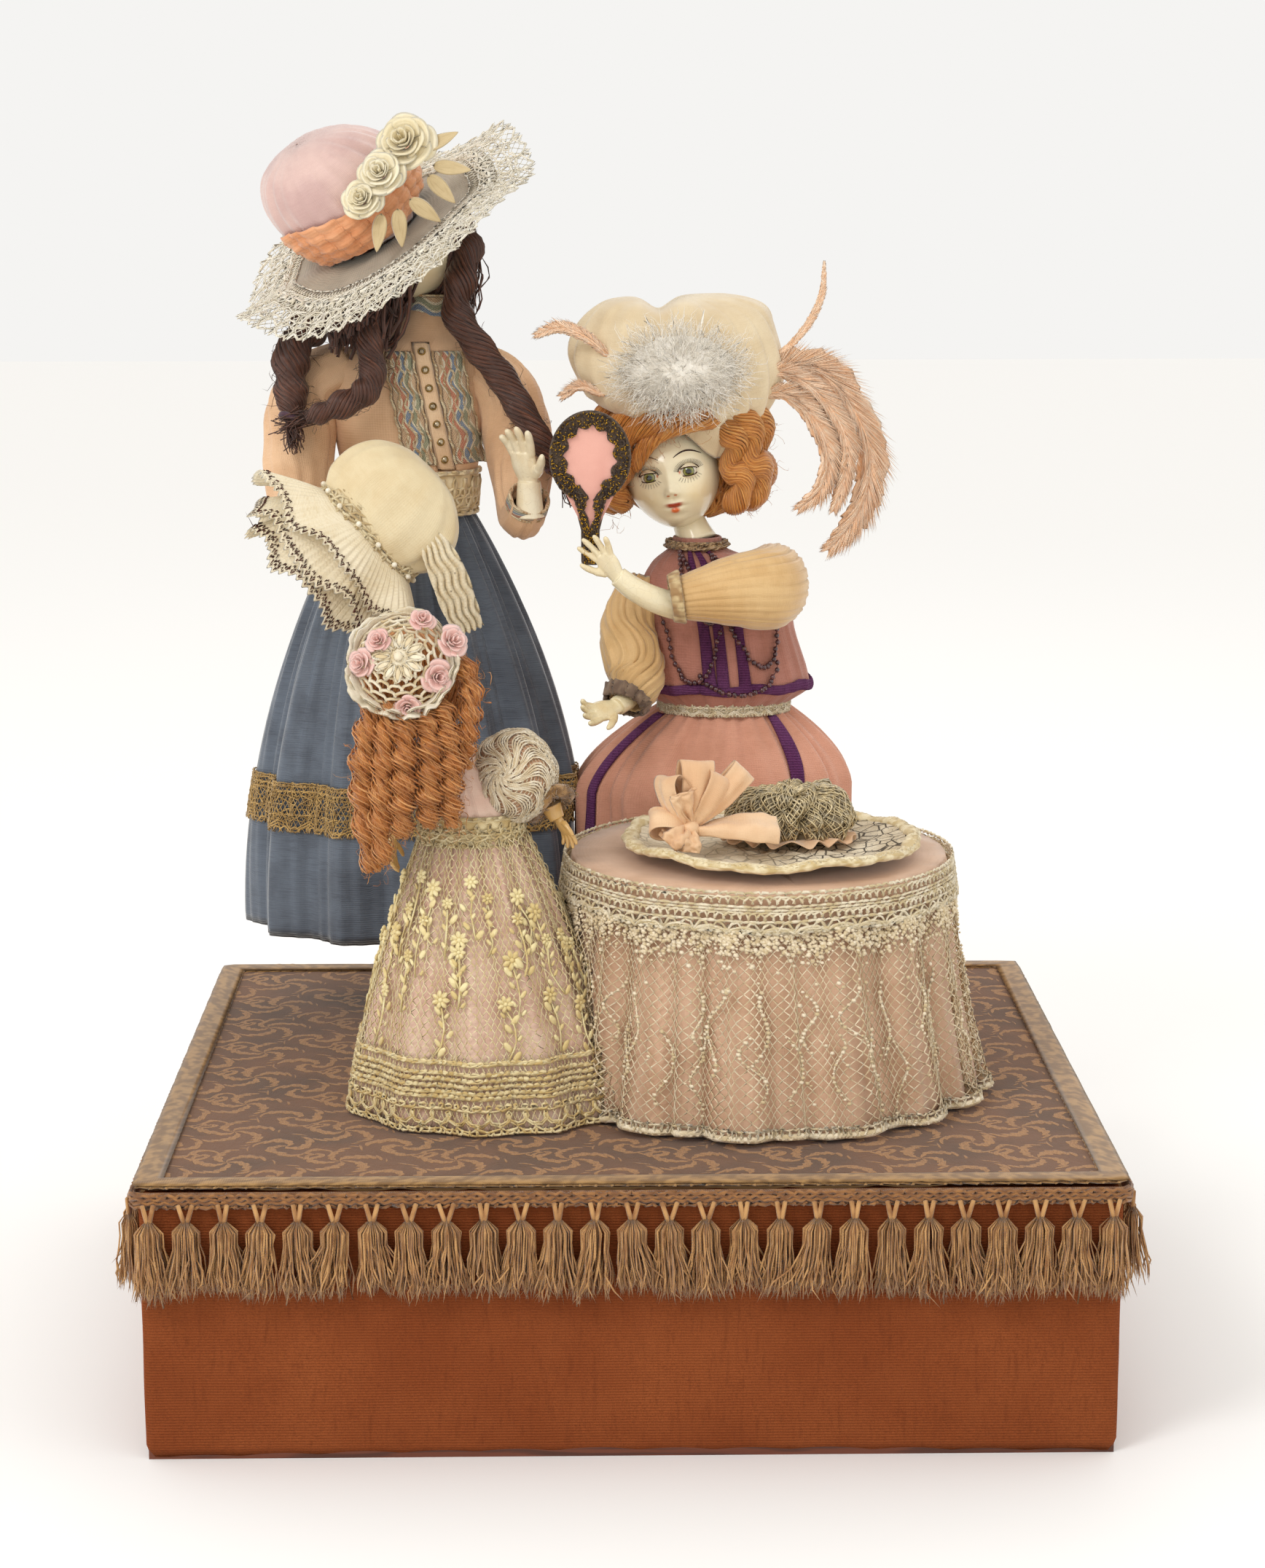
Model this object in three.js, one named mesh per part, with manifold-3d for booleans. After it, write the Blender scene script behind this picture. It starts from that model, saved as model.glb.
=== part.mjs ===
// Clockwork tableau: three dolls round a draped table on a cloth-covered box that holds the movement.
// Millimetres, +Z up, origin at the centre of the box's underside, the viewer looks along +Y.
import * as THREE from "three";
import { mergeVertices } from "three/addons/utils/BufferGeometryUtils.js";
import Module from "manifold-3d";

const wasm = await Module();
wasm.setup();

// Clearances that every piece shares
const seatGap = 0.3;
const runGap = 0.5;
const linkGap = 0.85;
const overrun = 5;
const weldTolerance = 1e-4;
const gridPerMillimetre = 100;

// Box
const box = { length: 384, depth: 340, board: 8, sidesHeight: 94.4 };
const cover = { velvet: 1.2, velvetLift: 0.8, cloth: 1.2 };
const braid = { width: 11, thick: 1.8, proud: 2 };
const fringe = { drop: 45, valleyDrop: 36, thick: 7.5, neck: 3, pitch: 14.2, start: 1 };

// Places of the dolls, the table and the works, as shares of half the depth of the box
const depthShares = {
  girl: 10 / 17,
  lady: 49 / 85,
  ladySpindle: 46 / 85,
  child: -11 / 34,
  table: -27 / 170,
  plateHat: -37 / 170,
  bow: -31 / 85,
  ornament: -1 / 5,
  frontPlate: 11 / 17,
  bracket: -31 / 85,
};
const halfDepth = box.depth / 2;

// Levels and outlines of the box that the rest is built from
const skin = cover.velvet + seatGap;
const boards = { halfX: box.length / 2 - skin, halfY: box.depth / 2 - skin };
const sidesBottom = box.board + seatGap;
const sidesTop = sidesBottom + box.sidesHeight;
const topBoardBottom = sidesTop + seatGap;
const topBoardTop = topBoardBottom + box.board;
const clothBottom = topBoardTop + seatGap;
const stage = clothBottom + cover.cloth;
const standing = stage + seatGap;

// Movement
const toothModule = 1.35;
const backlash = 0.22;
const gearThick = 3;
const teeth = { great: 40, cam: 20, pinion: 10, wheel: 30, flyPinion: 10 };
const wheelModule = 1.05;
const plates = { front: depthShares.frontPlate * halfDepth, thick: 3, space: 33, halfWidth: 67, height: 76, shift: 13, pillar: 3.5, inset: 7 };
const camLine = { x: -30, z: 44, shaft: 3, low: 8, high: 14, thick: 2.4 };
const arbor = { winding: 3, wheel: 1.8, fly: 1.5, square: 4.2, reach: 16 };
const barrel = { radius: 23, wall: 1.2, depth: 19, core: 5, springThick: 0.9, springTurns: 4.5, springSides: 12 };
const key = { collar: 6, stem: 13, wing: 17, wingHole: 6, wingThick: 3, bow: 10 };
const fly = { radius: 13, length: 15, thick: 1.2, tilt: -0.15, hub: 3 };
const ratchet = { radius: 10, depth: 2.2, teeth: 14, thick: 3 };
const wheelTilt = 0.44;

// Levers that follow the cams
const lever = { thick: 2.5, bar: 5, reach: 28, pivot: 66, hub: 5, shaft: 2, finger: 4, noseBar: 4 };
const swing = 3.2;
const crank = { radius: 12, halfWide: 2, high: 4, past: 3, level: 84, hub: 4.5 };
const spindle = 1.5;
const rod = { radius: 1.3, foot: 2, footThick: 2 };
const bracket = { y: depthShares.bracket * halfDepth, thick: 3, halfWidth: 38, top: 74, foot: 16 };
const startLever = { x: 78, z: 53, plate: 14, thick: 2.4, finger: 32, tooth: 8.5, knob: 5, knobOut: 10, travel: 8, slotHigh: 4 };

// Standing girl
const girl = { x: -94, y: depthShares.girl * halfDepth, spindleX: -84, legSpread: 22 };
const girlLeg = { ankle: 6, calf: 7.5, thigh: 9, inSkirt: 46, bootHigh: 20, toe: 22, heel: 8, sole: 6.5, hips: 9 };
const girlSkirt = { lift: 41, high: 194, hemHalfX: 81, hemHalfY: 57, waistHalfX: 27, waistHalfY: 20, fold: 5.5 };
const girlBody = { high: 88, chestHalfX: 36, chestHalfY: 23, collarHalf: 9.5, sleeve: 15, wristSleeve: 10.5 };
const girlHead = { halfX: 20, halfY: 21, halfZ: 24, above: 27, lean: -6, neck: 6.5, tilt: 0.1 };
const girlHair = { halfX: 26, halfY: 27, halfZ: 29, drop: 20 };
const girlHat = { brim: 70, brimThick: 3, crown: 33, crownHigh: 44, tilt: -0.54, nod: 0.33, left: 17, rise: 7 };
const plait = { radius: 8.5, thin: 5, twist: 0.12, turns: 50 };
const bonnet = { crown: 26, frill: 47, deep: 13, long: 52, tuck: 5, frillShare: 0.05 };
const girlForearm = { radius: 5, long: 38, ball: 7 };

// Seated lady
const lady = { x: 41, y: depthShares.lady * halfDepth, spindleX: 34, spindleY: depthShares.ladySpindle * halfDepth, rodX: 58 };
const ladySkirt = { lapHigh: 104, high: 143, hemHalfX: 66, hemHalfY: 41, waistHalfX: 27, waistHalfY: 19, fold: 3 };
const stool = { radius: 24, high: 84, foot: 30, seatThick: 8 };
const jacket = { high: 77, hemHalfX: 38, hemHalfY: 24, chestHalfX: 34, chestHalfY: 24, collarHalf: 10, ball: 7 };
const ladyHead = { halfX: 20, halfY: 21, halfZ: 25, above: 29, lean: -11, neck: 7, tilt: -0.2 };
const ladyHair = { halfX: 36, halfY: 29, halfZ: 28, shiftX: 6, rise: 6, window: 19 };
const ladyHat = { halfX: 45, halfY: 36, high: 56, rise: 24, shiftX: 1 };
const plume = { seatShare: 0.93, halfWide: 8, halfThick: 2, reach: 80, drop: 84, arch: 40 };
const ladySleeve = { radius: 15.5, high: 18.5, start: 8, cuff: 8, span: 48, clear: 2.4, pleat: 0.05 };
const mirror = { halfWide: 16.5, halfHigh: 19, taper: 32, long: 46, thick: 3, handle: 5 };
const ladyRightSleeve = { radius: 11.5, cuff: 7 };
const handSize = { palm: 13, halfWide: 5.5, halfThick: 2.4, finger: 11, fingerHalf: 1.35, wrist: 4 };

// Child
const child = { x: -57, y: depthShares.child * halfDepth, spindleX: -72, waistX: -64 };
const childDress = { high: 118, hemHalfX: 61, hemHalfY: 55, waistHalfX: 20, waistHalfY: 15, bodice: 34, fold: 3 };
const childLegs = { radius: 14, high: 70 };
const childHead = { halfX: 21, halfY: 21, halfZ: 22, above: 28, lean: -16, neck: 6, tilt: -0.1 };
const childHair = { halfX: 24, halfY: 9, drop: 57.5, startShare: 0.55, curls: 5 };
const childCap = { radius: 24, ruffle: 2.5, rise: 3.5 };
const puff = { radius: 18.5, high: 20, small: 13, ball: 5 };
const childHand = { radius: 3.4, scale: 0.62 };

// Table, its cloth and the flat hat on it
const table = { x: 56, y: depthShares.table * halfDepth, radius: 77.5, board: 8, high: 99, post: 12, foot: 42, footThick: 8 };
const tableCloth = { thick: 1.6, hem: 96, fold: 5, top: 80 };
const plateHat = { x: 61, y: depthShares.plateHat * halfDepth, radius: 62, flat: 34, rimRise: 8, thick: 2.6 };
const bow = { x: 27, y: depthShares.bow * halfDepth, long: 24, halfWide: 9, halfThick: 2.2, high: 24 };
const ornament = { x: 78, y: depthShares.ornament * halfDepth, halfX: 24, halfY: 17, high: 24 };

// Number of facets on round pieces
const sides = { fine: 24, round: 14, limb: 8, small: 6, cam: 18, hand: 5, dress: 42, cloth: 51, hat: 24 };

const V = (x, y, z) => new THREE.Vector3(x, y, z);
const mix = THREE.MathUtils.lerp;
const group = new THREE.Group();

// Turn a closed geometry into a solid with its faces outwards
function solid(geometry) {
  const bare = geometry.clone();
  bare.deleteAttribute("normal");
  bare.deleteAttribute("uv");
  const welded = mergeVertices(bare, weldTolerance);
  const vertProperties = new Float32Array(welded.attributes.position.array);
  const triVerts = new Uint32Array(welded.index.array);
  const made = new wasm.Manifold(new wasm.Mesh({ numProp: 3, vertProperties, triVerts }));
  if (made.volume() > 0) return made;
  return new wasm.Manifold(new wasm.Mesh({ numProp: 3, vertProperties, triVerts: triVerts.reverse() }));
}

const join = (...solids) => solids.reduce((whole, piece) => whole.add(piece));
const cut = (whole, ...tools) => tools.reduce((left, tool) => left.subtract(tool), whole);

// Triangles of a solid, with vertices that nearly meet drawn together on a fine grid
function snapped(made) {
  const { vertProperties, triVerts } = made.getMesh();
  const known = new Map();
  const points = [];
  const moved = Array.from({ length: vertProperties.length / 3 }, (_, i) => {
    const at = [0, 1, 2].map((k) => Math.round(vertProperties[3 * i + k] * gridPerMillimetre) / gridPerMillimetre);
    const place = at.join();
    if (!known.has(place)) {
      known.set(place, points.length / 3);
      points.push(...at);
    }
    return known.get(place);
  });
  const faces = new Map();
  for (let i = 0; i < triVerts.length; i += 3) {
    const face = [0, 1, 2].map((k) => moved[triVerts[i + k]]);
    if (new Set(face).size < 3) continue;
    const corners = [...face].sort((a, b) => a - b).join();
    if (faces.has(corners)) faces.delete(corners);
    else faces.set(corners, face);
  }
  return { points, index: [...faces.values()].flat() };
}

// Add one named piece to the group
function add(name, made, color, roughness, metalness = 0) {
  const { points, index } = snapped(made);
  const geometry = new THREE.BufferGeometry();
  geometry.setAttribute("position", new THREE.Float32BufferAttribute(points, 3));
  geometry.setIndex(index);
  geometry.computeVertexNormals();
  const mesh = new THREE.Mesh(geometry, new THREE.MeshStandardMaterial({ color, roughness, metalness }));
  mesh.name = name;
  group.add(mesh);
}

// Box between two corners
function block(low, high) {
  const size = high.clone().sub(low);
  const centre = high.clone().add(low).multiplyScalar(0.5);
  return solid(new THREE.BoxGeometry(size.x, size.y, size.z).translate(centre.x, centre.y, centre.z));
}

// Round bar between two points, tapered if a second radius is given
function bar(from, to, radius, count = sides.limb, endRadius = radius) {
  const along = to.clone().sub(from);
  const geometry = new THREE.CylinderGeometry(endRadius, radius, along.length(), count);
  geometry.translate(0, along.length() / 2, 0);
  geometry.applyQuaternion(new THREE.Quaternion().setFromUnitVectors(V(0, 1, 0), along.normalize()));
  return solid(geometry.translate(from.x, from.y, from.z));
}

// Arm between two points, or with a gap the hole that clears it all round
function limb(from, to, radius, endRadius, gap = 0) {
  const along = to.clone().sub(from).normalize();
  const start = from.clone().addScaledVector(along, -gap);
  const scale = gap ? 1 / Math.cos(Math.PI / sides.limb) : 1;
  const end = to.clone().addScaledVector(along, gap);
  return bar(start, end, (radius + gap) * scale, sides.limb, (endRadius + gap) * scale);
}

// Hole tool: its flats stand clear of a round bar of the given radius
const bore = (from, to, radius, gap = runGap, count = sides.limb) =>
  bar(from, to, (radius + gap) / Math.cos(Math.PI / count), count);

const upBore = (x, y, low, high, radius, gap = runGap) => bore(V(x, y, low), V(x, y, high), radius, gap, sides.small);

// Flat piece drawn in X and Z, with its thickness along Y
function flat(shape, y, thick, curveSegments = sides.small) {
  const geometry = new THREE.ExtrudeGeometry(shape, { depth: thick, bevelEnabled: false, curveSegments });
  return solid(geometry.rotateX(Math.PI / 2).translate(0, y + thick, 0));
}

// Closed skin over a row of rings that all have the same number of points
function loft(rings) {
  const count = rings[0].length;
  const points = rings.flat();
  const index = [];
  for (let r = 0; r + 1 < rings.length; r++)
    for (let i = 0; i < count; i++) {
      const a = r * count + i;
      const b = r * count + ((i + 1) % count);
      index.push(a, b, b + count, a, b + count, a + count);
    }
  const middle = (ring) => ring.reduce((sum, p) => sum.add(p), V(0, 0, 0)).divideScalar(count);
  const last = (rings.length - 1) * count;
  points.push(middle(rings[0]), middle(rings[rings.length - 1]));
  for (let i = 0; i < count; i++) {
    const next = (i + 1) % count;
    index.push(points.length - 2, next, i, points.length - 1, last + i, last + next);
  }
  const geometry = new THREE.BufferGeometry();
  geometry.setAttribute("position", new THREE.Float32BufferAttribute(points.flatMap((p) => p.toArray()), 3));
  geometry.setIndex(index);
  return solid(geometry);
}

// Level oval of points; wave scales its radius at each angle
const oval = (x, y, z, halfX, halfY, count, wave = () => 1) =>
  Array.from({ length: count }, (_, i) => {
    const angle = (2 * Math.PI * i) / count;
    const k = wave(angle);
    return V(x + k * halfX * Math.cos(angle), y + k * halfY * Math.sin(angle), z);
  });

// Rings square to a smooth path; half sizes are read along the path from a list
function sweep({ path, wide, thick = wide, steps = 8, count = sides.limb, up = V(0, 0, 1), wave = () => 1 }) {
  const curve = new THREE.CatmullRomCurve3(path, false, "centripetal");
  const read = (list, t) => {
    const at = t * (list.length - 1);
    const i = Math.min(Math.floor(at), list.length - 2);
    return mix(list[i], list[i + 1], at - i);
  };
  const rings = Array.from({ length: steps + 1 }, (_, s) => {
    const t = s / steps;
    const centre = curve.getPoint(t);
    const along = curve.getTangent(t);
    const across = up.clone().cross(along).normalize();
    const over = along.clone().cross(across).normalize();
    return Array.from({ length: count }, (_, i) => {
      const angle = (2 * Math.PI * i) / count;
      const k = wave(angle, t);
      return centre
        .clone()
        .addScaledVector(across, k * read(wide, t) * Math.cos(angle))
        .addScaledVector(over, k * read(thick, t) * Math.sin(angle));
    });
  });
  return loft(rings);
}

// Egg-shaped solid, turned about Y by tilt and about X by nod
function egg(centre, halfX, halfY, halfZ, shares, tilt = 0, count = 12, nod = 0) {
  const rings = shares.map(([level, wide, deep, forward]) =>
    oval(0, forward * halfY, level * halfZ, wide * halfX, deep * halfY, count),
  );
  const turn = new THREE.Euler(nod, tilt, 0);
  rings.flat().forEach((p) => p.applyEuler(turn).add(centre));
  return loft(rings);
}

const faceShares = [
  [-1, 0.3, 0.3, -0.42],
  [-0.78, 0.62, 0.62, -0.22],
  [-0.35, 0.92, 0.9, -0.07],
  [0.15, 1, 1, 0],
  [0.65, 0.8, 0.82, 0.05],
  [1, 0.24, 0.26, 0.05],
];
const roundShares = [
  [-1, 0.24, 0.24, 0],
  [-0.7, 0.74, 0.74, 0],
  [0, 1, 1, 0],
  [0.7, 0.74, 0.74, 0],
  [1, 0.24, 0.24, 0],
];

// Push cloth points out of a neighbour's oval, so that it gives way there
function pressOut(points, neighbour) {
  points.forEach((p) => {
    const { x, y, halfX, halfY } = neighbour(p.z);
    const dx = p.x - x;
    const dy = p.y - y;
    const reach = Math.hypot(dx / halfX, dy / halfY);
    if (reach < 1) p.set(x + dx / reach, y + dy / reach, p.z);
  });
}

// The box: a floor, glued sides and a top board
const windingX = camLine.x + (toothModule * (teeth.great + teeth.cam)) / 2;
const windingZ = camLine.z;
const backPlateY = plates.front + plates.thick + plates.space;
const girlY = girl.y;
const girlRodX = girl.spindleX - girl.legSpread;
const floorHoles = [
  [girl.spindleX, girlY, spindle],
  [girlRodX, girlY, rod.radius],
  [lady.spindleX, lady.spindleY, spindle],
  [lady.rodX, lady.spindleY, rod.radius],
  [child.spindleX, child.y, spindle],
];
const stageHoles = () => floorHoles.map(([x, y, r]) => upBore(x, y, sidesTop - overrun, standing + overrun, r));

const keyHole = bore(
  V(windingX, boards.halfY - box.board - overrun, windingZ),
  V(windingX, box.depth / 2 + overrun, windingZ),
  arbor.square,
  linkGap,
);
const slotHalf = startLever.thick + linkGap;
const leverSlot = block(
  V(startLever.x - slotHalf - startLever.travel, boards.halfY - box.board - overrun, startLever.z - startLever.slotHigh),
  V(startLever.x + slotHalf, box.depth / 2 + overrun, startLever.z + startLever.slotHigh),
);

function boxPieces() {
  const wood = [0xb98f5f, 0.75];
  const inner = { halfX: boards.halfX - box.board, halfY: boards.halfY - box.board };
  const slab = (halfX, halfY, low, high) => block(V(-halfX, -halfY, low), V(halfX, halfY, high));
  add("bottom_board", slab(boards.halfX, boards.halfY, 0, box.board), ...wood);
  const sideWalls = slab(boards.halfX, boards.halfY, sidesBottom, sidesTop);
  const hollow = slab(inner.halfX, inner.halfY, sidesBottom - overrun, sidesTop + overrun);
  add("box_sides", cut(sideWalls, hollow, keyHole, leverSlot), ...wood);
  const topBoard = slab(boards.halfX, boards.halfY, topBoardBottom, topBoardTop);
  add("top_board", cut(topBoard, ...stageHoles()), ...wood);
  const velvet = cut(
    slab(box.length / 2, box.depth / 2, cover.velvetLift, topBoardTop),
    slab(boards.halfX + seatGap, boards.halfY + seatGap, cover.velvetLift - overrun, topBoardTop + overrun),
    keyHole,
    leverSlot,
  );
  add("velvet_cover", velvet, 0x9c4a2c, 0.95);
  const cloth = slab(boards.halfX, boards.halfY, clothBottom, stage);
  add("tapestry_cover", cut(cloth, ...stageHoles()), 0x8a6a4e, 0.9);
  const outer = { halfX: box.length / 2 + braid.proud, halfY: box.depth / 2 + braid.proud };
  const edging = cut(
    slab(outer.halfX, outer.halfY, standing, standing + braid.thick),
    slab(outer.halfX - braid.width, outer.halfY - braid.width, standing - overrun, standing + overrun),
  );
  add("gimp_braid", edging, 0xb08a5f, 0.9);
}

// Tassel fringe round the front and both sides: a band whose depth and length swell at each tassel
function tasselFringe() {
  const x = box.length / 2 + seatGap;
  const front = -box.depth / 2 - seatGap;
  const back = box.depth / 2;
  const run = (from, to, outward) => {
    const tassels = Math.round(from.distanceTo(to) / fringe.pitch);
    return Array.from({ length: tassels * 2 - 1 }, (_, i) => ({
      at: from.clone().lerp(to, (i + 1) / (tassels * 2)),
      outward,
      full: i % 2 === 0,
    }));
  };
  const corner = (at, outward) => ({ at, outward, full: false });
  const stations = [
    corner(V(-x, back, 0), V(-1, 0, 0)),
    ...run(V(-x, back, 0), V(-x, front, 0), V(-1, 0, 0)),
    corner(V(-x, front, 0), V(-1, -1, 0)),
    ...run(V(-x, front, 0), V(x, front, 0), V(0, -1, 0)),
    corner(V(x, front, 0), V(1, -1, 0)),
    ...run(V(x, front, 0), V(x, back, 0), V(1, 0, 0)),
    corner(V(x, back, 0), V(1, 0, 0)),
  ];
  const top = topBoardTop - fringe.start;
  const rings = stations.map(({ at, outward, full }) => {
    const bottom = top - (full ? fringe.drop : fringe.valleyDrop);
    const thick = full ? fringe.thick : fringe.neck;
    const point = (out, z) => at.clone().addScaledVector(outward, out).setZ(z);
    return [
      point(0, top),
      point(0, bottom),
      point(thick, bottom),
      point(fringe.neck, top),
    ];
  });
  add("tassel_fringe", loft(rings), 0x9a7a55, 0.9);
}

// Gear outline with involute flanks taken at the root and the tip
function gearShape(count, module, phase) {
  const pitch = (module * count) / 2;
  const base = pitch * Math.cos(Math.PI / 9);
  const involute = (r) => {
    const a = Math.acos(Math.min(1, base / r));
    return Math.tan(a) - a;
  };
  const half = (r) => Math.PI / (2 * count) - backlash / (2 * pitch) + involute(pitch) - involute(r);
  const root = pitch - 1.25 * module;
  const tip = pitch + 0.9 * module;
  const points = [];
  for (let k = 0; k < count; k++) {
    const centre = phase + (2 * Math.PI * k) / count;
    const place = (r, angle) => points.push(new THREE.Vector2(r * Math.cos(angle), r * Math.sin(angle)));
    place(root, centre - half(root));
    place(tip, centre - half(tip));
    place(tip, centre + half(tip));
    place(root, centre + half(root));
  }
  return new THREE.Shape(points);
}

const gear = (x, z, y, thick, count, module, phase) =>
  flat(gearShape(count, module, phase), y, thick).translate([x, 0, z]);

// Phase of a follower's teeth that puts them in mesh along the line at this bearing
function meshPhase(leaderPhase, leaderTeeth, followerTeeth, bearing) {
  const turns = ((bearing - leaderPhase) * leaderTeeth) / (2 * Math.PI);
  const part = turns - Math.floor(turns);
  return bearing + Math.PI + ((part + 0.5) * 2 * Math.PI) / followerTeeth;
}

const stub = overrun / 2;
const wheelReach = (toothModule * (teeth.great + teeth.pinion)) / 2;
const wheelX = windingX + wheelReach * Math.cos(wheelTilt);
const wheelZ = windingZ + wheelReach * Math.sin(wheelTilt);
const flyReach = (wheelModule * (teeth.wheel + teeth.flyPinion)) / 2;
const flyX = wheelX + flyReach * Math.cos(fly.tilt);
const flyZ = wheelZ + flyReach * Math.sin(fly.tilt);
const plateBack = plates.front + plates.thick;
const wheelY = plateBack + seatGap + runGap;
const greatY = wheelY + gearThick + 2 * runGap;
const alongY = (x, z, from, to, radius, count = sides.limb) => bar(V(x, from, z), V(x, to, z), radius, count);

// Two brass plates; four pillars are riveted to the front one
function movementPlates() {
  const brass = [0xc9a24f, 0.35, 0.9];
  const low = V(plates.shift - plates.halfWidth, 0, box.board + seatGap);
  const high = V(plates.shift + plates.halfWidth, 0, box.board + seatGap + plates.height);
  const holes = () => [
    bore(V(camLine.x, plates.front - overrun, camLine.z), V(camLine.x, backPlateY + overrun * 2, camLine.z), camLine.shaft),
    bore(V(windingX, plates.front - overrun, windingZ), V(windingX, backPlateY + overrun * 2, windingZ), arbor.winding),
    bore(V(wheelX, plates.front - overrun, wheelZ), V(wheelX, backPlateY + overrun * 2, wheelZ), arbor.wheel),
    bore(V(flyX, plates.front - overrun, flyZ), V(flyX, backPlateY + overrun * 2, flyZ), arbor.fly),
  ];
  const plate = (y) => block(low.clone().setY(y), high.clone().setY(y + plates.thick));
  const foot = (from, to) => block(V(low.x, from, low.z), V(high.x, to, low.z + plates.thick));
  const pillars = [low.x + plates.inset, high.x - plates.inset].flatMap((x) =>
    [low.z + plates.inset, high.z - plates.inset].map((z) =>
      alongY(x, z, plates.front + stub / 2, backPlateY - seatGap, plates.pillar),
    ),
  );
  const frontFoot = foot(plates.front - plates.inset, plates.front + stub / 2);
  add("front_plate", cut(join(plate(plates.front), frontFoot, ...pillars), ...holes()), ...brass);
  const backY = backPlateY + plates.thick;
  const backFoot = foot(backPlateY + stub / 2, backY + plates.inset);
  const clickAt = V(windingX + ratchet.radius + ratchet.teeth / 2, 0, windingZ + ratchet.radius);
  const click = bar(clickAt.clone().setY(backPlateY + stub / 2), clickAt.clone().setY(backY + ratchet.thick), rod.foot);
  const tip = ratchet.radius + linkGap + rod.radius;
  const pawl = bar(
    clickAt.clone().setY(backY + ratchet.thick / 2 + seatGap),
    V(windingX + tip * Math.cos(wheelTilt), backY + ratchet.thick / 2 + seatGap, windingZ + tip * Math.sin(wheelTilt)),
    rod.radius,
  );
  add("back_plate", cut(join(plate(backPlateY), backFoot, click, pawl), ...holes()), ...brass);
}

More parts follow.
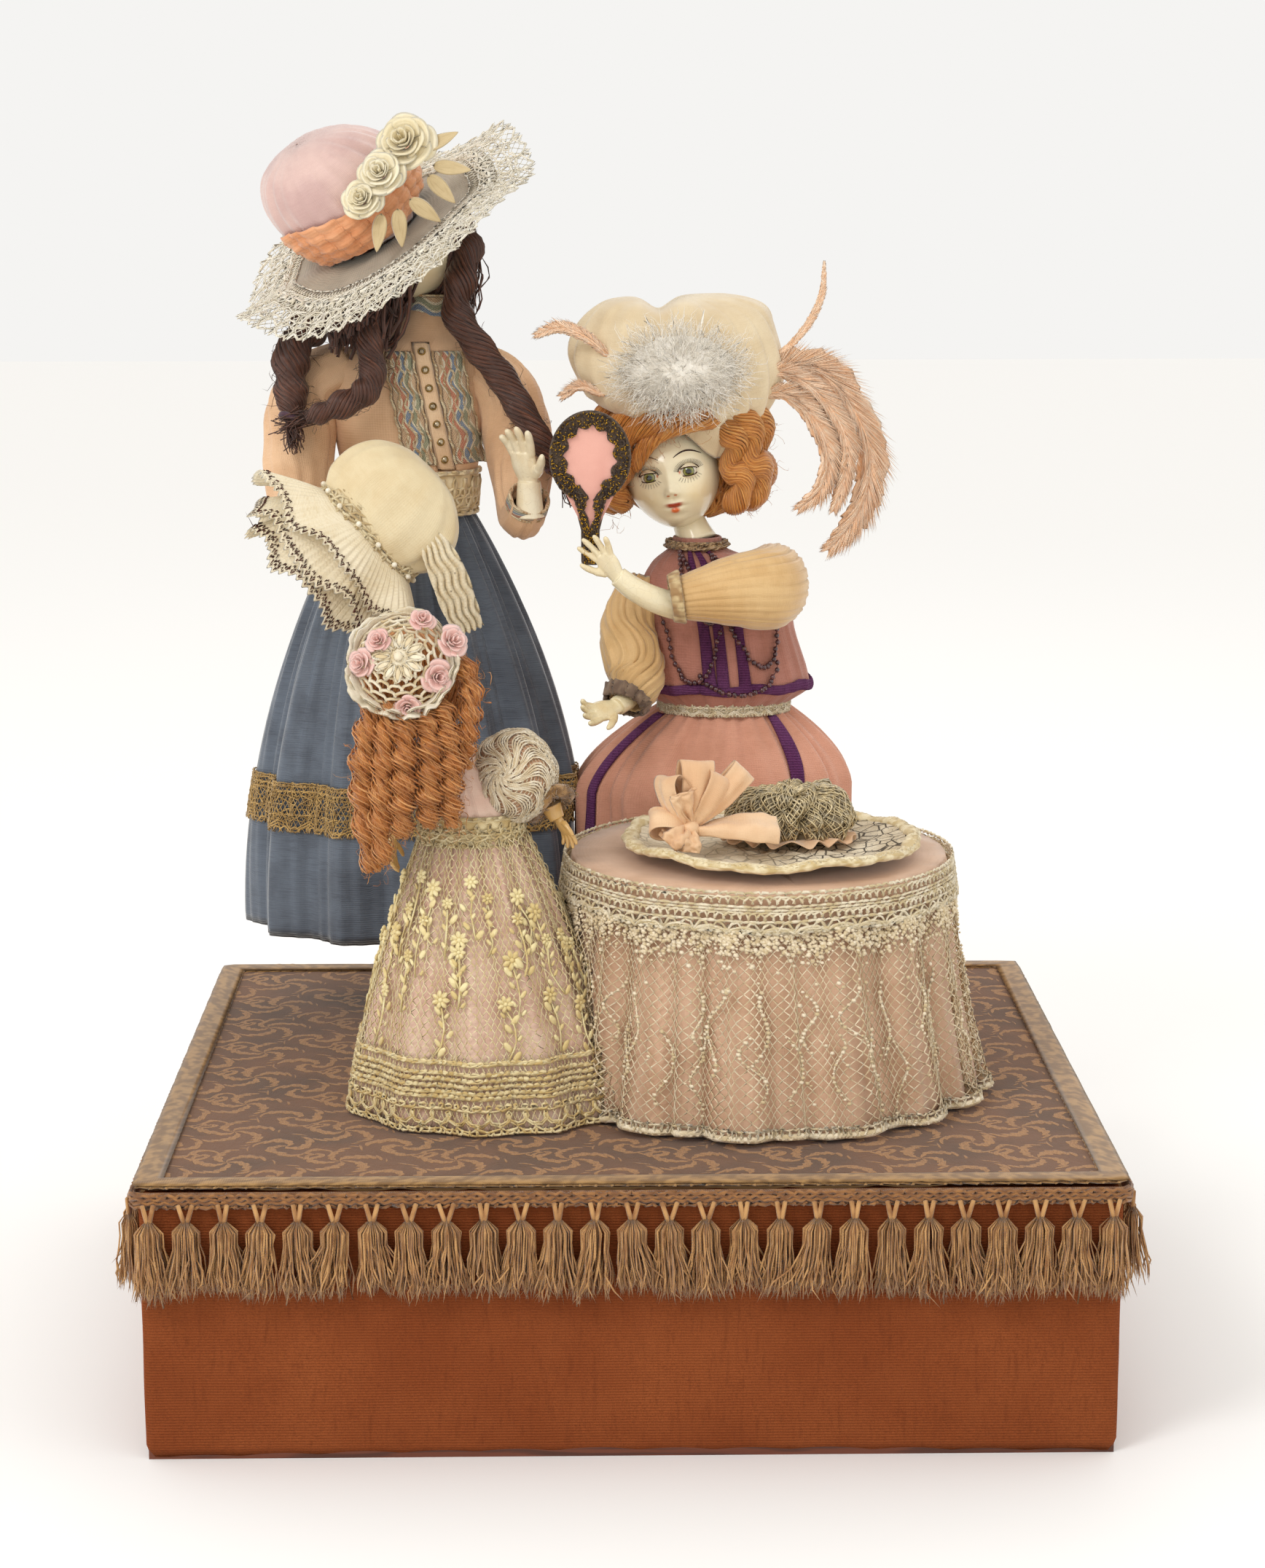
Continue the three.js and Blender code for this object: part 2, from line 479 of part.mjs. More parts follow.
function goingTrain() {
  const steel = [0x8c8f94, 0.35, 0.9];
  const brass = [0xd0aa58, 0.3, 0.9];
  const camPhase = meshPhase(Math.PI, teeth.great, teeth.cam, Math.PI);
  const pinionPhase = meshPhase(Math.PI, teeth.great, teeth.pinion, wheelTilt);
  const flyPhase = meshPhase(0, teeth.wheel, teeth.flyPinion, fly.tilt);
  const backY = backPlateY + plates.thick;

  // Winding arbor with its core and ratchet wheel, and the key that fits its end
  const arborEnd = box.depth / 2 + arbor.reach;
  const sawTooth = Array.from({ length: ratchet.teeth * 2 }, (_, i) => {
    const angle = (Math.PI * (i + (i % 2) * 0.8)) / ratchet.teeth;
    const r = ratchet.radius - (i % 2) * ratchet.depth;
    return new THREE.Vector2(r * Math.cos(angle), r * Math.sin(angle));
  });
  const ratchetY = backY + seatGap;
  const ratchetWheel = flat(new THREE.Shape(sawTooth), ratchetY, ratchet.thick).translate([windingX, 0, windingZ]);
  const drumY = greatY + gearThick;
  const core = alongY(windingX, windingZ, drumY + runGap, drumY + barrel.depth - runGap, barrel.core);
  const shaft = alongY(windingX, windingZ, plates.front - stub, arborEnd, arbor.winding);
  add("winding_arbor", join(shaft, core, ratchetWheel), ...steel);
  const stemStart = arborEnd - key.stem;
  const stem = alongY(windingX, windingZ, stemStart, arborEnd + overrun / 2, key.collar);
  const socket = bore(V(windingX, stemStart - overrun, windingZ), V(windingX, arborEnd + seatGap, windingZ), arbor.winding, seatGap);
  const wings = [-1, 1].map((side) => {
    const ring = new THREE.Shape().absellipse(side * key.wing * 0.62, 0, key.wing * 0.62, key.bow, 0, 2 * Math.PI);
    ring.holes.push(new THREE.Path().absarc(side * key.wing * 0.68, 0, key.wingHole, 0, 2 * Math.PI, true));
    const wing = new THREE.ExtrudeGeometry(ring, { depth: key.wingThick, bevelEnabled: false, curveSegments: 5 });
    wing.translate(0, 0, -key.wingThick / 2);
    return solid(wing.translate(windingX, 0, 0));
  });
  const wingY = arborEnd + key.bow;
  const turned = wings.map((wing) => wing.translate([0, wingY, windingZ]));
  const neck = alongY(windingX, windingZ, arborEnd + overrun / 4, wingY + key.bow / 2, key.wingThick);
  add("winding_key", join(cut(stem, socket), neck, ...turned), ...steel);

  // Spring barrel with the great wheel, and the coiled mainspring in it
  const drum = alongY(windingX, windingZ, drumY - stub / 2, drumY + barrel.depth, barrel.radius, sides.round);
  const drumHollow = alongY(
    windingX,
    windingZ,
    drumY,
    drumY + barrel.depth + overrun,
    barrel.radius - barrel.wall,
    sides.round,
  );
  const greatWheel = gear(windingX, windingZ, greatY, gearThick, teeth.great, toothModule, Math.PI);
  const barrelBore = bore(V(windingX, greatY - overrun, windingZ), V(windingX, drumY + overrun, windingZ), arbor.winding);
  add("spring_barrel", cut(join(greatWheel, cut(drum, drumHollow)), barrelBore), ...brass);
  const inner = barrel.core + linkGap;
  const outer = (barrel.radius - barrel.wall) * Math.cos(Math.PI / sides.round) - barrel.springThick - seatGap;
  const steps = barrel.springTurns * barrel.springSides;
  const springLow = drumY + runGap;
  const springHigh = drumY + barrel.depth - runGap;
  const coil = Array.from({ length: steps + 1 }, (_, i) => {
    const angle = (2 * Math.PI * i) / barrel.springSides;
    const r = mix(inner, outer, i / steps);
    const place = (radius, y) => V(windingX + radius * Math.cos(angle), y, windingZ + radius * Math.sin(angle));
    const thick = barrel.springThick;
    return [place(r, springLow), place(r, springHigh), place(r + thick, springHigh), place(r + thick, springLow)];
  });
  add("mainspring", loft(coil), 0x5a5f68, 0.3, 0.9);

  // Intermediate wheel and the fly that steadies the speed
  const wheelBody = join(
    alongY(wheelX, wheelZ, plates.front - stub, backY + stub, arbor.wheel),
    gear(wheelX, wheelZ, wheelY, gearThick * 0.8, teeth.wheel, wheelModule, 0),
    gear(wheelX, wheelZ, wheelY + gearThick * 0.7, gearThick * 1.6 + runGap, teeth.pinion, toothModule, pinionPhase),
  );
  add("intermediate_wheel", wheelBody, ...brass);
  const bladeY = greatY + gearThick + 4 * runGap;
  const blade = block(
    V(flyX - fly.radius, bladeY, flyZ - fly.thick / 2),
    V(flyX + fly.radius, bladeY + fly.length, flyZ + fly.thick / 2),
  );
  const flyBody = join(
    alongY(flyX, flyZ, plates.front - stub, backY + stub, arbor.fly),
    gear(flyX, flyZ, wheelY, gearThick * 0.8, teeth.flyPinion, wheelModule, flyPhase),
    alongY(flyX, flyZ, bladeY - runGap, bladeY + fly.length + runGap, fly.hub),
    blade,
  );
  add("fly_governor", flyBody, ...steel);

  // Camshaft: its wheel meets the great wheel, and each cam has its own lobes
  const camShape = (lobes, sharpness, phase) => {
    const ring = Array.from({ length: sides.cam }, (_, i) => {
      const angle = (2 * Math.PI * i) / sides.cam;
      const lift = Math.pow(0.5 - 0.5 * Math.cos(lobes * angle + phase), sharpness);
      const r = mix(camLine.low, camLine.high, lift);
      return new THREE.Vector2(r * Math.cos(angle), r * Math.sin(angle));
    });
    return new THREE.Shape(ring);
  };
  const cams = camPlanes.map(({ y, lobes, sharpness, phase }) =>
    flat(camShape(lobes, sharpness, phase), y - camLine.thick / 2, camLine.thick).translate([camLine.x, 0, camLine.z]),
  );
  const camBody = join(
    alongY(camLine.x, camLine.z, bracket.y - stub, backY + stub, camLine.shaft),
    gear(camLine.x, camLine.z, greatY, gearThick, teeth.cam, toothModule, camPhase),
    ...cams,
  );
  add("camshaft", camBody, ...brass);
}

const girlArmPlane = girlY;
const girlHeadPlane = girlY - crank.radius;
const ladyArmPlane = lady.spindleY;
const ladyHeadPlane = lady.spindleY - crank.radius;
const childPlane = child.y + crank.radius;
const camPlanes = [
  { y: girlArmPlane, lobes: 1, sharpness: 2, phase: 0 },
  { y: ladyArmPlane, lobes: 2, sharpness: 1.5, phase: 0.8 },
  { y: girlHeadPlane, lobes: 2, sharpness: 1, phase: 2 },
  { y: ladyHeadPlane, lobes: 3, sharpness: 1, phase: 1 },
  { y: childPlane, lobes: 3, sharpness: 1.5, phase: 2.6 },
];
const leftPivot = camLine.x - lever.reach;
const rightPivot = camLine.x + lever.reach;
const noseLevel = camLine.z + camLine.high + runGap + swing;

// A lever on the pivot shaft: a nose over the cam, and a finger or a long arm on the other side
function camLever(name, y, pivotX, side, { armTo, fingerAt }) {
  const from = y - lever.thick / 2;
  const strip = (x0, z0, x1, z1, width) => {
    const along = new THREE.Vector2(x1 - x0, z1 - z0);
    const angle = along.angle();
    const half = width / 2;
    const shape = new THREE.Shape();
    shape.absarc(0, 0, half, Math.PI / 2, (3 * Math.PI) / 2, false);
    shape.absarc(along.length(), 0, half, -Math.PI / 2, Math.PI / 2, false);
    const geometry = new THREE.ExtrudeGeometry(shape, { depth: lever.thick, bevelEnabled: false, curveSegments: 4 });
    geometry.rotateZ(angle).rotateX(Math.PI / 2);
    return solid(geometry.translate(x0, from + lever.thick, z0));
  };
  const z = lever.pivot;
  const noseX = camLine.x;
  const pieces = [
    alongY(pivotX, z, from, from + lever.thick, lever.hub, sides.round),
    strip(pivotX, z, noseX, z, lever.bar),
    strip(noseX, z, noseX, noseLevel + lever.noseBar / 2, lever.noseBar),
  ];
  if (armTo !== undefined) pieces.push(strip(pivotX, z, armTo, z, lever.bar));
  if (fingerAt !== undefined) {
    const fingerX = fingerAt - side * (crank.halfWide + linkGap + lever.finger / 2);
    const tipZ = crank.level + crank.high + runGap;
    pieces.push(strip(pivotX, z, fingerX, z, lever.bar));
    pieces.push(strip(fingerX, z, fingerX, tipZ, lever.finger));
  }
  const hole = bore(V(pivotX, from - overrun, z), V(pivotX, from + lever.thick + overrun, z), lever.shaft, runGap / 2);
  add(name, cut(join(...pieces), hole), 0x9a9da2, 0.4, 0.85);
}

function leverWork() {
  camLever("girl_arm_lever", girlArmPlane, leftPivot, -1, { armTo: girlRodX });
  camLever("girl_head_lever", girlHeadPlane, leftPivot, -1, { fingerAt: girl.spindleX });
  camLever("child_lever", childPlane, leftPivot, -1, { fingerAt: child.spindleX });
  camLever("lady_arm_lever", ladyArmPlane, rightPivot, 1, { armTo: lady.rodX });
  camLever("lady_head_lever", ladyHeadPlane, rightPivot, 1, { fingerAt: lady.spindleX });

  // Front bearing of the camshaft, with both lever shafts riveted in it
  const low = box.board + seatGap;
  const upright = block(
    V(camLine.x - bracket.halfWidth, bracket.y, low),
    V(camLine.x + bracket.halfWidth, bracket.y + bracket.thick, bracket.top),
  );
  const foot = block(
    V(camLine.x - bracket.halfWidth, bracket.y - bracket.foot, low),
    V(camLine.x + bracket.halfWidth, bracket.y + bracket.thick, low + bracket.thick),
  );
  const shafts = [leftPivot, rightPivot].map((x) =>
    alongY(x, lever.pivot, bracket.y + bracket.thick / 2, plates.front - seatGap, lever.shaft),
  );
  const camBore = bore(
    V(camLine.x, bracket.y - overrun, camLine.z),
    V(camLine.x, bracket.y + bracket.thick + overrun, camLine.z),
    camLine.shaft,
  );
  add("cam_bracket", cut(join(upright, foot, ...shafts), camBore), 0xc9a24f, 0.35, 0.9);

  // Push rods stand on the long levers
  const rodLow = lever.pivot + lever.bar / 2 + runGap;
  const pushRod = (name, x, y, top) => {
    const foot = bar(V(x, y, rodLow), V(x, y, rodLow + rod.footThick), rod.foot, sides.small);
    add(name, join(foot, bar(V(x, y, rodLow + stub / 2), V(x, y, top), rod.radius, sides.small)), 0x8c8f94, 0.35, 0.9);
  };
  pushRod("girl_push_rod", girlRodX, girlY, girlRodTop);
  pushRod("lady_push_rod", lady.rodX, lady.spindleY, ladyRodTop);
}

// Start and stop lever: a slide behind the back plate, with a finger towards the fly and a knob outside
function startStop() {
  const inside = boards.halfY - box.board - linkGap;
  const x = startLever.x;
  const z = startLever.z;
  const half = startLever.thick;
  const bodyPlate = block(
    V(x - half, inside - startLever.thick, z - startLever.plate),
    V(x + startLever.plate, inside, z + startLever.plate),
  );
  const finger = block(
    V(x + startLever.plate - half, inside - startLever.finger, z - half),
    V(x + startLever.plate, inside - half, z + half),
  );
  const outside = box.depth / 2;
  const tooth = block(
    V(x + startLever.plate - startLever.tooth, inside - startLever.finger, z - half),
    V(x + startLever.plate, inside - startLever.finger + half, z + half),
  );
  const stem = bar(V(x, inside - half / 2, z), V(x, outside + startLever.knobOut, z), half, sides.small);
  const knob = solid(new THREE.SphereGeometry(startLever.knob, 10, 6)).translate([x, outside + startLever.knobOut, z]);
  add("start_lever", join(bodyPlate, finger, tooth, stem, knob), 0xb9bcc0, 0.3, 0.9);
}

// A turning spindle from the crank under the stage up to a head
function headSpindle(x, y, top, toward) {
  const low = crank.level;
  const hub = bar(V(x, y, low), V(x, y, low + crank.high), crank.hub, sides.round);
  const reach = toward * (crank.radius + crank.past);
  const arm = block(
    V(x - crank.halfWide, Math.min(y, y + reach), low),
    V(x + crank.halfWide, Math.max(y, y + reach), low + crank.high),
  );
  return join(hub, arm, bar(V(x, y, low + stub / 2), V(x, y, top), spindle, sides.small));
}

// Doll's hand: a palm, four fingers and a thumb
function hand(wrist, fingers, palm, scale = 1, spread = 0.16, curl = 0.3) {
  const along = fingers.clone().normalize();
  const out = palm.clone().normalize();
  const across = out.clone().cross(along).normalize();
  const at = (u, v, w) =>
    wrist
      .clone()
      .addScaledVector(along, u * scale)
      .addScaledVector(across, v * scale)
      .addScaledVector(out, w * scale);
  const { palm: long, halfWide, halfThick, finger, fingerHalf, wrist: wristHalf } = handSize;
  const palmSolid = sweep({
    path: [at(-long * 0.3, 0, 0), at(long * 0.4, 0, 0), at(long, 0, 0)],
    wide: [wristHalf * 0.9, halfWide, halfWide * 0.92].map((w) => w * scale),
    thick: [halfThick * 1.2, halfThick, halfThick * 0.7].map((w) => w * scale),
    steps: 3,
    count: sides.limb,
    up: out,
  });
  const lengthShares = [0.78, 1, 0.96, 0.84];
  const fingerSolids = lengthShares.map((share, i) => {
    const v = (i - 1.5) * halfWide * 0.5;
    const tip = share * finger;
    return sweep({
      path: [at(long * 0.85, v, 0), at(long + tip * 0.55, v * (1 + spread * 2), tip * curl * 0.25), at(long + tip, v * (1 + spread * 4), tip * curl)],
      wide: [fingerHalf, fingerHalf, fingerHalf * 0.55].map((w) => w * scale),
      steps: 2,
      count: sides.hand,
      up: out,
    });
  });
  const thumb = sweep({
    path: [at(long * 0.3, -halfWide * 0.7, 0), at(long * 0.7, -halfWide * 1.5, halfThick * 0.6), at(long * 1.05, -halfWide * 1.8, halfThick)],
    wide: [fingerHalf * 1.2, fingerHalf * 1.1, fingerHalf * 0.6].map((w) => w * scale),
    steps: 2,
    count: sides.hand,
    up: out,
  });
  return join(palmSolid, ...fingerSolids, thumb);
}

// Skirt: flares from the waist to the hem, with folds that deepen downwards
function skirtRings({ x, y, waistX, low, high, hemHalfX, hemHalfY, waistHalfX, waistHalfY, power, folds, fold, levels, count }) {
  return Array.from({ length: levels + 1 }, (_, i) => {
    const t = i / levels;
    const flare = 1 - Math.pow(t, power);
    const halfX = mix(waistHalfX, hemHalfX, flare);
    const halfY = mix(waistHalfY, hemHalfY, flare);
    const depth = (fold * mix(0.25, 1, flare)) / halfY;
    const wave = (angle) => 1 - depth * (0.5 + 0.5 * Math.cos(folds * angle + 2.2 * Math.sin(angle)));
    return oval(mix(x, waistX, t), y, mix(low, high, t), halfX, halfY, count, wave);
  });
}

const ladyHemTop = stage + ladySkirt.lapHigh;
const ladyWaist = stage + ladySkirt.high;
const ladyGirth = (grow) => (z) => ({
  x: lady.x,
  y: lady.y,
  halfX: ladySkirt.hemHalfX + grow,
  halfY: z < ladyHemTop ? ladySkirt.hemHalfY + grow : ladySkirt.waistHalfY,
});
const childWaist = stage + childDress.high;
const childPower = 1.25;
const childGirth = (grow) => (z) => {
  const t = THREE.MathUtils.clamp((z - stage) / childDress.high, 0, 1);
  const flare = 1 - Math.pow(t, childPower);
  return {
    x: mix(child.x, child.waistX, t),
    y: child.y,
    halfX: mix(childDress.waistHalfX, childDress.hemHalfX, flare) + grow,
    halfY: mix(childDress.waistHalfY, childDress.hemHalfY, flare) + grow,
  };
};
const pressGap = 2.2;

const girlHem = stage + girlSkirt.lift;
const girlWaist = girlHem + girlSkirt.high;
const girlCollar = girlWaist + girlBody.high;
const girlRodTop = girlWaist + girlBody.high * 0.55;
const girlWaistX = girl.x - 2;

function girlLegs(grow) {
  const hipsTop = girlHem + girlLeg.inSkirt;
  const leg = (x) => {
    const shank = sweep({
      path: [
        V(x, girlY, standing + girlLeg.sole),
        V(x, girlY, standing + girlLeg.bootHigh),
        V(x, girlY, girlHem),
        V(x, girlY, hipsTop),
      ],
      wide: [girlLeg.ankle, girlLeg.ankle, girlLeg.calf, girlLeg.thigh].map((r) => r + grow),
      steps: 4,
      up: V(0, 1, 0),
    });
    const boot = sweep({
      path: [
        V(x, girlY + girlLeg.heel, standing + girlLeg.sole * 0.8),
        V(x, girlY - girlLeg.heel, standing + girlLeg.sole * 0.8),
        V(x, girlY - girlLeg.toe, standing + girlLeg.sole * 0.35),
      ],
      wide: [girlLeg.ankle, girlLeg.ankle * 1.1, girlLeg.ankle * 0.5],
      thick: [girlLeg.sole, girlLeg.sole, girlLeg.sole * 0.5],
      steps: 3,
    });
    return join(shank, boot);
  };
  const hips = block(
    V(girlRodX - grow, girlY - girlLeg.hips / 2 - grow, hipsTop - girlLeg.hips - grow),
    V(girl.spindleX + grow, girlY + girlLeg.hips / 2 + grow, hipsTop + grow),
  );
  const both = join(leg(girl.spindleX), leg(girlRodX), hips);
  const below = block(
    V(girlRodX - girlSkirt.hemHalfX, girlY - girlSkirt.hemHalfX, 0),
    V(girlRodX + girlSkirt.hemHalfX, girlY + girlSkirt.hemHalfX, standing - grow),
  );
  return cut(both, below);
}

function standingGirl() {
  const spindleBore = (low, high) => upBore(girl.spindleX, girlY, low, high, spindle);
  const rodBore = (low, high) => upBore(girlRodX, girlY, low, high, rod.radius);
  const legs = cut(girlLegs(0), spindleBore(0, girlWaist), rodBore(0, girlWaist));
  add("girl_legs", legs, 0x3a2c26, 0.5);

  const rings = skirtRings({
    ...girlSkirt,
    x: girl.x,
    y: girlY,
    waistX: girlWaistX,
    low: girlHem,
    high: girlWaist,
    power: 2.1,
    folds: 13,
    levels: 6,
    count: 52,
  });
  rings.slice(0, 5).forEach((ringPoints) => {
    pressOut(ringPoints, ladyGirth(pressGap));
    pressOut(ringPoints, childGirth(pressGap));
  });
  const skirt = cut(loft(rings), girlLegs(seatGap), spindleBore(0, girlCollar), rodBore(0, girlCollar));
  add("girl_skirt", skirt, 0x5f7280, 0.6);

  // Blouse: a fitted body and two full sleeves
  const rodClear = girlRodTop + overrun * 2;
  const elbowBall = solid(new THREE.SphereGeometry(girlForearm.ball, 9, 5).rotateY(1).rotateX(0.4)).translate(elbow.toArray());
  const blouse = join(loft(girlBodyRings(0)), girlRightSleeve(0), girlLeftSleeve(0), elbowBall);
  const swingRoom = bar(
    elbow.clone().addScaledVector(forearmWay, girlForearm.ball - linkGap),
    elbow.clone().addScaledVector(forearmWay, girlForearm.long),
    girlForearm.radius + linkGap * 4.2,
    sides.limb,
    girlForearm.radius * 3,
  );
  const blouseClear = [spindleBore(girlHem, girlCollar + overrun), rodBore(girlHem, rodClear), leftForearm(seatGap)];
  add("girl_blouse", cut(blouse, ...blouseClear, swingRoom), 0xd9b08c, 0.85);
  add("girl_left_hand", leftForearm(0), 0xeadfc2, 0.35);

  // Head on its neck and spindle
  const crown = girlHeadAt(0);
  const neckLow = girlCollar + seatGap;
  const neckTop = V(girl.spindleX, girlY, girlHeadCentre.z);
  const neck = bar(V(girl.spindleX, girlY, neckLow), neckTop, girlHead.neck, sides.round);
  const head = join(crown, neck, headSpindle(girl.spindleX, girlY, neckLow + stub, -1));
  add("girl_head", head, 0xeadfc2, 0.35);

  // Hair round the back and sides of the head
  const c = girlHeadCentre;
  const hairBody = (grow) =>
    egg(c.clone().add(V(0, girlHead.halfY * 0.2, -girlHair.drop * 0.1)), girlHair.halfX + grow, girlHair.halfY + grow, girlHair.halfZ + grow, roundShares, girlHead.tilt);
  const faceWindow = block(
    V(c.x - girlHead.halfX * 0.72, c.y - girlHair.halfY * 2, c.z - girlHair.halfZ * 2),
    V(c.x + girlHead.halfX * 0.9, c.y - girlHead.halfY * 0.3, c.z + girlHead.halfZ * 0.3),
  );
  const underHair = block(
    V(c.x - girlHair.halfX * 2, c.y - girlHair.halfY * 2, c.z - girlHair.halfZ * 2),
    V(c.x + girlHair.halfX * 2, c.y + girlHair.halfY * 2, girlCollar + seatGap * 2),
  );
  const neckClear = bore(V(girl.spindleX, girlY, 0), neckTop, girlHead.neck, seatGap, sides.round);
  const hair = cut(hairBody(0), girlHeadAt(seatGap), faceWindow, underHair, neckClear);
  add("girl_hair", hair, 0x3b2419, 0.5);

  // Hat: a deep crown and a wide brim, tipped over the left side
  const hatProfile = [
    [0, -girlHat.brimThick],
    [girlHat.crown * 0.96, -girlHat.brimThick],
    [girlHat.brim * 0.97, -girlHat.brimThick * 1.6],
    [girlHat.brim, -girlHat.brimThick * 0.8],
    [girlHat.crown * 1.04, 0],
    [girlHat.crown, girlHat.crownHigh * 0.35],
    [girlHat.crown * 0.88, girlHat.crownHigh * 0.75],
    [girlHat.crown * 0.5, girlHat.crownHigh * 0.97],
    [0, girlHat.crownHigh],
  ].map(([radius, level]) => new THREE.Vector2(radius, level));
  const hatShape = new THREE.LatheGeometry(hatProfile, sides.fine);
  hatShape.rotateX(Math.PI / 2).applyMatrix4(new THREE.Matrix4().makeRotationFromEuler(new THREE.Euler(girlHat.nod, girlHat.tilt, 0, "YXZ")));
  const hatCentre = c.clone().add(V(-girlHat.left, 0, girlHat.rise));
  const hat = solid(hatShape.translate(hatCentre.x, hatCentre.y, hatCentre.z));
  add("girl_hat", cut(hat, hairBody(seatGap), girlHeadAt(seatGap)), 0xd8c3b4, 0.8);

  // Two plaits that lie on the shoulders, joined by the hair at the nape
  const nape = girlCollar - girlBody.collarHalf * 1.6;
  const back = girlY + girlBody.chestHalfY;
  const napeAt = V(girl.spindleX, back + plait.radius * 0.6, nape);
  const plaitAlong = (path, tail) =>
    sweep({
      path: [napeAt, ...path],
      wide: [plait.radius, plait.radius, plait.radius, plait.thin, tail],
      steps: 10,
      wave: (angle, t) => 1 - plait.twist * Math.cos(angle * 2 + t * plait.turns),
    });
  const r = girlBody.sleeve;
  const leftPlait = plaitAlong(
    [
      V(girl.spindleX - girlBody.chestHalfX * 0.9, back + plait.radius * 0.2, nape),
      V(girlRightX - r * 0.5, girlY + r * 0.2, girlShoulder + r * 0.5 + plait.radius),
      V(girlRightX - r * 0.55, girlY - r - plait.radius * 1.2, girlShoulder - r * 0.6),
      V(girlRightX - r * 0.7, girlY - r * 1.7 - plait.radius, girlShoulder - r * 2.1),
    ],
    plait.thin,
  );
  const rightPlait = plaitAlong(
    [
      V(girl.spindleX + girlBody.chestHalfX * 0.6, back + plait.radius * 0.2, nape),
      V(girlLeftX + r * 0.6, girlY + r * 0.7 + plait.radius, girlShoulder),
      V(girlLeftX + r * 1.6, girlY + r * 0.4 + plait.radius, girlShoulder - r * 1.6),
      V(girlLeftX + r * 2.1, girlY + r * 0.2 + plait.radius, girlShoulder - r * 3),
    ],
    plait.thin * 0.8,
  );
  const grownBody = loft(girlBodyRings(seatGap * 2));
  const sleeves = [girlRightSleeve(seatGap * 2), girlLeftSleeve(seatGap * 2)];
  add("girl_plaits", cut(join(leftPlait, rightPlait), grownBody, ...sleeves), 0x3b2419, 0.55);

  // Right forearm and the bonnet that hangs on it
  const elbowNose = bar(
    elbow.clone().addScaledVector(forearmWay, girlForearm.ball - linkGap + runGap),
    elbow.clone().addScaledVector(forearmWay, girlForearm.ball + linkGap * 2),
    girlForearm.radius * 0.3,
    sides.limb,
  );
  add("girl_right_forearm", join(girlForearmSolid(0), elbowNose), 0xeadfc2, 0.35);
  const bonnetSolid = sweep({
    path: [
      bonnetAt.clone().add(V(bonnet.crown * 1.05, 0, bonnet.crown * 0.95)),
      bonnetAt.clone().add(V(bonnet.crown * 0.6, 0, bonnet.crown * 0.5)),
      bonnetAt.clone(),
      bonnetAt.clone().add(V(-bonnet.long * 0.27, 0, -bonnet.long * 0.27)),
    ],
    wide: [bonnet.crown * 0.35, bonnet.crown, bonnet.crown, bonnet.frill],
    thick: [bonnet.deep * 0.4, bonnet.deep, bonnet.deep, bonnet.deep * 0.7],
    steps: 7,
    count: 28,
    up: V(0, 1, 0),
    wave: (angle, t) => (t > 0.7 ? 1 + bonnet.frillShare * Math.cos(angle * 14) : 1),
  });
  add("bonnet", cut(bonnetSolid, girlForearmSolid(seatGap)), 0xe2d6bd, 0.85);
}

// Fitted body of the girl's blouse
const girlBodyShares = [
  [0, 0.74, 0.82, 0],
  [0.25, 0.86, 0.93, 0],
  [0.5, 1, 1, 0],
  [0.7, 1.02, 0.9, 0.2],
  [0.8, 0.86, 0.76, 0.4],
  [0.88, 0.5, 0.55, 0.8],
  [1, 0.264, 0.4, 1],
];
const girlBodyRings = (grow) =>
  girlBodyShares.map(([level, wide, deep, lean]) =>
    oval(
      mix(girlWaistX, girl.spindleX, lean),
      girlY,
      girlWaist + seatGap + level * (girlBody.high - seatGap + grow),
      wide * girlBody.chestHalfX + grow,
      deep * girlBody.chestHalfY + grow,
      sides.round,
    ),
  );

// Sleeves, elbow, cuff and bonnet of the girl's arms
const girlShoulder = girlWaist + 0.72 * girlBody.high;
const girlRightX = girlWaistX - girlBody.chestHalfX;
const girlLeftX = girlWaistX + girlBody.chestHalfX;
const elbow = V(girlRightX - girlBody.sleeve * 0.9, girlY - girlBody.sleeve * 1.7, girlWaist - girlBody.wristSleeve);
const cuff = V(girlLeftX + girlBody.sleeve * 1.25, girlY - girlBody.sleeve * 2.4, girlWaist + girlBody.wristSleeve * 0.6);
const girlSleeve = (path, wide, grow) =>
  sweep({ path, wide: wide.map((w) => w + grow), steps: 8, count: sides.limb + 2, up: V(0.2, 1, 0.1) });
function girlRightSleeve(grow) {
  const r = girlBody.sleeve;
  const path = [
    V(girlRightX + r * 0.8, girlY, girlShoulder),
    V(girlRightX - r * 0.6, girlY - r * 0.1, girlShoulder - r),
    V(girlRightX - r * 0.9, girlY - r * 0.7, girlShoulder - r * 3),
    elbow,
  ];
  return girlSleeve(path, [r * 0.8, r, r, girlBody.wristSleeve], grow);
}
function girlLeftSleeve(grow) {
  const r = girlBody.sleeve;
  const path = [
    V(girlLeftX - r * 0.8, girlY, girlShoulder),
    V(girlLeftX + r * 0.5, girlY - r * 0.2, girlShoulder - r),
    V(girlLeftX + r * 0.95, girlY - r * 0.6, girlShoulder - r * 2.9),
    V(girlLeftX + r, girlY - r * 1.7, girlWaist - girlBody.wristSleeve * 0.3),
    cuff,
  ];
  return girlSleeve(path, [r * 0.8, r, r * 0.9, r * 0.6, girlBody.wristSleeve * 0.8], grow);
}
const forearmWay = V(0.8, -0.6, 0);
const girlForearmSolid = (grow) =>
  limb(
    elbow.clone().addScaledVector(forearmWay, girlForearm.ball + linkGap),
    elbow.clone().addScaledVector(forearmWay, girlForearm.long),
    girlForearm.radius,
    girlForearm.radius,
    grow,
  );
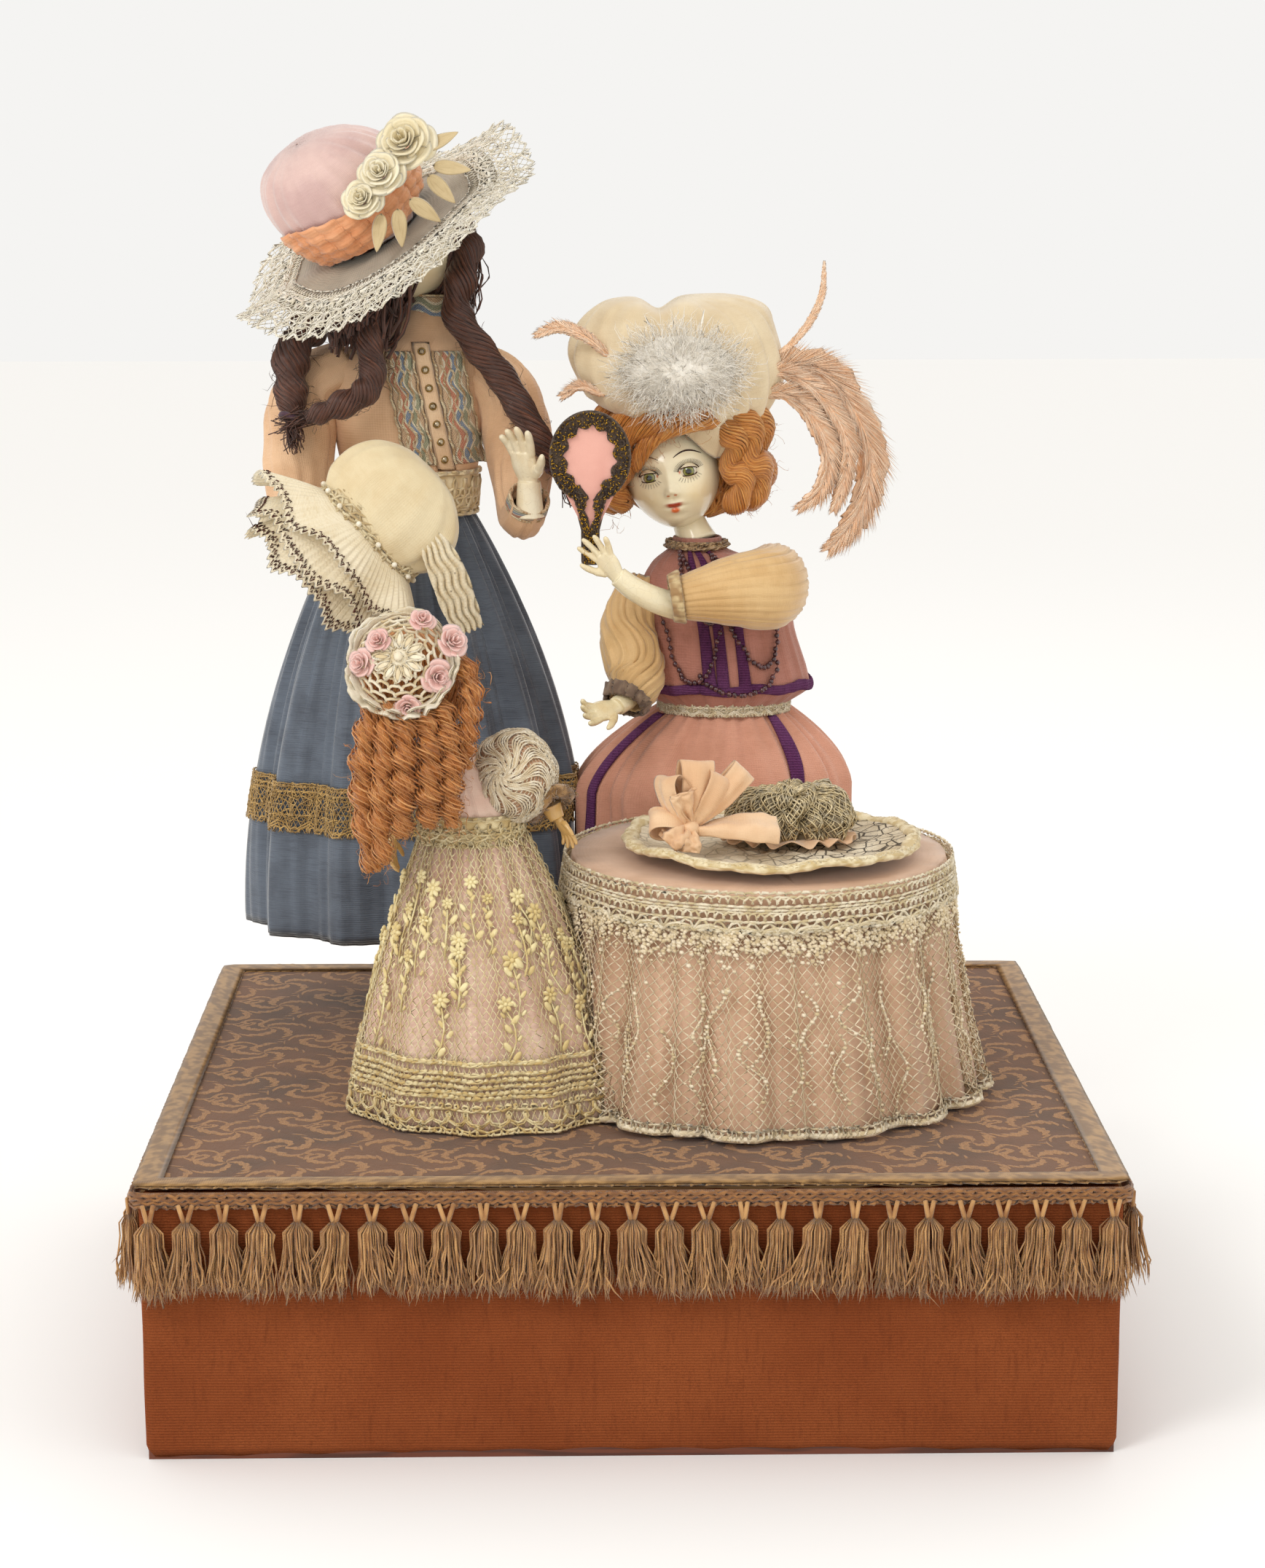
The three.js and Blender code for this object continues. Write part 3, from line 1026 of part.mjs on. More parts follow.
const bonnetAt = elbow
  .clone()
  .addScaledVector(forearmWay, girlForearm.long * 1.15)
  .add(V(0, -bonnet.tuck, bonnet.tuck));

const girlHeadCentre = V(girl.spindleX + girlHead.lean, girlY - girlHead.halfY * 0.1, girlCollar + girlHead.above);
const girlHeadAt = (grow) =>
  egg(girlHeadCentre, girlHead.halfX + grow, girlHead.halfY + grow, girlHead.halfZ + grow, faceShares, girlHead.tilt);

function leftForearm(grow) {
  const start = V(cuff.x, cuff.y + girlBody.wristSleeve * 0.4, cuff.z - girlBody.wristSleeve * 0.35);
  const wrist = V(cuff.x + girlForearm.radius * 0.2, cuff.y - girlForearm.radius * 0.6, cuff.z + girlForearm.radius * 2);
  const arm = limb(start, wrist, girlForearm.radius * 0.9, handSize.wrist, grow);
  if (grow) return arm;
  return join(arm, hand(wrist, V(-0.35, -0.15, 1), V(-0.9, -0.4, -0.1)));
}

// Seated lady on her stool
const ladyCollar = ladyWaist + jacket.high;
const ladyRodTop = ladyWaist + jacket.high * 0.4;
const ladyHeadCentre = V(lady.spindleX + ladyHead.lean, lady.spindleY, ladyCollar + ladyHead.above);
const ladyHeadAt = (grow) =>
  egg(ladyHeadCentre, ladyHead.halfX + grow, ladyHead.halfY + grow, ladyHead.halfZ + grow, faceShares, ladyHead.tilt);
const ladyShoulder = V(lady.x + jacket.chestHalfX * 0.82, lady.spindleY, ladyWaist + jacket.high * 0.72);
const waistX = lady.x + ladySkirt.waistHalfX * 0.2;

function seatedLady() {
  const spindleBore = (low, high) => upBore(lady.spindleX, lady.spindleY, low, high, spindle);
  const rodBore = (low, high) => upBore(lady.rodX, lady.spindleY, low, high, rod.radius);
  const seatX = (lady.spindleX + lady.rodX) / 2;
  const stoolProfile = (grow) =>
    [
      [0, -grow],
      [stool.foot + grow, -grow],
      [stool.foot + grow, stool.seatThick + grow],
      [stool.radius * 0.75 + grow, stool.seatThick * 2 + grow],
      [stool.radius * 0.75 + grow, stool.high - stool.seatThick - grow],
      [stool.radius + grow, stool.high - stool.seatThick - grow],
      [stool.radius + grow, stool.high + grow],
      [0, stool.high + grow],
    ].map(([radius, level]) => new THREE.Vector2(radius, level));
  const stoolSolid = (grow) =>
    solid(new THREE.LatheGeometry(stoolProfile(grow), sides.round).rotateX(Math.PI / 2).translate(seatX, lady.spindleY, standing));
  add("stool", cut(stoolSolid(0), spindleBore(0, ladyWaist), rodBore(0, ladyWaist)), 0x7a5636, 0.6);

  const lapRings = skirtRings({
    x: lady.x,
    y: lady.y,
    waistX: lady.x,
    low: standing,
    high: ladyHemTop,
    hemHalfX: ladySkirt.hemHalfX,
    hemHalfY: ladySkirt.hemHalfY,
    waistHalfX: ladySkirt.hemHalfX * 0.98,
    waistHalfY: ladySkirt.hemHalfY * 0.98,
    power: 1,
    folds: 12,
    fold: ladySkirt.fold,
    levels: 2,
    count: 36,
  });
  const upperRings = skirtRings({
    x: lady.x,
    y: lady.y,
    waistX,
    low: ladyHemTop,
    high: ladyWaist,
    hemHalfX: ladySkirt.hemHalfX * 0.98,
    hemHalfY: ladySkirt.hemHalfY * 0.98,
    waistHalfX: ladySkirt.waistHalfX,
    waistHalfY: ladySkirt.waistHalfY,
    power: 1.7,
    folds: 12,
    fold: ladySkirt.fold,
    levels: 3,
    count: 36,
  });
  const skirt = loft([...lapRings.slice(0, -1), ...upperRings]);
  const clear = [stoolSolid(seatGap), spindleBore(0, ladyCollar), rodBore(0, ladyCollar)];
  add("lady_skirt", cut(skirt, ...clear), 0xc98f77, 0.75);

  // Jacket, with the ball that the raised arm turns on
  const low = ladyWaist + seatGap;
  const shares = [
    [0, 0.76, 0.8, 0],
    [0.1, 1.1, 1.02, 0],
    [0.2, 1.12, 1.04, 0.05],
    [0.45, 1, 1, 0.2],
    [0.68, 0.98, 0.88, 0.4],
    [0.84, 0.7, 0.66, 0.7],
    [0.93, 0.36, 0.44, 1],
    [1, 0.29, 0.4, 1],
  ];
  const rings = (grow) =>
    shares.map(([level, wide, deep, lean]) =>
      oval(
        mix(waistX, lady.spindleX, lean),
        lady.spindleY,
        low + level * (jacket.high - seatGap),
        wide * jacket.chestHalfX + grow,
        deep * jacket.chestHalfY + grow,
        sides.round,
      ),
    );
  const ball = solid(new THREE.SphereGeometry(jacket.ball, 10, 6)).translate(ladyShoulder.toArray());
  const rodClear = ladyRodTop + overrun * 2;
  const body = cut(join(loft(rings(0)), ball), spindleBore(0, ladyCollar + overrun), rodBore(0, rodClear));
  add("lady_jacket", body, 0xb57f72, 0.8);

  const neckLow = ladyCollar + seatGap;
  const c = ladyHeadCentre;
  const neck = bar(V(lady.spindleX, lady.spindleY, neckLow), V(lady.spindleX, lady.spindleY, c.z), ladyHead.neck, sides.round);
  add("lady_head", join(ladyHeadAt(0), neck, headSpindle(lady.spindleX, lady.spindleY, neckLow + stub, -1)), 0xf0e6c8, 0.3);

  // Short curled hair with a fringe, open in front of the face
  const hairCentre = c.clone().add(V(ladyHair.shiftX, ladyHead.halfY * 0.25, ladyHair.rise));
  const hairBody = (grow) =>
    egg(hairCentre, ladyHair.halfX + grow, ladyHair.halfY + grow, ladyHair.halfZ + grow, roundShares, ladyHead.tilt, 14);
  const faceWindow = block(
    V(c.x - ladyHead.halfX * 0.95, c.y - ladyHair.halfY * 2, c.z - ladyHair.halfZ * 2),
    V(c.x + ladyHead.halfX * 0.95, c.y - ladyHead.halfY * 0.15, c.z + ladyHair.window),
  );
  const neckClear = bore(V(lady.spindleX, c.y, 0), V(lady.spindleX, c.y, c.z), ladyHead.neck * 1.4, seatGap, sides.round);
  add("lady_hair", cut(hairBody(0), ladyHeadAt(seatGap), faceWindow, neckClear), 0xb8642c, 0.5);

  // Draped hat in two soft lobes
  const hatBase = V(c.x + ladyHat.shiftX, c.y + ladyHead.halfY * 0.2, c.z + ladyHat.rise);
  const hatShares = [
    [0, 0.62, 0.62],
    [0.16, 0.9, 0.88],
    [0.42, 1, 1],
    [0.7, 0.92, 0.94],
    [0.9, 0.66, 0.7],
    [1, 0.25, 0.3],
  ];
  const lobes = (angle) => 1 - 0.07 * Math.cos(2 * angle) ** 2 + 0.03 * Math.cos(7 * angle);
  const hatRings = (grow) =>
    hatShares.map(([level, wide, deep]) =>
      oval(
        hatBase.x + level * ladyHat.shiftX,
        hatBase.y,
        hatBase.z + level * ladyHat.high,
        wide * ladyHat.halfX + grow,
        deep * ladyHat.halfY + grow,
        sides.hat,
        lobes,
      ),
    );
  add("lady_hat", cut(loft(hatRings(0)), hairBody(seatGap), ladyHeadAt(seatGap)), 0xd8c0a4, 0.9);

  // Ostrich plume: rises from the hat's right side, arches over and droops
  const root = V(hatBase.x + ladyHat.halfX * plume.seatShare, hatBase.y, hatBase.z + ladyHat.high * 0.4);
  const plumeSolid = sweep({
    path: [
      root,
      root.clone().add(V(plume.arch * 0.45, 0, -plume.drop * 0.02)),
      root.clone().add(V(plume.arch, 0, -plume.drop * 0.25)),
      root.clone().add(V(plume.arch * 1.05, 0, -plume.drop * 0.6)),
      root.clone().add(V(plume.arch * 0.7, 0, -plume.drop)),
    ],
    wide: [plume.halfWide * 0.4, plume.halfWide, plume.halfWide, plume.halfWide * 0.9, plume.halfWide * 0.2],
    thick: [plume.halfThick, plume.halfThick, plume.halfThick, plume.halfThick, plume.halfThick * 0.5],
    steps: 12,
    count: 8,
    up: V(0, 1, 0),
  });
  const hatRoom = loft(hatRings(seatGap));
  add("lady_plume", cut(plumeSolid, hatRoom), 0xe0bfa6, 0.95);

  // Raised left arm: a pleated sleeve that turns on the shoulder ball, a forearm and the mirror
  const s = ladyShoulder;
  const way = V(0.6, -0.8, 0);
  const start = s.clone().addScaledVector(way, jacket.ball + runGap);
  const R = ladySleeve.radius;
  const front = lady.spindleY - jacket.chestHalfY - R - runGap * 6;
  const sleevePath = [
    start,
    V(s.x + R * 0.62, mix(s.y, front, 0.6), s.z + R * 0.1),
    V(s.x - R * 0.2, front, s.z + R * 0.2),
    V(s.x - ladySleeve.span * 0.55, front - R * 0.3, s.z + R * 0.2),
    V(s.x - ladySleeve.span, front - R * 0.3, s.z),
  ];
  const high = ladySleeve.high;
  const sleeve = sweep({
    path: sleevePath,
    wide: [ladySleeve.start * 0.7, R * 0.9, R, R * 0.95, ladySleeve.cuff],
    thick: [ladySleeve.start * 0.7, high * 0.9, high, high * 0.9, ladySleeve.cuff],
    steps: 9,
    count: 16,
    wave: (angle) => 1 - ladySleeve.pleat * Math.cos(8 * angle),
  });
  const sleeveClear = [loft(rings(ladySleeve.clear)), bore(s.clone().addScaledVector(way, -jacket.ball), s.clone().addScaledVector(way, jacket.ball), jacket.ball)];
  const wristStart = sleevePath[4].clone().add(V(ladySleeve.cuff, 0, 0));
  const wrist = V(s.x - ladySleeve.span - R * 1.45, front - R * 0.3, s.z + R * 0.6);
  const forearm = (grow) => limb(wristStart, wrist, girlForearm.radius, handSize.wrist, grow);
  add("lady_left_sleeve", cut(sleeve, forearm(seatGap), ...sleeveClear), 0xdcbf94, 0.8);
  const mirrorY = wrist.y + handSize.halfThick * 0.7 + seatGap + mirror.thick / 2;
  const leftHand = join(forearm(0), hand(wrist, V(-0.62, -0.1, 0.78), V(0.2, 1, 0.1), 0.9, 0.3, 0.1));
  const mirrorCentre = V(wrist.x - mirror.halfWide * 0.78, mirrorY, wrist.z + mirror.long * 1.15);
  const glass = new THREE.Shape();
  const arcEnd = Math.PI * 0.14;
  glass.absellipse(0, 0, mirror.halfWide, mirror.halfHigh, -arcEnd, Math.PI + arcEnd, false);
  glass.lineTo(-mirror.handle / 2, -mirror.taper);
  glass.lineTo(-mirror.handle / 2, -mirror.long);
  glass.lineTo(mirror.handle / 2, -mirror.long);
  glass.lineTo(mirror.handle / 2, -mirror.taper);
  const mirrorSolid = flat(glass, mirrorCentre.y - mirror.thick / 2, mirror.thick, 10).translate([mirrorCentre.x, 0, mirrorCentre.z]);
  add("hand_mirror", mirrorSolid, 0xe2a9a0, 0.8);
  add("lady_left_hand", cut(leftHand, mirrorClear(glass, mirrorCentre)), 0xf0e6c8, 0.3);

  // Right arm resting towards the lap
  const r2 = ladyRightSleeve.radius;
  const rightShoulder = V(lady.x - jacket.chestHalfX * 0.96, lady.spindleY, s.z + R * 0.1);
  const rightPath = [
    rightShoulder,
    rightShoulder.clone().add(V(-r2 * 0.5, -r2 * 0.9, -r2 * 1.9)),
    rightShoulder.clone().add(V(-r2 * 0.2, -r2 * 1.9, -r2 * 3.5)),
    rightShoulder.clone().add(V(-r2 * 0.6, -r2 * 2.5, -r2 * 4.4)),
  ];
  const rightSleeve = sweep({ path: rightPath, wide: [r2 * 0.8, r2, r2, ladyRightSleeve.cuff], count: 12, steps: 7, up: V(0, 1, 0) });
  const rightWrist = rightPath[3].clone().add(V(-r2 * 0.5, -r2 * 0.5, -r2 * 0.75));
  const rightForearm = (grow) =>
    limb(rightPath[3].clone().add(V(0, 0, r2 * 0.3)), rightWrist, handSize.wrist, handSize.wrist, grow);
  add("lady_right_sleeve", cut(rightSleeve, loft(rings(seatGap)), rightForearm(seatGap)), 0xdcbf94, 0.8);
  add("lady_right_hand", join(rightForearm(0), hand(rightWrist, V(-0.8, -0.5, 0.1), V(0.1, -0.4, 1), 0.85, 0.2, 0.5)), 0xf0e6c8, 0.3);
}

const mirrorClear = (shape, centre) =>
  flat(shape, centre.y - mirror.thick / 2 - seatGap, mirror.thick + 2 * seatGap, 10).translate([centre.x, 0, centre.z]);

// Child with her back to the viewer
const childTop = childWaist + childDress.bodice;
const childHeadCentre = V(child.spindleX + childHead.lean, child.y, childTop + childHead.above);
const childHeadAt = (grow) =>
  egg(childHeadCentre, childHead.halfX + grow, childHead.halfY + grow, childHead.halfZ + grow, roundShares, childHead.tilt);

function childPieces() {
  const spindleBore = (low, high) => upBore(child.spindleX, child.y, low, high, spindle);
  const legs = (grow) => bar(V(child.waistX, child.y, standing - grow), V(child.waistX, child.y, standing + childLegs.high + grow), childLegs.radius + grow, sides.round);
  add("child_stand", cut(legs(0), spindleBore(0, childWaist)), 0x7a5636, 0.6);

  const skirt = skirtRings({
    ...childDress,
    x: child.x,
    y: child.y,
    waistX: child.waistX,
    low: standing,
    high: childWaist,
    power: childPower,
    folds: 14,
    levels: 5,
    count: sides.dress,
  });
  const bodiceShares = [
    [0.4, 0.95, 0.95],
    [0.75, 0.9, 0.9],
    [0.95, 0.5, 0.6],
    [1, 0.4, 0.5],
  ];
  const bodice = bodiceShares.map(([level, wide, deep]) =>
    oval(
      mix(child.waistX, child.spindleX, level),
      child.y,
      childWaist + level * childDress.bodice,
      wide * childDress.waistHalfX,
      deep * childDress.waistHalfY,
      sides.dress,
    ),
  );
  const armLevel = childWaist + childDress.bodice * 0.62;
  const rightPuff = egg(V(rightPuffAt.x, rightPuffAt.y, rightPuffAt.z), puff.radius, puff.radius * 0.85, puff.high, roundShares, 0, 12);
  const leftPuff = egg(V(child.waistX - childDress.waistHalfX - puff.small * 0.6, child.y, armLevel), puff.small, puff.small, puff.small * 1.2, roundShares, 0, 12);
  const ball = solid(new THREE.SphereGeometry(puff.ball, 8, 6)).translate(childElbow.toArray());
  const clear = [legs(seatGap), spindleBore(0, childTop + overrun), childLeftArm(seatGap)];
  add("child_dress", cut(join(loft([...skirt, ...bodice]), rightPuff, leftPuff, ball), ...clear), 0xe0c79c, 0.85);
  add("child_left_hand", childLeftArm(0), 0xeadfc2, 0.35);

  const handStart = childElbow.clone().addScaledVector(childHandWay, puff.ball + runGap);
  const wrist = childElbow.clone().addScaledVector(childHandWay, puff.ball * 2.2);
  const arm = join(bar(handStart, wrist, childHand.radius), hand(wrist, childHandWay, V(0, -0.3, -1), childHand.scale, 0.3, 0.2));
  add("child_right_hand", arm, 0xeadfc2, 0.35);

  const c = childHeadCentre;
  const neckLow = childTop + seatGap;
  const neck = bar(V(child.spindleX, child.y, neckLow), c.clone(), childHead.neck, sides.round);
  const below = block(V(c.x - childHead.halfX * 2, c.y - childHead.halfX, 0), V(c.x + childHead.halfX * 2, c.y + childHead.halfX, neckLow));
  add("child_head", join(cut(join(childHeadAt(0), neck), below), headSpindle(child.spindleX, child.y, neckLow + stub, 1)), 0xeadfc2, 0.35);

  // Long curls down the back
  const hairTop = c.z - childHead.halfZ * childHair.startShare;
  const behind = c.y - childHead.halfY - childHair.halfY * 0.6;
  const curlShares = [
    [0, 0.62, 0.8, 0.2],
    [0.12, 0.92, 1, 0.15],
    [0.4, 1, 1.1, 0.1],
    [0.7, 0.95, 1, 0],
    [1, 0.8, 0.7, -0.3],
  ];
  const fall = loft(
    curlShares.map(([level, wide, deep, back]) =>
      oval(
        c.x + childHair.halfX * 0.05,
        behind - back * childHair.halfY,
        mix(hairTop - childHair.drop - childHead.halfZ * 0.2, hairTop, level),
        wide * childHair.halfX,
        deep * childHair.halfY,
        30,
        (angle) => 1 - 0.1 * (0.5 + 0.5 * Math.cos(childHair.curls * 2 * angle)),
      ),
    ),
  );
  const scalp = (grow) => egg(c.clone().add(V(0, -1, 0)), childHead.halfX * 1.12 + grow, childHead.halfY * 1.12 + grow, childHead.halfZ * 1.06 + grow, roundShares, childHead.tilt);
  const face = block(V(c.x - childHead.halfX * 2, c.y + childHead.halfY * 0.35, 0), V(c.x + childHead.halfX * 2, c.y + childHead.halfY * 3, c.z + childHead.halfZ * 0.5));
  const scalpLow = block(V(c.x - childHead.halfX * 2, c.y - childHead.halfY * 0.8, 0), V(c.x + childHead.halfX * 2, c.y + childHead.halfY * 2, c.z - childHead.halfZ * 0.55));
  const hair = join(cut(scalp(0), face, scalpLow), cut(fall, childHeadAt(seatGap)));
  add("child_hair", cut(hair, childHeadAt(seatGap)), 0xc07c44, 0.6);

  // Crochet cap over the back of the head, with a ruffled edge
  const capCentre = c.clone().add(V(-1, -childHead.halfY * 0.35, childCap.rise));
  const capShell = egg(capCentre, childCap.radius, childCap.radius, childCap.radius, roundShares, 0, 16);
  const ruffle = sweep({
    path: [capCentre.clone().add(V(0, -childHead.halfY * 0.2, 0)), capCentre.clone().add(V(0, -childHead.halfY * 0.6, 0))],
    wide: [childCap.radius + childCap.ruffle * 0.3, childCap.radius + childCap.ruffle],
    steps: 1,
    count: 36,
    wave: (angle) => 1 + 0.04 * Math.cos(angle * 12),
  });
  const openSide = block(
    V(c.x - childCap.radius * 2, capCentre.y - childHead.halfY * 0.1, 0),
    V(c.x + childCap.radius * 2, c.y + childCap.radius * 3, c.z + childCap.radius * 3),
  );
  const capClear = [openSide, scalp(seatGap), childHeadAt(seatGap)];
  const fallClear = block(
    V(c.x - childCap.radius * 2, c.y - childCap.radius * 3, 0),
    V(c.x + childCap.radius * 2, c.y + childCap.radius * 3, hairTop + seatGap),
  );
  add("child_cap", cut(join(capShell, ruffle), ...capClear, fallClear), 0xeadfc6, 0.9);
}

const rightPuffAt = V(child.waistX + childDress.waistHalfX * 0.95, child.y - childDress.waistHalfY * 0.2, childWaist + childDress.bodice * 0.64);
const childElbow = V(rightPuffAt.x + puff.radius * 0.72, rightPuffAt.y, rightPuffAt.z - puff.high * 0.62);
const childHandWay = V(0.55, 0.1, -0.6).normalize();
function childLeftArm(grow) {
  const from = V(child.waistX - childDress.waistHalfX - puff.small * 0.7, child.y, childWaist + childDress.bodice * 0.35);
  const to = from.clone().add(V(-puff.small * 0.35, -puff.small * 0.3, -puff.small * 1.3));
  const arm = limb(from, to, childHand.radius, childHand.radius, grow);
  return grow ? arm : join(arm, hand(to, V(-0.35, -0.3, -1), V(0.3, -1, 0), childHand.scale));
}

// Table: a board on a turned post, its gathered cloth, and a flat hat with a bow and an ornament
function tablePieces() {
  const top = standing + table.high;
  const profile = (grow) =>
    [
      [0, -grow],
      [table.foot + grow, -grow],
      [table.foot + grow, table.footThick + grow],
      [table.post + grow, table.footThick * 2 + grow],
      [table.post * 0.8 + grow, table.high * 0.5],
      [table.post + grow, table.high - table.board - grow],
      [table.radius + grow, table.high - table.board - grow],
      [table.radius + grow, table.high + grow],
      [0, table.high + grow],
    ].map(([radius, level]) => new THREE.Vector2(radius, level));
  const turned = (grow) =>
    solid(new THREE.LatheGeometry(profile(grow), sides.fine).rotateX(Math.PI / 2).translate(table.x, table.y, standing));
  add("table", turned(0), 0x8a6040, 0.5);

  const clothTop = top + tableCloth.thick + seatGap;
  const levelShares = [0, 0.25, 0.5, 0.78, 0.96, 1];
  const rings = levelShares.map((t) => {
    const flare = Math.pow(1 - t, 1.5);
    const radius = mix(tableCloth.top, tableCloth.hem, flare) - (t === 1 ? tableCloth.thick : 0);
    const fold = t < 0.9 ? tableCloth.fold * (1 - t * 0.8) : 0;
    const wave = (angle) => 1 - (fold / radius) * (0.5 + 0.5 * Math.cos(17 * angle + 1.7 * Math.sin(2 * angle)));
    return oval(table.x, table.y, mix(standing, clothTop, t), radius, radius, sides.cloth, wave);
  });
  rings.slice(0, 4).forEach((points) => {
    pressOut(points, childGirth(pressGap));
    pressOut(points, ladyGirth(pressGap));
  });
  add("table_cloth", cut(loft(rings), turned(seatGap)), 0xe3bfa6, 0.8);

  const hatLow = clothTop + seatGap;
  const hatProfile = [
    [0, 0],
    [plateHat.flat, 0],
    [plateHat.radius * 0.96, plateHat.rimRise],
    [plateHat.radius, plateHat.rimRise + plateHat.thick * 0.5],
    [plateHat.radius * 0.96, plateHat.rimRise + plateHat.thick],
    [plateHat.flat, plateHat.thick],
    [0, plateHat.thick],
  ].map(([radius, level]) => new THREE.Vector2(radius, level));
  const plateSolid = new THREE.LatheGeometry(hatProfile, sides.fine).rotateX(Math.PI / 2);
  add("plate_hat", solid(plateSolid.translate(plateHat.x, plateHat.y, hatLow)), 0xcfc8b8, 0.85);

  const deck = hatLow + plateHat.thick + seatGap;
  const knot = V(bow.x + bow.long * 0.4, bow.y + bow.long * 0.4, deck + bow.high * 0.45);
  const loops = [
    { way: V(-1, -0.15, 0.25), long: 1 },
    { way: V(-0.35, 0.3, 1), long: 1 },
    { way: V(0.9, -0.1, 0.2), long: 1.1 },
    { way: V(-0.5, -0.7, 0.1), long: 0.8 },
    { way: V(0.5, 0.6, 0.7), long: 0.9 },
  ].map(({ way, long }) =>
    sweep({
      path: [knot.clone(), knot.clone().addScaledVector(way, bow.long * long * 0.5), knot.clone().addScaledVector(way, bow.long * long)],
      wide: [bow.halfWide * 0.35, bow.halfWide * 0.9, bow.halfWide],
      thick: [bow.halfThick, bow.halfThick * 1.6, bow.halfThick * 0.7],
      steps: 3,
      count: 6,
      up: V(0.2, 1, 0.3),
    }),
  );
  const deckCut = block(
    V(plateHat.x - plateHat.radius, plateHat.y - plateHat.radius, stage),
    V(plateHat.x + plateHat.radius, plateHat.y + plateHat.radius, deck),
  );
  const rimClear = solid(
    new THREE.LatheGeometry(
      [
        [0, -overrun],
        [plateHat.flat, -overrun],
        [plateHat.radius, -overrun],
        [plateHat.radius + seatGap, plateHat.rimRise + plateHat.thick + seatGap],
        [plateHat.radius * 0.95, plateHat.rimRise + plateHat.thick + seatGap],
        [plateHat.flat * 0.98, plateHat.thick + seatGap],
        [0, plateHat.thick + seatGap],
      ].map(([radius, level]) => new THREE.Vector2(radius, level)),
      sides.fine,
    )
      .rotateX(Math.PI / 2)
      .translate(plateHat.x, plateHat.y, hatLow),
  );
  const knotBall = solid(new THREE.SphereGeometry(bow.halfWide * 0.5, 8, 6)).translate(knot.toArray());
  const stalk = bar(V(knot.x, knot.y, deck), knot, bow.halfWide * 0.4, sides.small);
  add("hat_bow", cut(join(knotBall, stalk, ...loops), deckCut, rimClear), 0xe6bf95, 0.7);

  const ornamentSolid = egg(
    V(ornament.x, ornament.y, deck + ornament.high * 0.36),
    ornament.halfX,
    ornament.halfY,
    ornament.high / 2,
    roundShares,
    0.12,
    18,
  );
  add("hat_ornament", cut(ornamentSolid, deckCut, rimClear), 0x8d8674, 0.5, 0.4);
}

boxPieces();
tasselFringe();
movementPlates();
goingTrain();
leverWork();
startStop();
standingGirl();
seatedLady();
childPieces();
tablePieces();

export default group;
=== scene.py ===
"""Dresses the automaton doll tableau: velvet box, fringe, silk, net, crochet, hair and composition faces."""

import logging
import math
from dataclasses import dataclass
from enum import Enum

import bpy
import bmesh
import numpy as np
from mathutils import Matrix, Vector


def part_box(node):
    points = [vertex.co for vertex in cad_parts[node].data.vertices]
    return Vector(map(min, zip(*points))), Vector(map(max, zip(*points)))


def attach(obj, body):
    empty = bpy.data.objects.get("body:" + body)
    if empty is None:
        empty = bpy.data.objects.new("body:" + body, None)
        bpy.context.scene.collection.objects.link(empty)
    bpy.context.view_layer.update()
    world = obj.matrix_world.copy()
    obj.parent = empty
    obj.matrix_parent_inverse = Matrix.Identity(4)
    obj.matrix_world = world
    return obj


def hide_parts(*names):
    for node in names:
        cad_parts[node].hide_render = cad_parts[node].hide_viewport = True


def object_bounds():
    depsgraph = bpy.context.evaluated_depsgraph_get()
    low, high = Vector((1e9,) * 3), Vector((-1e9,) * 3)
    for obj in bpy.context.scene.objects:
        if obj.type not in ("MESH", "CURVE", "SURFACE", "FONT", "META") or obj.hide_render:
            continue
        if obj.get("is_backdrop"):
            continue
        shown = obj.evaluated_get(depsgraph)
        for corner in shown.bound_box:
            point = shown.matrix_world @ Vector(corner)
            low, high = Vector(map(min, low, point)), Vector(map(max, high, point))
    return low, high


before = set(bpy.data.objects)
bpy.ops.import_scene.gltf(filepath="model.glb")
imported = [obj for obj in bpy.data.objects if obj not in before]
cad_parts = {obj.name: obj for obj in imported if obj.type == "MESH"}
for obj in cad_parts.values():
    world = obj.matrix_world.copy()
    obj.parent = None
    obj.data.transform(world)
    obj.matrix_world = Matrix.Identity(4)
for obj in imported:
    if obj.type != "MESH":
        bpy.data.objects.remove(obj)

Array = np.ndarray
LOG = logging.getLogger("doll_tableau")
# One millimetre in the frame's metres.
MM = 0.001
# Points of a mesh that lie closer than this many metres become one.
WELD = 2e-6
# A mesh of more faces than HEAVY keeps this share of them, so that the object stays near 2 million triangles.
HEAVY = 4000
KEPT_SHARE = 0.52
TAU = 2 * math.pi


# Curves and surfaces, all in millimetres
@dataclass
class Form:
    """Points of a surface, its four-cornered faces and the cloth coordinates of each corner."""

    points: Array
    quads: Array
    uv: Array


def joined(*forms: Form) -> Form:
    """Several forms as one: the face numbers of each are raised by the points before it.

    Args:
        forms: The forms to put together.
    Returns:
        One form.
    """
    starts = np.cumsum([0] + [len(f.points) for f in forms[:-1]])
    return Form(
        np.concatenate([f.points for f in forms]),
        np.concatenate([f.quads + s for f, s in zip(forms, starts)]),
        np.concatenate([f.uv for f in forms]),
    )


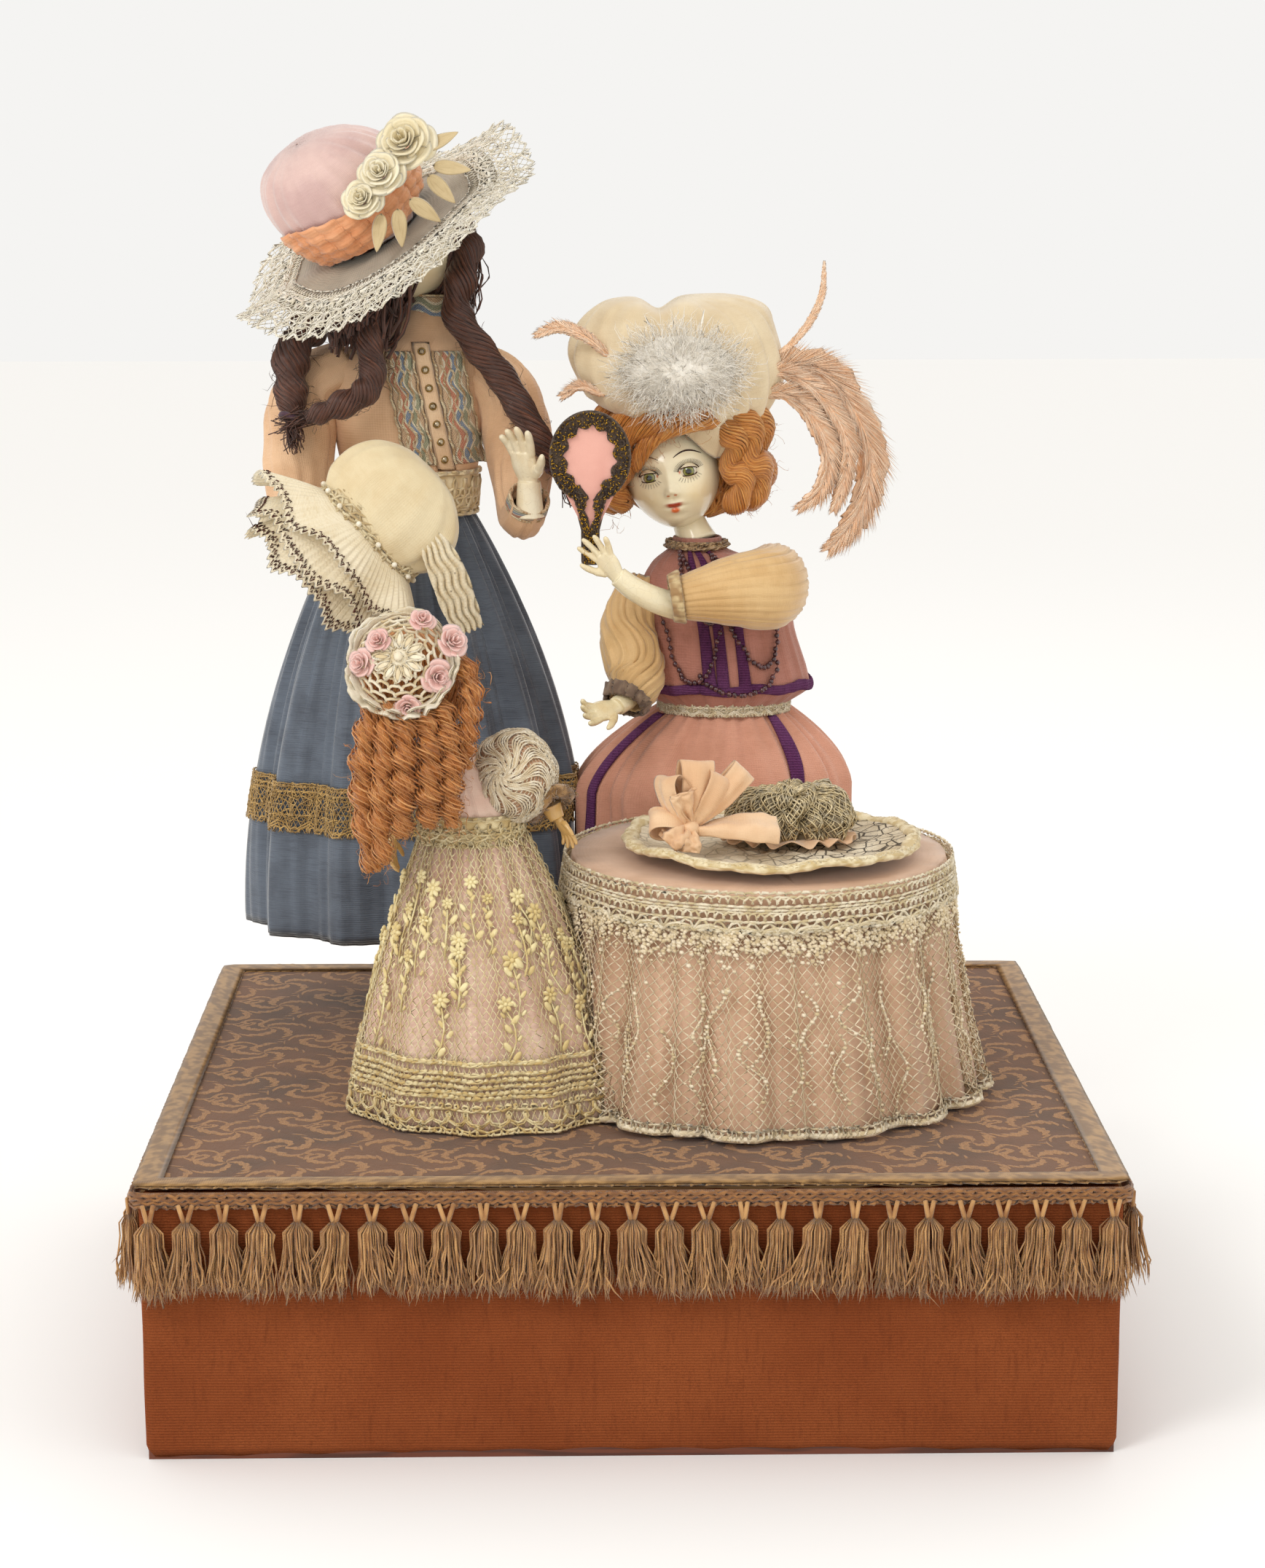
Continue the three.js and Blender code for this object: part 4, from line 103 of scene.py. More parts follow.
def grids(points: Array, ring: bool = False, loop: bool = False, size: tuple[float, float] = (1, 1)) -> Form:
    """Faces between neighbouring points of one or many grids: (u, v), (u+1, v), (u+1, v+1), (u, v+1).

    Args:
        points: Shape (u, v, 3) or (grid, u, v, 3).
        ring: Whether the last u row meets the first.
        loop: Whether the last v column meets the first.
        size: Cloth length along u and v, for the pattern.
    Returns:
        The form of all grids.
    """
    many = points if points.ndim == 4 else points[None]
    count, rows, cols = many.shape[:3]
    i, j = np.meshgrid(np.arange(rows - (not ring)), np.arange(cols - (not loop)), indexing="ij")
    steps = [(0, 0), (1, 0), (1, 1), (0, 1)]
    quad = np.stack([((i + a) % rows) * cols + (j + b) % cols for a, b in steps], -1).reshape(-1, 4)
    span = (rows - (not ring), cols - (not loop))
    uv = np.stack(
        [np.stack([(i + a) / span[0] * size[0], (j + b) / span[1] * size[1]], -1) for a, b in steps], -2
    ).reshape(-1, 4, 2)
    shift = np.arange(count)
    quads = (quad[None] + (shift * rows * cols)[:, None, None]).reshape(-1, 4)
    uvs = uv[None] + np.stack([shift * 3.7, shift * 7.3], -1)[:, None, None]
    return Form(many.reshape(-1, 3), quads, uvs.reshape(-1, 4, 2))


def unit(vectors: Array) -> Array:
    """Each vector divided by its own length."""
    return vectors / np.maximum(np.linalg.norm(vectors, axis=-1, keepdims=True), 1e-9)


def xyz(x: Array | float, y: Array | float, z: Array | float) -> Array:
    """Points from three coordinates, each spread to their common shape."""
    return np.stack(np.broadcast_arrays(x, y, z), -1).astype(float)


def slopes(lines: Array, closed: bool = False) -> Array:
    """Direction of a line at each point: the point after less the point before, at length one.

    Args:
        lines: Shape (line, point, 3).
        closed: Whether each line runs round to its start.
    Returns:
        Unit directions of the same shape.
    """
    if closed:
        return unit(np.roll(lines, -1, 1) - np.roll(lines, 1, 1))
    return unit(np.gradient(lines, axis=1))


def framed(lines: Array, closed: bool = False, lean: Array | None = None) -> tuple[Array, Array]:
    """Two directions across each line. The second one stays near the direction that the line keeps clear of.

    Args:
        lines: Shape (line, point, 3).
        closed: Whether each line runs round to its start.
        lean: A direction to stay near, or None for the least one of each line.
    Returns:
        The side and the up directions, each of the shape of lines.
    """
    ahead = slopes(lines, closed)
    if lean is None:
        lean = np.linalg.eigh(np.einsum("pni,pnj->pij", ahead, ahead))[1][:, None, :, 0]
    side = unit(np.cross(ahead, np.broadcast_to(lean, ahead.shape)))
    return side, np.cross(side, ahead)


def tubes(
    lines: Array,
    radius: float | Array,
    sides: int = 5,
    flat: float = 1.0,
    closed: bool = False,
    lean: Array | None = None,
) -> Form:
    """Round or flattened cords: about each point of a line, side * cos(a) + up * flat * sin(a), times the
    radius.

    Args:
        lines: Shape (line, point, 3) or (point, 3).
        radius: One radius, or one for each point.
        sides: Corners of the section.
        flat: Thickness along the up direction, as a share of the width.
        closed: Whether each line runs round to its start.
        lean: Up direction, or None.
    Returns:
        The cords as closed surfaces.
    """
    lines = lines if lines.ndim == 3 else lines[None]
    if float(np.max(radius)) < 0.62:
        sides = 3
    side, up = framed(lines, closed, lean)
    reach = np.broadcast_to(np.asarray(radius, float), lines.shape[:2]).copy()
    if not closed:
        lines, side, up = (np.concatenate([a[:, :1], a, a[:, -1:]], 1) for a in (lines, side, up))
        none = np.zeros((len(reach), 1))
        reach = np.concatenate([none, reach, none], 1)
    turn = np.arange(sides) * TAU / sides
    across = side[:, :, None] * np.cos(turn)[:, None] + up[:, :, None] * (flat * np.sin(turn))[:, None]
    points = lines[:, :, None] + across * reach[..., None, None]
    length = np.linalg.norm(np.diff(lines, axis=1), axis=-1).sum(-1).mean()
    return grids(points, ring=closed, loop=True, size=(length, TAU * float(reach.max())))


def normals(points: Array, ring: bool = False) -> Array:
    """Direction straight out of a grid: the step along u crossed with the step along v.

    Args:
        points: Shape (u, v, 3).
        ring: Whether the last u row meets the first.
    Returns:
        Unit directions of the same shape.
    """
    along = np.roll(points, -1, 0) - np.roll(points, 1, 0) if ring else np.gradient(points, axis=0)
    return unit(np.cross(along, np.gradient(points, axis=1)))


def spared(points: Array, ring: bool = False) -> Array:
    """Every second line of a dense grid, with its edges kept, so that the object stays light.

    Args:
        points: Shape (u, v, 3).
        ring: Whether the grid runs round in u.
    Returns:
        The lighter grid.
    """
    if len(points) >= 150:
        points = points[::2] if ring else np.concatenate([points[:-1:2], points[-1:]])
    if points.shape[1] >= 18:
        points = np.concatenate([points[:, :-1:2], points[:, -1:]], 1)
    return points


def cloth(
    points: Array, thick: float, ring: bool = False, size: tuple[float, float] | None = None,
    whole: bool = False
) -> Form:
    """A thin closed sheet: the grid moved half the thickness out and in along its normals, meeting at its
    edges.

    Args:
        points: Middle of the sheet, shape (u, v, 3).
        thick: Thickness.
        ring: Whether the sheet runs round in u.
        size: Cloth length along u and v, or None to measure it.
        whole: Whether every line of the grid is kept.
    Returns:
        The closed sheet.
    """
    if not whole:
        points = spared(points, ring)
    if size is None:
        size = (
            float(np.linalg.norm(np.diff(points, axis=0), axis=-1).sum(0).mean()),
            float(np.linalg.norm(np.diff(points, axis=1), axis=-1).sum(1).mean()),
        )
    half = np.full(points.shape[:2], thick / 2)
    half[:, [0, -1]] = 0
    if not ring:
        half[[0, -1]] = 0
    out = normals(points, ring) * half[..., None]
    front, back = grids(points + out, ring, size=size), grids(points - out, ring, size=size)
    back.quads = back.quads[:, ::-1]
    back.uv = back.uv[:, ::-1]
    return joined(front, back)


def area(points: Array, ring: bool = False) -> float:
    """Area of a grid in square metres: half the crossed diagonals of each face, added up.

    Args:
        points: Shape (u, v, 3), in millimetres.
        ring: Whether the last u row meets the first.
    Returns:
        The area.
    """
    p = np.concatenate([points, points[:1]]) if ring else points
    cross = np.cross(p[1:, 1:] - p[:-1, :-1], p[:-1, 1:] - p[1:, :-1])
    return float(np.linalg.norm(cross, axis=-1).sum() / 2) * MM * MM


def spline(through: Array | list, count: int, closed: bool = False) -> Array:
    """A smooth line through points: between two of them a cubic whose slope at each is half the step
    between its neighbours.

    Args:
        through: Points, shape (point, value).
        count: Number of points of the line.
        closed: Whether it runs round to its start.
    Returns:
        The line, shape (count, value).
    """
    p = np.asarray(through, float)
    p = (
        np.concatenate([p[-1:], p, p[:2]]) if closed
        else np.concatenate([2 * p[:1] - p[1:2], p, 2 * p[-1:] - p[-2:-1]])
    )
    t = np.linspace(0, len(p) - 3, count, endpoint=not closed)
    k = np.minimum(t.astype(int), len(p) - 4)
    f = (t - k)[:, None]
    a, b, c, d = p[k], p[k + 1], p[k + 2], p[k + 3]
    return 0.5 * (2 * b + (c - a) * f + (2 * a - 5 * b + 4 * c - d) * f**2 + (3 * b - a - 3 * c + d) * f**3)


def even(line: Array, count: int, closed: bool = False) -> Array:
    """The same line with its points at equal steps of its own length.

    Args:
        line: Shape (point, 3).
        count: Number of points wanted.
        closed: Whether it runs round to its start.
    Returns:
        Shape (count, 3).
    """
    p = np.concatenate([line, line[:1]]) if closed else line
    run = np.concatenate([[0], np.cumsum(np.linalg.norm(np.diff(p, axis=0), axis=1))])
    at = np.linspace(0, run[-1], count, endpoint=not closed)
    return np.stack([np.interp(at, run, p[:, k]) for k in range(p.shape[1])], -1)


def swept(
    through: Array | list,
    wide: list[float],
    thick: list[float] | None = None,
    rows: int = 40,
    sides: int = 40,
    lean: tuple[float, float, float] = (0, 0, 1),
) -> Array:
    """A limb: ovals whose half sizes change smoothly along a smooth path.

    Args:
        through: Points of the path.
        wide: Half width across the lean direction at each point.
        thick: Half thickness along the lean direction, or None for round.
        rows: Ovals along the path.
        sides: Points of each oval.
        lean: Direction that the thickness stays near.
    Returns:
        Shape (rows, sides, 3).
    """
    sizes = np.stack([wide, wide if thick is None else thick], -1)
    run = spline(np.concatenate([np.asarray(through, float), sizes], 1), rows)
    line = run[None, :, :3]
    side, up = framed(line, lean=np.asarray(lean, float))
    turn = np.arange(sides) * TAU / sides
    across = side[0][:, None] * np.cos(turn)[:, None] * run[:, 3, None, None]
    return line[0][:, None] + across + up[0][:, None] * np.sin(turn)[:, None] * run[:, 4, None, None]


def sampled(points: Array, u: Array, v: Array, lift: float | Array = 0.0, ring: bool = False) -> Array:
    """Places on a grid at shares u and v of its two directions, raised along its normal: the four corners
    in proportion.

    Args:
        points: Shape (rows, cols, 3).
        u: Share along the rows.
        v: Share along the columns.
        lift: Height above the surface.
        ring: Whether the rows run round.
    Returns:
        Shape of u, with 3 values.
    """
    n = normals(points, ring)
    if ring:
        points, n = np.concatenate([points, points[:1]]), np.concatenate([n, n[:1]])
    rows, cols = points.shape[:2]
    x = (u % 1.0 if ring else np.clip(u, 0, 1)) * (rows - 1)
    y = np.clip(v, 0, 1) * (cols - 1)
    i, j = np.minimum(x.astype(int), rows - 2), np.minimum(y.astype(int), cols - 2)
    f, g = (x - i)[..., None], (y - j)[..., None]

    def between(a: Array) -> Array:
        """Values of a between its grid points."""
        return (
            (a[i, j] * (1 - f) + a[i + 1, j] * f) * (1 - g)
            + (a[i, j + 1] * (1 - f) + a[i + 1, j + 1] * f) * g
        )

    return between(points) + between(n) * np.asarray(lift)[..., None]


def wound(lines: Array, strands: int, radius: float | Array, turns: float, rows: int) -> Array:
    """Strands wound round lines: each strand at an angle that grows evenly along its line.

    Args:
        lines: Shape (line, point, 3).
        strands: Strands round each line.
        radius: Distance of a strand from its line, one or one for each row.
        turns: Full turns over the length.
        rows: Points of each strand.
    Returns:
        Shape (line * strands, rows, 3).
    """
    at = np.linspace(0, lines.shape[1] - 1, rows)
    i = np.minimum(at.astype(int), lines.shape[1] - 2)
    f = (at - i)[None, :, None]
    line = lines[:, i] * (1 - f) + lines[:, i + 1] * f
    side, up = framed(line)
    angle = np.linspace(0, turns * TAU, rows)[None] + (np.arange(strands) * TAU / strands)[:, None]
    reach = np.broadcast_to(radius, (rows,))[None, None, :, None]
    out = side[:, None] * np.cos(angle)[None, ..., None] + up[:, None] * np.sin(angle)[None, ..., None]
    return (line[:, None] + out * reach).reshape(-1, rows, 3)


def egg(centre: Array | list, halves: Array | list, rows: int = 40, sides: int = 64) -> Array:
    """A round body: x, y and z are the half sizes times the place on a unit ball, poles up and down.

    Args:
        centre: Middle.
        halves: Half sizes in x, y and z.
        rows: Points from pole to pole.
        sides: Points round it.
    Returns:
        Shape (sides, rows, 3).
    """
    a, b = np.meshgrid(
        np.arange(sides) * TAU / sides, np.linspace(-math.pi / 2, math.pi / 2, rows), indexing="ij"
    )
    ball = xyz(np.cos(a) * np.cos(b), np.sin(a) * np.cos(b), np.sin(b))
    return ball * np.asarray(halves, float) + np.asarray(centre, float)


def copies(form: Form, places: Array, turns: Array, sizes: Array | float = 1.0) -> Form:
    """One small form set down many times: each copy is sized, turned and then moved.

    Args:
        form: The form to repeat.
        places: Shape (copy, 3).
        turns: Turning matrices, shape (copy, 3, 3).
        sizes: One size, or one for each copy.
    Returns:
        All copies as one form.
    """
    count = len(places)
    big = np.broadcast_to(np.asarray(sizes, float), (count,))[:, None, None]
    points = np.einsum("kij,nj->kni", turns, form.points) * big + places[:, None]
    quads = form.quads[None] + (np.arange(count) * len(form.points))[:, None, None]
    uv = form.uv[None] + (np.arange(count) * 5.3)[:, None, None, None]
    return Form(
        points.reshape(-1, 3), quads.reshape(-1, 4),
        np.broadcast_to(uv, (count, *form.uv.shape)).reshape(-1, 4, 2)
    )


def facing(out: Array, up: Array | tuple = (0, 0, 1)) -> Array:
    """Turning matrices whose third axis points out, whose second is as near up as it can be.

    Args:
        out: Directions, shape (copy, 3).
        up: Direction to stay near.
    Returns:
        Shape (copy, 3, 3).
    """
    z = unit(np.asarray(out, float))
    x = unit(np.cross(np.broadcast_to(np.asarray(up, float), z.shape), z) + 1e-6)
    return xyz(x, np.cross(z, x), z)


def round_box(half_x: float, half_y: float, corner: float, count: int) -> Array:
    """Outline of a box with round corners, at equal steps, run the way that has its inside on the left.

    Args:
        half_x: Half length.
        half_y: Half depth.
        corner: Corner radius.
        count: Number of points.
    Returns:
        Shape (count, 3), at height 0.
    """
    turn = np.linspace(0, math.pi / 2, 7)
    signs = [(1, -1), (1, 1), (-1, 1), (-1, -1)]
    arcs = [
        np.stack(
            [
                sx * (half_x - corner) + corner * np.cos(turn + k * math.pi / 2 - math.pi / 2),
                sy * (half_y - corner) + corner * np.sin(turn + k * math.pi / 2 - math.pi / 2),
                0 * turn,
            ],
            -1,
        )
        for k, (sx, sy) in enumerate(signs)
    ]
    return even(np.concatenate(arcs), count, closed=True)


def crochet(
    sheet: Array, rows: list[tuple[float, float, float, float, float]], repeats: int, thread: float,
    ring: bool = True, steps: int = 8, lift: float = 0.6, sides: int = 4,
) -> Form:
    """Crochet on a band: threads that run along it, each place v + a * cos(w), u - b * sin(w), with w the
    repeats times the share.

    Args:
        sheet: The band, u along and v across, shape (rows, cols, 3).
        rows: For each thread its middle v, swing a, loop b in repeats, beats per repeat and phase in turns.
        repeats: Pattern repeats along the band.
        thread: Thread radius.
        ring: Whether the band runs round.
        steps: Points for each beat.
        lift: Height above the band.
        sides: Corners of the thread.
    Returns:
        The threads as closed surfaces.
    """
    made = []
    for middle, swing, loop, beats, phase in rows:
        count = max(int(repeats * max(beats, 1) * steps * 0.7), 24)
        share = np.linspace(0, 1, count, endpoint=not ring)
        angle = TAU * (share * repeats * beats + phase)
        u = share - loop / repeats * np.sin(angle)
        line = sampled(
            sheet, u, middle + swing * np.cos(angle), lift + 0.4 * thread * np.sin(2 * angle), ring
        )
        made.append(tubes(line[None], thread, sides, closed=ring))
    return joined(*made)


def ruffle(
    path: Array, out: Array, deep: float, wave: float, folds: int, rows: int = 6, closed: bool = True,
    rise: Array | tuple = (0, 0, 1), grow: float = 1.0,
) -> Array:
    """A gathered strip: from the path it reaches out, and its wave up and down grows with the reach.

    Args:
        path: Line that it is sewn to, shape (point, 3).
        out: Direction that it reaches, shape (point, 3).
        deep: Its depth.
        wave: Height of the wave at the free edge.
        folds: Waves over the whole length.
        rows: Points across.
        closed: Whether the path runs round.
        rise: Direction of the wave.
        grow: Power with which the wave grows.
    Returns:
        Shape (point, rows, 3).
    """
    share = np.linspace(0, 1, len(path), endpoint=not closed)
    t = np.linspace(0, 1, rows)
    swing = (
        np.sin(share * folds * TAU + 0.9 * np.sin(share * TAU * (folds // 3 + 1)))[:, None] * t**grow * wave
    )
    reach = deep * t * (1 + 0.05 * np.cos(share * folds * TAU * 2)[:, None])
    return path[:, None] + out[:, None] * reach[..., None] + np.asarray(rise, float) * swing[..., None]


def copied(node: str) -> Form:
    """The CAD solid of a node as a form, in millimetres.

    Args:
        node: Name of the node.
    Returns:
        Its triangles, each written as a quad with its last corner doubled.
    """
    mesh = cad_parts[node].data
    co = np.zeros(len(mesh.vertices) * 3, np.float32)
    mesh.vertices.foreach_get("co", co)
    mesh.calc_loop_triangles()
    tri = np.zeros(len(mesh.loop_triangles) * 3, np.int32)
    mesh.loop_triangles.foreach_get("vertices", tri)
    tri = tri.reshape(-1, 3)
    return Form(co.reshape(-1, 3) / MM, tri[:, [0, 1, 2, 2]], np.zeros((len(tri), 4, 2)))


def box_of(node: str) -> tuple[Array, Array]:
    """Lowest and highest corner of a CAD node in millimetres."""
    low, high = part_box(node)
    return np.array(low) / MM, np.array(high) / MM


def placed(
    name: str, form: Form, finish: bpy.types.Material, body: str,
    stands_for: tuple[str, ...] = (), smooth: bool = True, paint: Array | None = None, whole: bool = False,
) -> bpy.types.Object:
    """Puts a form into the scene: doubles merged, faces outwards, dressed, and riding on its CAD body.

    Args:
        name: Piece name.
        form: Its surface in millimetres.
        finish: Its material.
        body: CAD body that it moves with.
        stands_for: CAD nodes that it replaces.
        smooth: Whether its faces are shaded smooth.
        paint: Colours of its points, or None.
        whole: Whether every face is kept on a heavy piece.
    Returns:
        The object.
    """
    mesh = bpy.data.meshes.new(name)
    points, quads = np.asarray(form.points, np.float32) * MM, np.asarray(form.quads, np.int32)
    single = quads[:, 2] == quads[:, 3]
    sizes = np.where(single, 3, 4)
    keep = np.ones(quads.shape, bool)
    keep[single, 3] = False
    mesh.vertices.add(len(points))
    mesh.vertices.foreach_set("co", points.ravel())
    mesh.loops.add(int(sizes.sum()))
    mesh.loops.foreach_set("vertex_index", quads[keep])
    mesh.polygons.add(len(quads))
    mesh.polygons.foreach_set("loop_start", np.concatenate([[0], np.cumsum(sizes)[:-1]]).astype(np.int32))
    mesh.polygons.foreach_set("loop_total", sizes.astype(np.int32))
    mesh.uv_layers.new(name="cloth").data.foreach_set("uv", np.asarray(form.uv, np.float32)[keep].ravel())
    if paint is not None:
        mesh.attributes.new("paint", "FLOAT_COLOR", "POINT").data.foreach_set(
            "color", np.asarray(paint, np.float32).ravel()
        )
    mesh.update(calc_edges=True)
    work = bmesh.new()
    work.from_mesh(mesh)
    bmesh.ops.remove_doubles(work, verts=work.verts, dist=WELD)
    bmesh.ops.recalc_face_normals(work, faces=work.faces)
    work.to_mesh(mesh)
    work.free()
    mesh.polygons.foreach_set("use_smooth", np.full(len(mesh.polygons), smooth))
    mesh.materials.append(finish)
    mesh.update()
    piece = bpy.data.objects.new(name, mesh)
    bpy.context.scene.collection.objects.link(piece)
    if len(mesh.polygons) > HEAVY and paint is None and not whole:
        light = piece.modifiers.new("light", "DECIMATE")
        light.ratio = KEPT_SHARE
        applied(piece)
    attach(piece, body)
    if stands_for:
        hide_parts(*stands_for)
    LOG.info("%s: %d faces on %s", name, len(piece.data.polygons), body)
    return piece


def softened(piece: bpy.types.Object, voxel: float, smooth: int = 6, shrink: float = 0.0) -> None:
    """Rounds a copied CAD solid: remeshed at the voxel size, relaxed, and drawn in or out along its normals.

    Args:
        piece: The piece to round.
        voxel: Cell of the new mesh.
        smooth: Rounds of relaxing.
        shrink: Distance that the surface moves out, negative for in.
    """
    remesh = piece.modifiers.new("even", "REMESH")
    remesh.mode, remesh.voxel_size, remesh.use_smooth_shade = "VOXEL", voxel * MM, True
    relax = piece.modifiers.new("relax", "SMOOTH")
    relax.factor, relax.iterations = 0.6, smooth
    if shrink:
        swell = piece.modifiers.new("swell", "DISPLACE")
        swell.mid_level, swell.strength = 0.0, shrink * MM
    applied(piece)


def applied(piece: bpy.types.Object) -> None:
    """Makes the piece's modifiers part of its mesh.

    Args:
        piece: The object.
    """
    bpy.context.view_layer.update()
    shown = piece.evaluated_get(bpy.context.evaluated_depsgraph_get())
    mesh = bpy.data.meshes.new_from_object(shown)
    piece.modifiers.clear()
    piece.data = mesh
    mesh.polygons.foreach_set("use_smooth", np.ones(len(mesh.polygons), bool))


# Finishes
def tone(code: str) -> tuple[float, float, float, float]:
    """The linear colour of a screen colour such as c08040: each part to the power that a screen applies."""
    parts = [int(code[i : i + 2], 16) / 255 for i in (0, 2, 4)]
    return tuple(p / 12.92 if p <= 0.04045 else ((p + 0.055) / 1.055) ** 2.4 for p in parts) + (1.0,)


Socket = bpy.types.NodeSocket


class Tree:
    """The nodes of one material, added call by call."""

    def __init__(self, name: str) -> None:
        """Starts a material of that name with its main shader."""
        self.material = bpy.data.materials.new(name)
        self.material.use_nodes = True
        self.tree = self.material.node_tree
        self.shader = self.tree.nodes["Principled BSDF"]

    def node(self, kind: str, inputs: dict | None = None, **settings: object) -> bpy.types.Node:
        """Adds a node.

        Args:
            kind: Node type without its ShaderNode prefix.
            inputs: Values or outputs for its inputs, by name or number.
            settings: Its own settings.
        Returns:
            The node.
        """
        made = self.tree.nodes.new("ShaderNode" + kind)
        for key, value in settings.items():
            setattr(made, key, value)
        for key, value in (inputs or {}).items():
            self.feed(made.inputs[key], value)
        return made

    def feed(self, socket: Socket, value: object) -> None:
        """Joins an output to the socket, or writes a plain value on it."""
        if isinstance(value, Socket):
            self.tree.links.new(value, socket)
        else:
            socket.default_value = value

    def where(self, scale: tuple = (1, 1, 1), turn: tuple = (0, 0, 0), on_cloth: bool = False) -> Socket:
        """Coordinates in millimetres: the object's own, or those that run along the cloth.

        Args:
            scale: Factor on each coordinate.
            turn: Turn about each axis.
            on_cloth: Whether they follow the cloth.
        Returns:
            The coordinates.
        """
        if on_cloth:
            source, size = self.node("UVMap", uv_map="cloth").outputs[0], scale
        else:
            source, size = self.node("TexCoord").outputs["Object"], tuple(1000 * s for s in scale)
        return self.node("Mapping", {"Vector": source, "Scale": size, "Rotation": turn}).outputs[0]

    def noise(
        self, where: Socket, scale: float, detail: float = 3.0, rough: float = 0.55, bend: float = 0.0
    ) -> Socket:
        """Cloudy noise from 0 to 1 with that many features per millimetre."""
        inputs = {"Vector": where, "Scale": scale, "Detail": detail, "Roughness": rough, "Distortion": bend}
        return self.node("TexNoise", inputs).outputs[0]

    def cells(self, where: Socket, scale: float, feature: str = "F1") -> Socket:
        """Distance within cells of that number per millimetre."""
        return self.node("TexVoronoi", {"Vector": where, "Scale": scale}, feature=feature).outputs["Distance"]

    def math(self, kind: str, a: Socket | float, b: Socket | float = 0.0, c: Socket | float = 0.0) -> Socket:
        """One sum on up to three values."""
        return self.node("Math", {0: a, 1: b, 2: c}, operation=kind).outputs[0]

    def parts(self, where: Socket) -> tuple[Socket, Socket, Socket]:
        """The three coordinates one by one."""
        split = self.node("SeparateXYZ", {0: where})
        return split.outputs[0], split.outputs[1], split.outputs[2]

    def step(self, value: Socket, low: float, high: float) -> Socket:
        """0 below low, 1 above high, smooth between."""
        inputs = {"Value": value, "From Min": low, "From Max": high}
        return self.node("MapRange", inputs, interpolation_type="SMOOTHSTEP").outputs[0]

    def ramp(self, value: Socket, *stops: tuple[float, tuple]) -> Socket:
        """A colour read from a row of colours at the value's place.

        Args:
            value: Where along the row, from 0 to 1.
            stops: Places and their colours.
        Returns:
            The colour output.
        """
        made = self.node("ValToRGB", {0: value})
        row = made.color_ramp.elements
        while len(row) < len(stops):
            row.new(0.5)
        for element, (place, colour) in zip(row, stops):
            element.position, element.color = place, colour
        return made.outputs[0]

    def blend(self, share: Socket | float, a: object, b: object, kind: str = "MIX") -> Socket:
        """Colour a turned towards colour b by the share."""
        made = self.node("Mix", {0: share, 6: a, 7: b}, data_type="RGBA", blend_type=kind)
        return made.outputs[2]

    def bump(self, height: Socket, deep: float, strength: float = 1.0, under: Socket | None = None) -> Socket:
        """Surface direction tilted by a height, deep in millimetres from 0 to 1."""
        inputs = {"Height": height, "Strength": strength, "Distance": deep * MM}
        if under is not None:
            inputs["Normal"] = under
        return self.node("Bump", inputs).outputs[0]

    def dressed(self, **sockets: object) -> bpy.types.Material:
        """Feeds the main shader, with underscores for the blanks of its socket names, and gives the
        material.
        """
        for name, value in sockets.items():
            self.feed(self.shader.inputs[name.replace("_", " ")], value)
        return self.material


class Weave(Enum):
    """How threads cross: share of the bump of the lengthwise and the crosswise ones, and threads per
    millimetre.
    """

    PLAIN = (1.0, 1.0, 2.4)
    TAFFETA = (0.25, 1.0, 2.0)
    SILK = (0.6, 0.3, 3.2)
    CANVAS = (1.0, 1.0, 1.3)
    FELT = (0.0, 0.0, 1.0)


@dataclass(frozen=True)
class Fabric:
    """Woven stuff: colour, a second colour (on most cloths the darker tone, laid as painted shade), weave,
    sheen, roughness and slub.
    """

    name: str
    colour: str
    second: str
    weave: Weave = Weave.PLAIN
    sheen: float = 0.3
    rough: float = 0.75
    slub: float = 0.35
    stripe: str = ""
    stripe_mm: float = 8.0

    def made(self) -> bpy.types.Material:
        """Threads are the sines of both cloth coordinates; clouds and slubs turn the colour towards the
        second one, which paints shade where it is the darker tone.
        """
        t = Tree(self.name)
        across, along, count = self.weave.value
        at = t.where(on_cloth=True)
        u, v, _ = t.parts(at)
        warp = t.math("SINE", t.math("MULTIPLY", u, TAU * count / 2))
        weft = t.math("SINE", t.math("MULTIPLY", v, TAU * count / 2))
        threads = t.math("ADD", t.math("MULTIPLY", warp, across), t.math("MULTIPLY", weft, along))
        around = t.where()
        cloud = t.noise(around, 0.045, 4.0)
        slubs = t.noise(t.where((0.12, 2.2, 1), on_cloth=True), 1.0, 2.0)
        fuzz = t.noise(around, 3.2, 2.0)
        # share of the second colour: slow clouds and slubs of painted shade on most cloths
        share = t.math(
            "ADD", t.math("MULTIPLY", t.step(cloud, 0.35, 0.68), 0.55),
            t.math("MULTIPLY", t.step(slubs, 0.45, 0.7), self.slub)
        )
        colour = t.blend(share, tone(self.colour), tone(self.second))
        if self.stripe:
            band = t.math("SINE", t.math("MULTIPLY", v, TAU / self.stripe_mm))
            edge = t.math("MULTIPLY", t.math("SINE", t.math("MULTIPLY", u, TAU / 5.0)), 0.35)
            colour = t.blend(t.step(t.math("ADD", band, edge), 0.55, 0.75), colour, tone(self.stripe))
        shade = t.blend(
            t.math("MULTIPLY", t.step(threads, -1.6, 0.6), -0.16), colour, tone(self.second), "MULTIPLY"
        )
        colour = t.blend(t.math("MULTIPLY", t.step(fuzz, 0.4, 0.75), 0.18), shade, tone(self.second))
        height = t.math("ADD", t.math("MULTIPLY", threads, 0.5), fuzz)
        return t.dressed(
            Base_Color=colour, Roughness=self.rough, Normal=t.bump(height, 0.09, 0.8),
            Sheen_Weight=self.sheen, Sheen_Roughness=0.4, Specular_IOR_Level=0.3,
        )


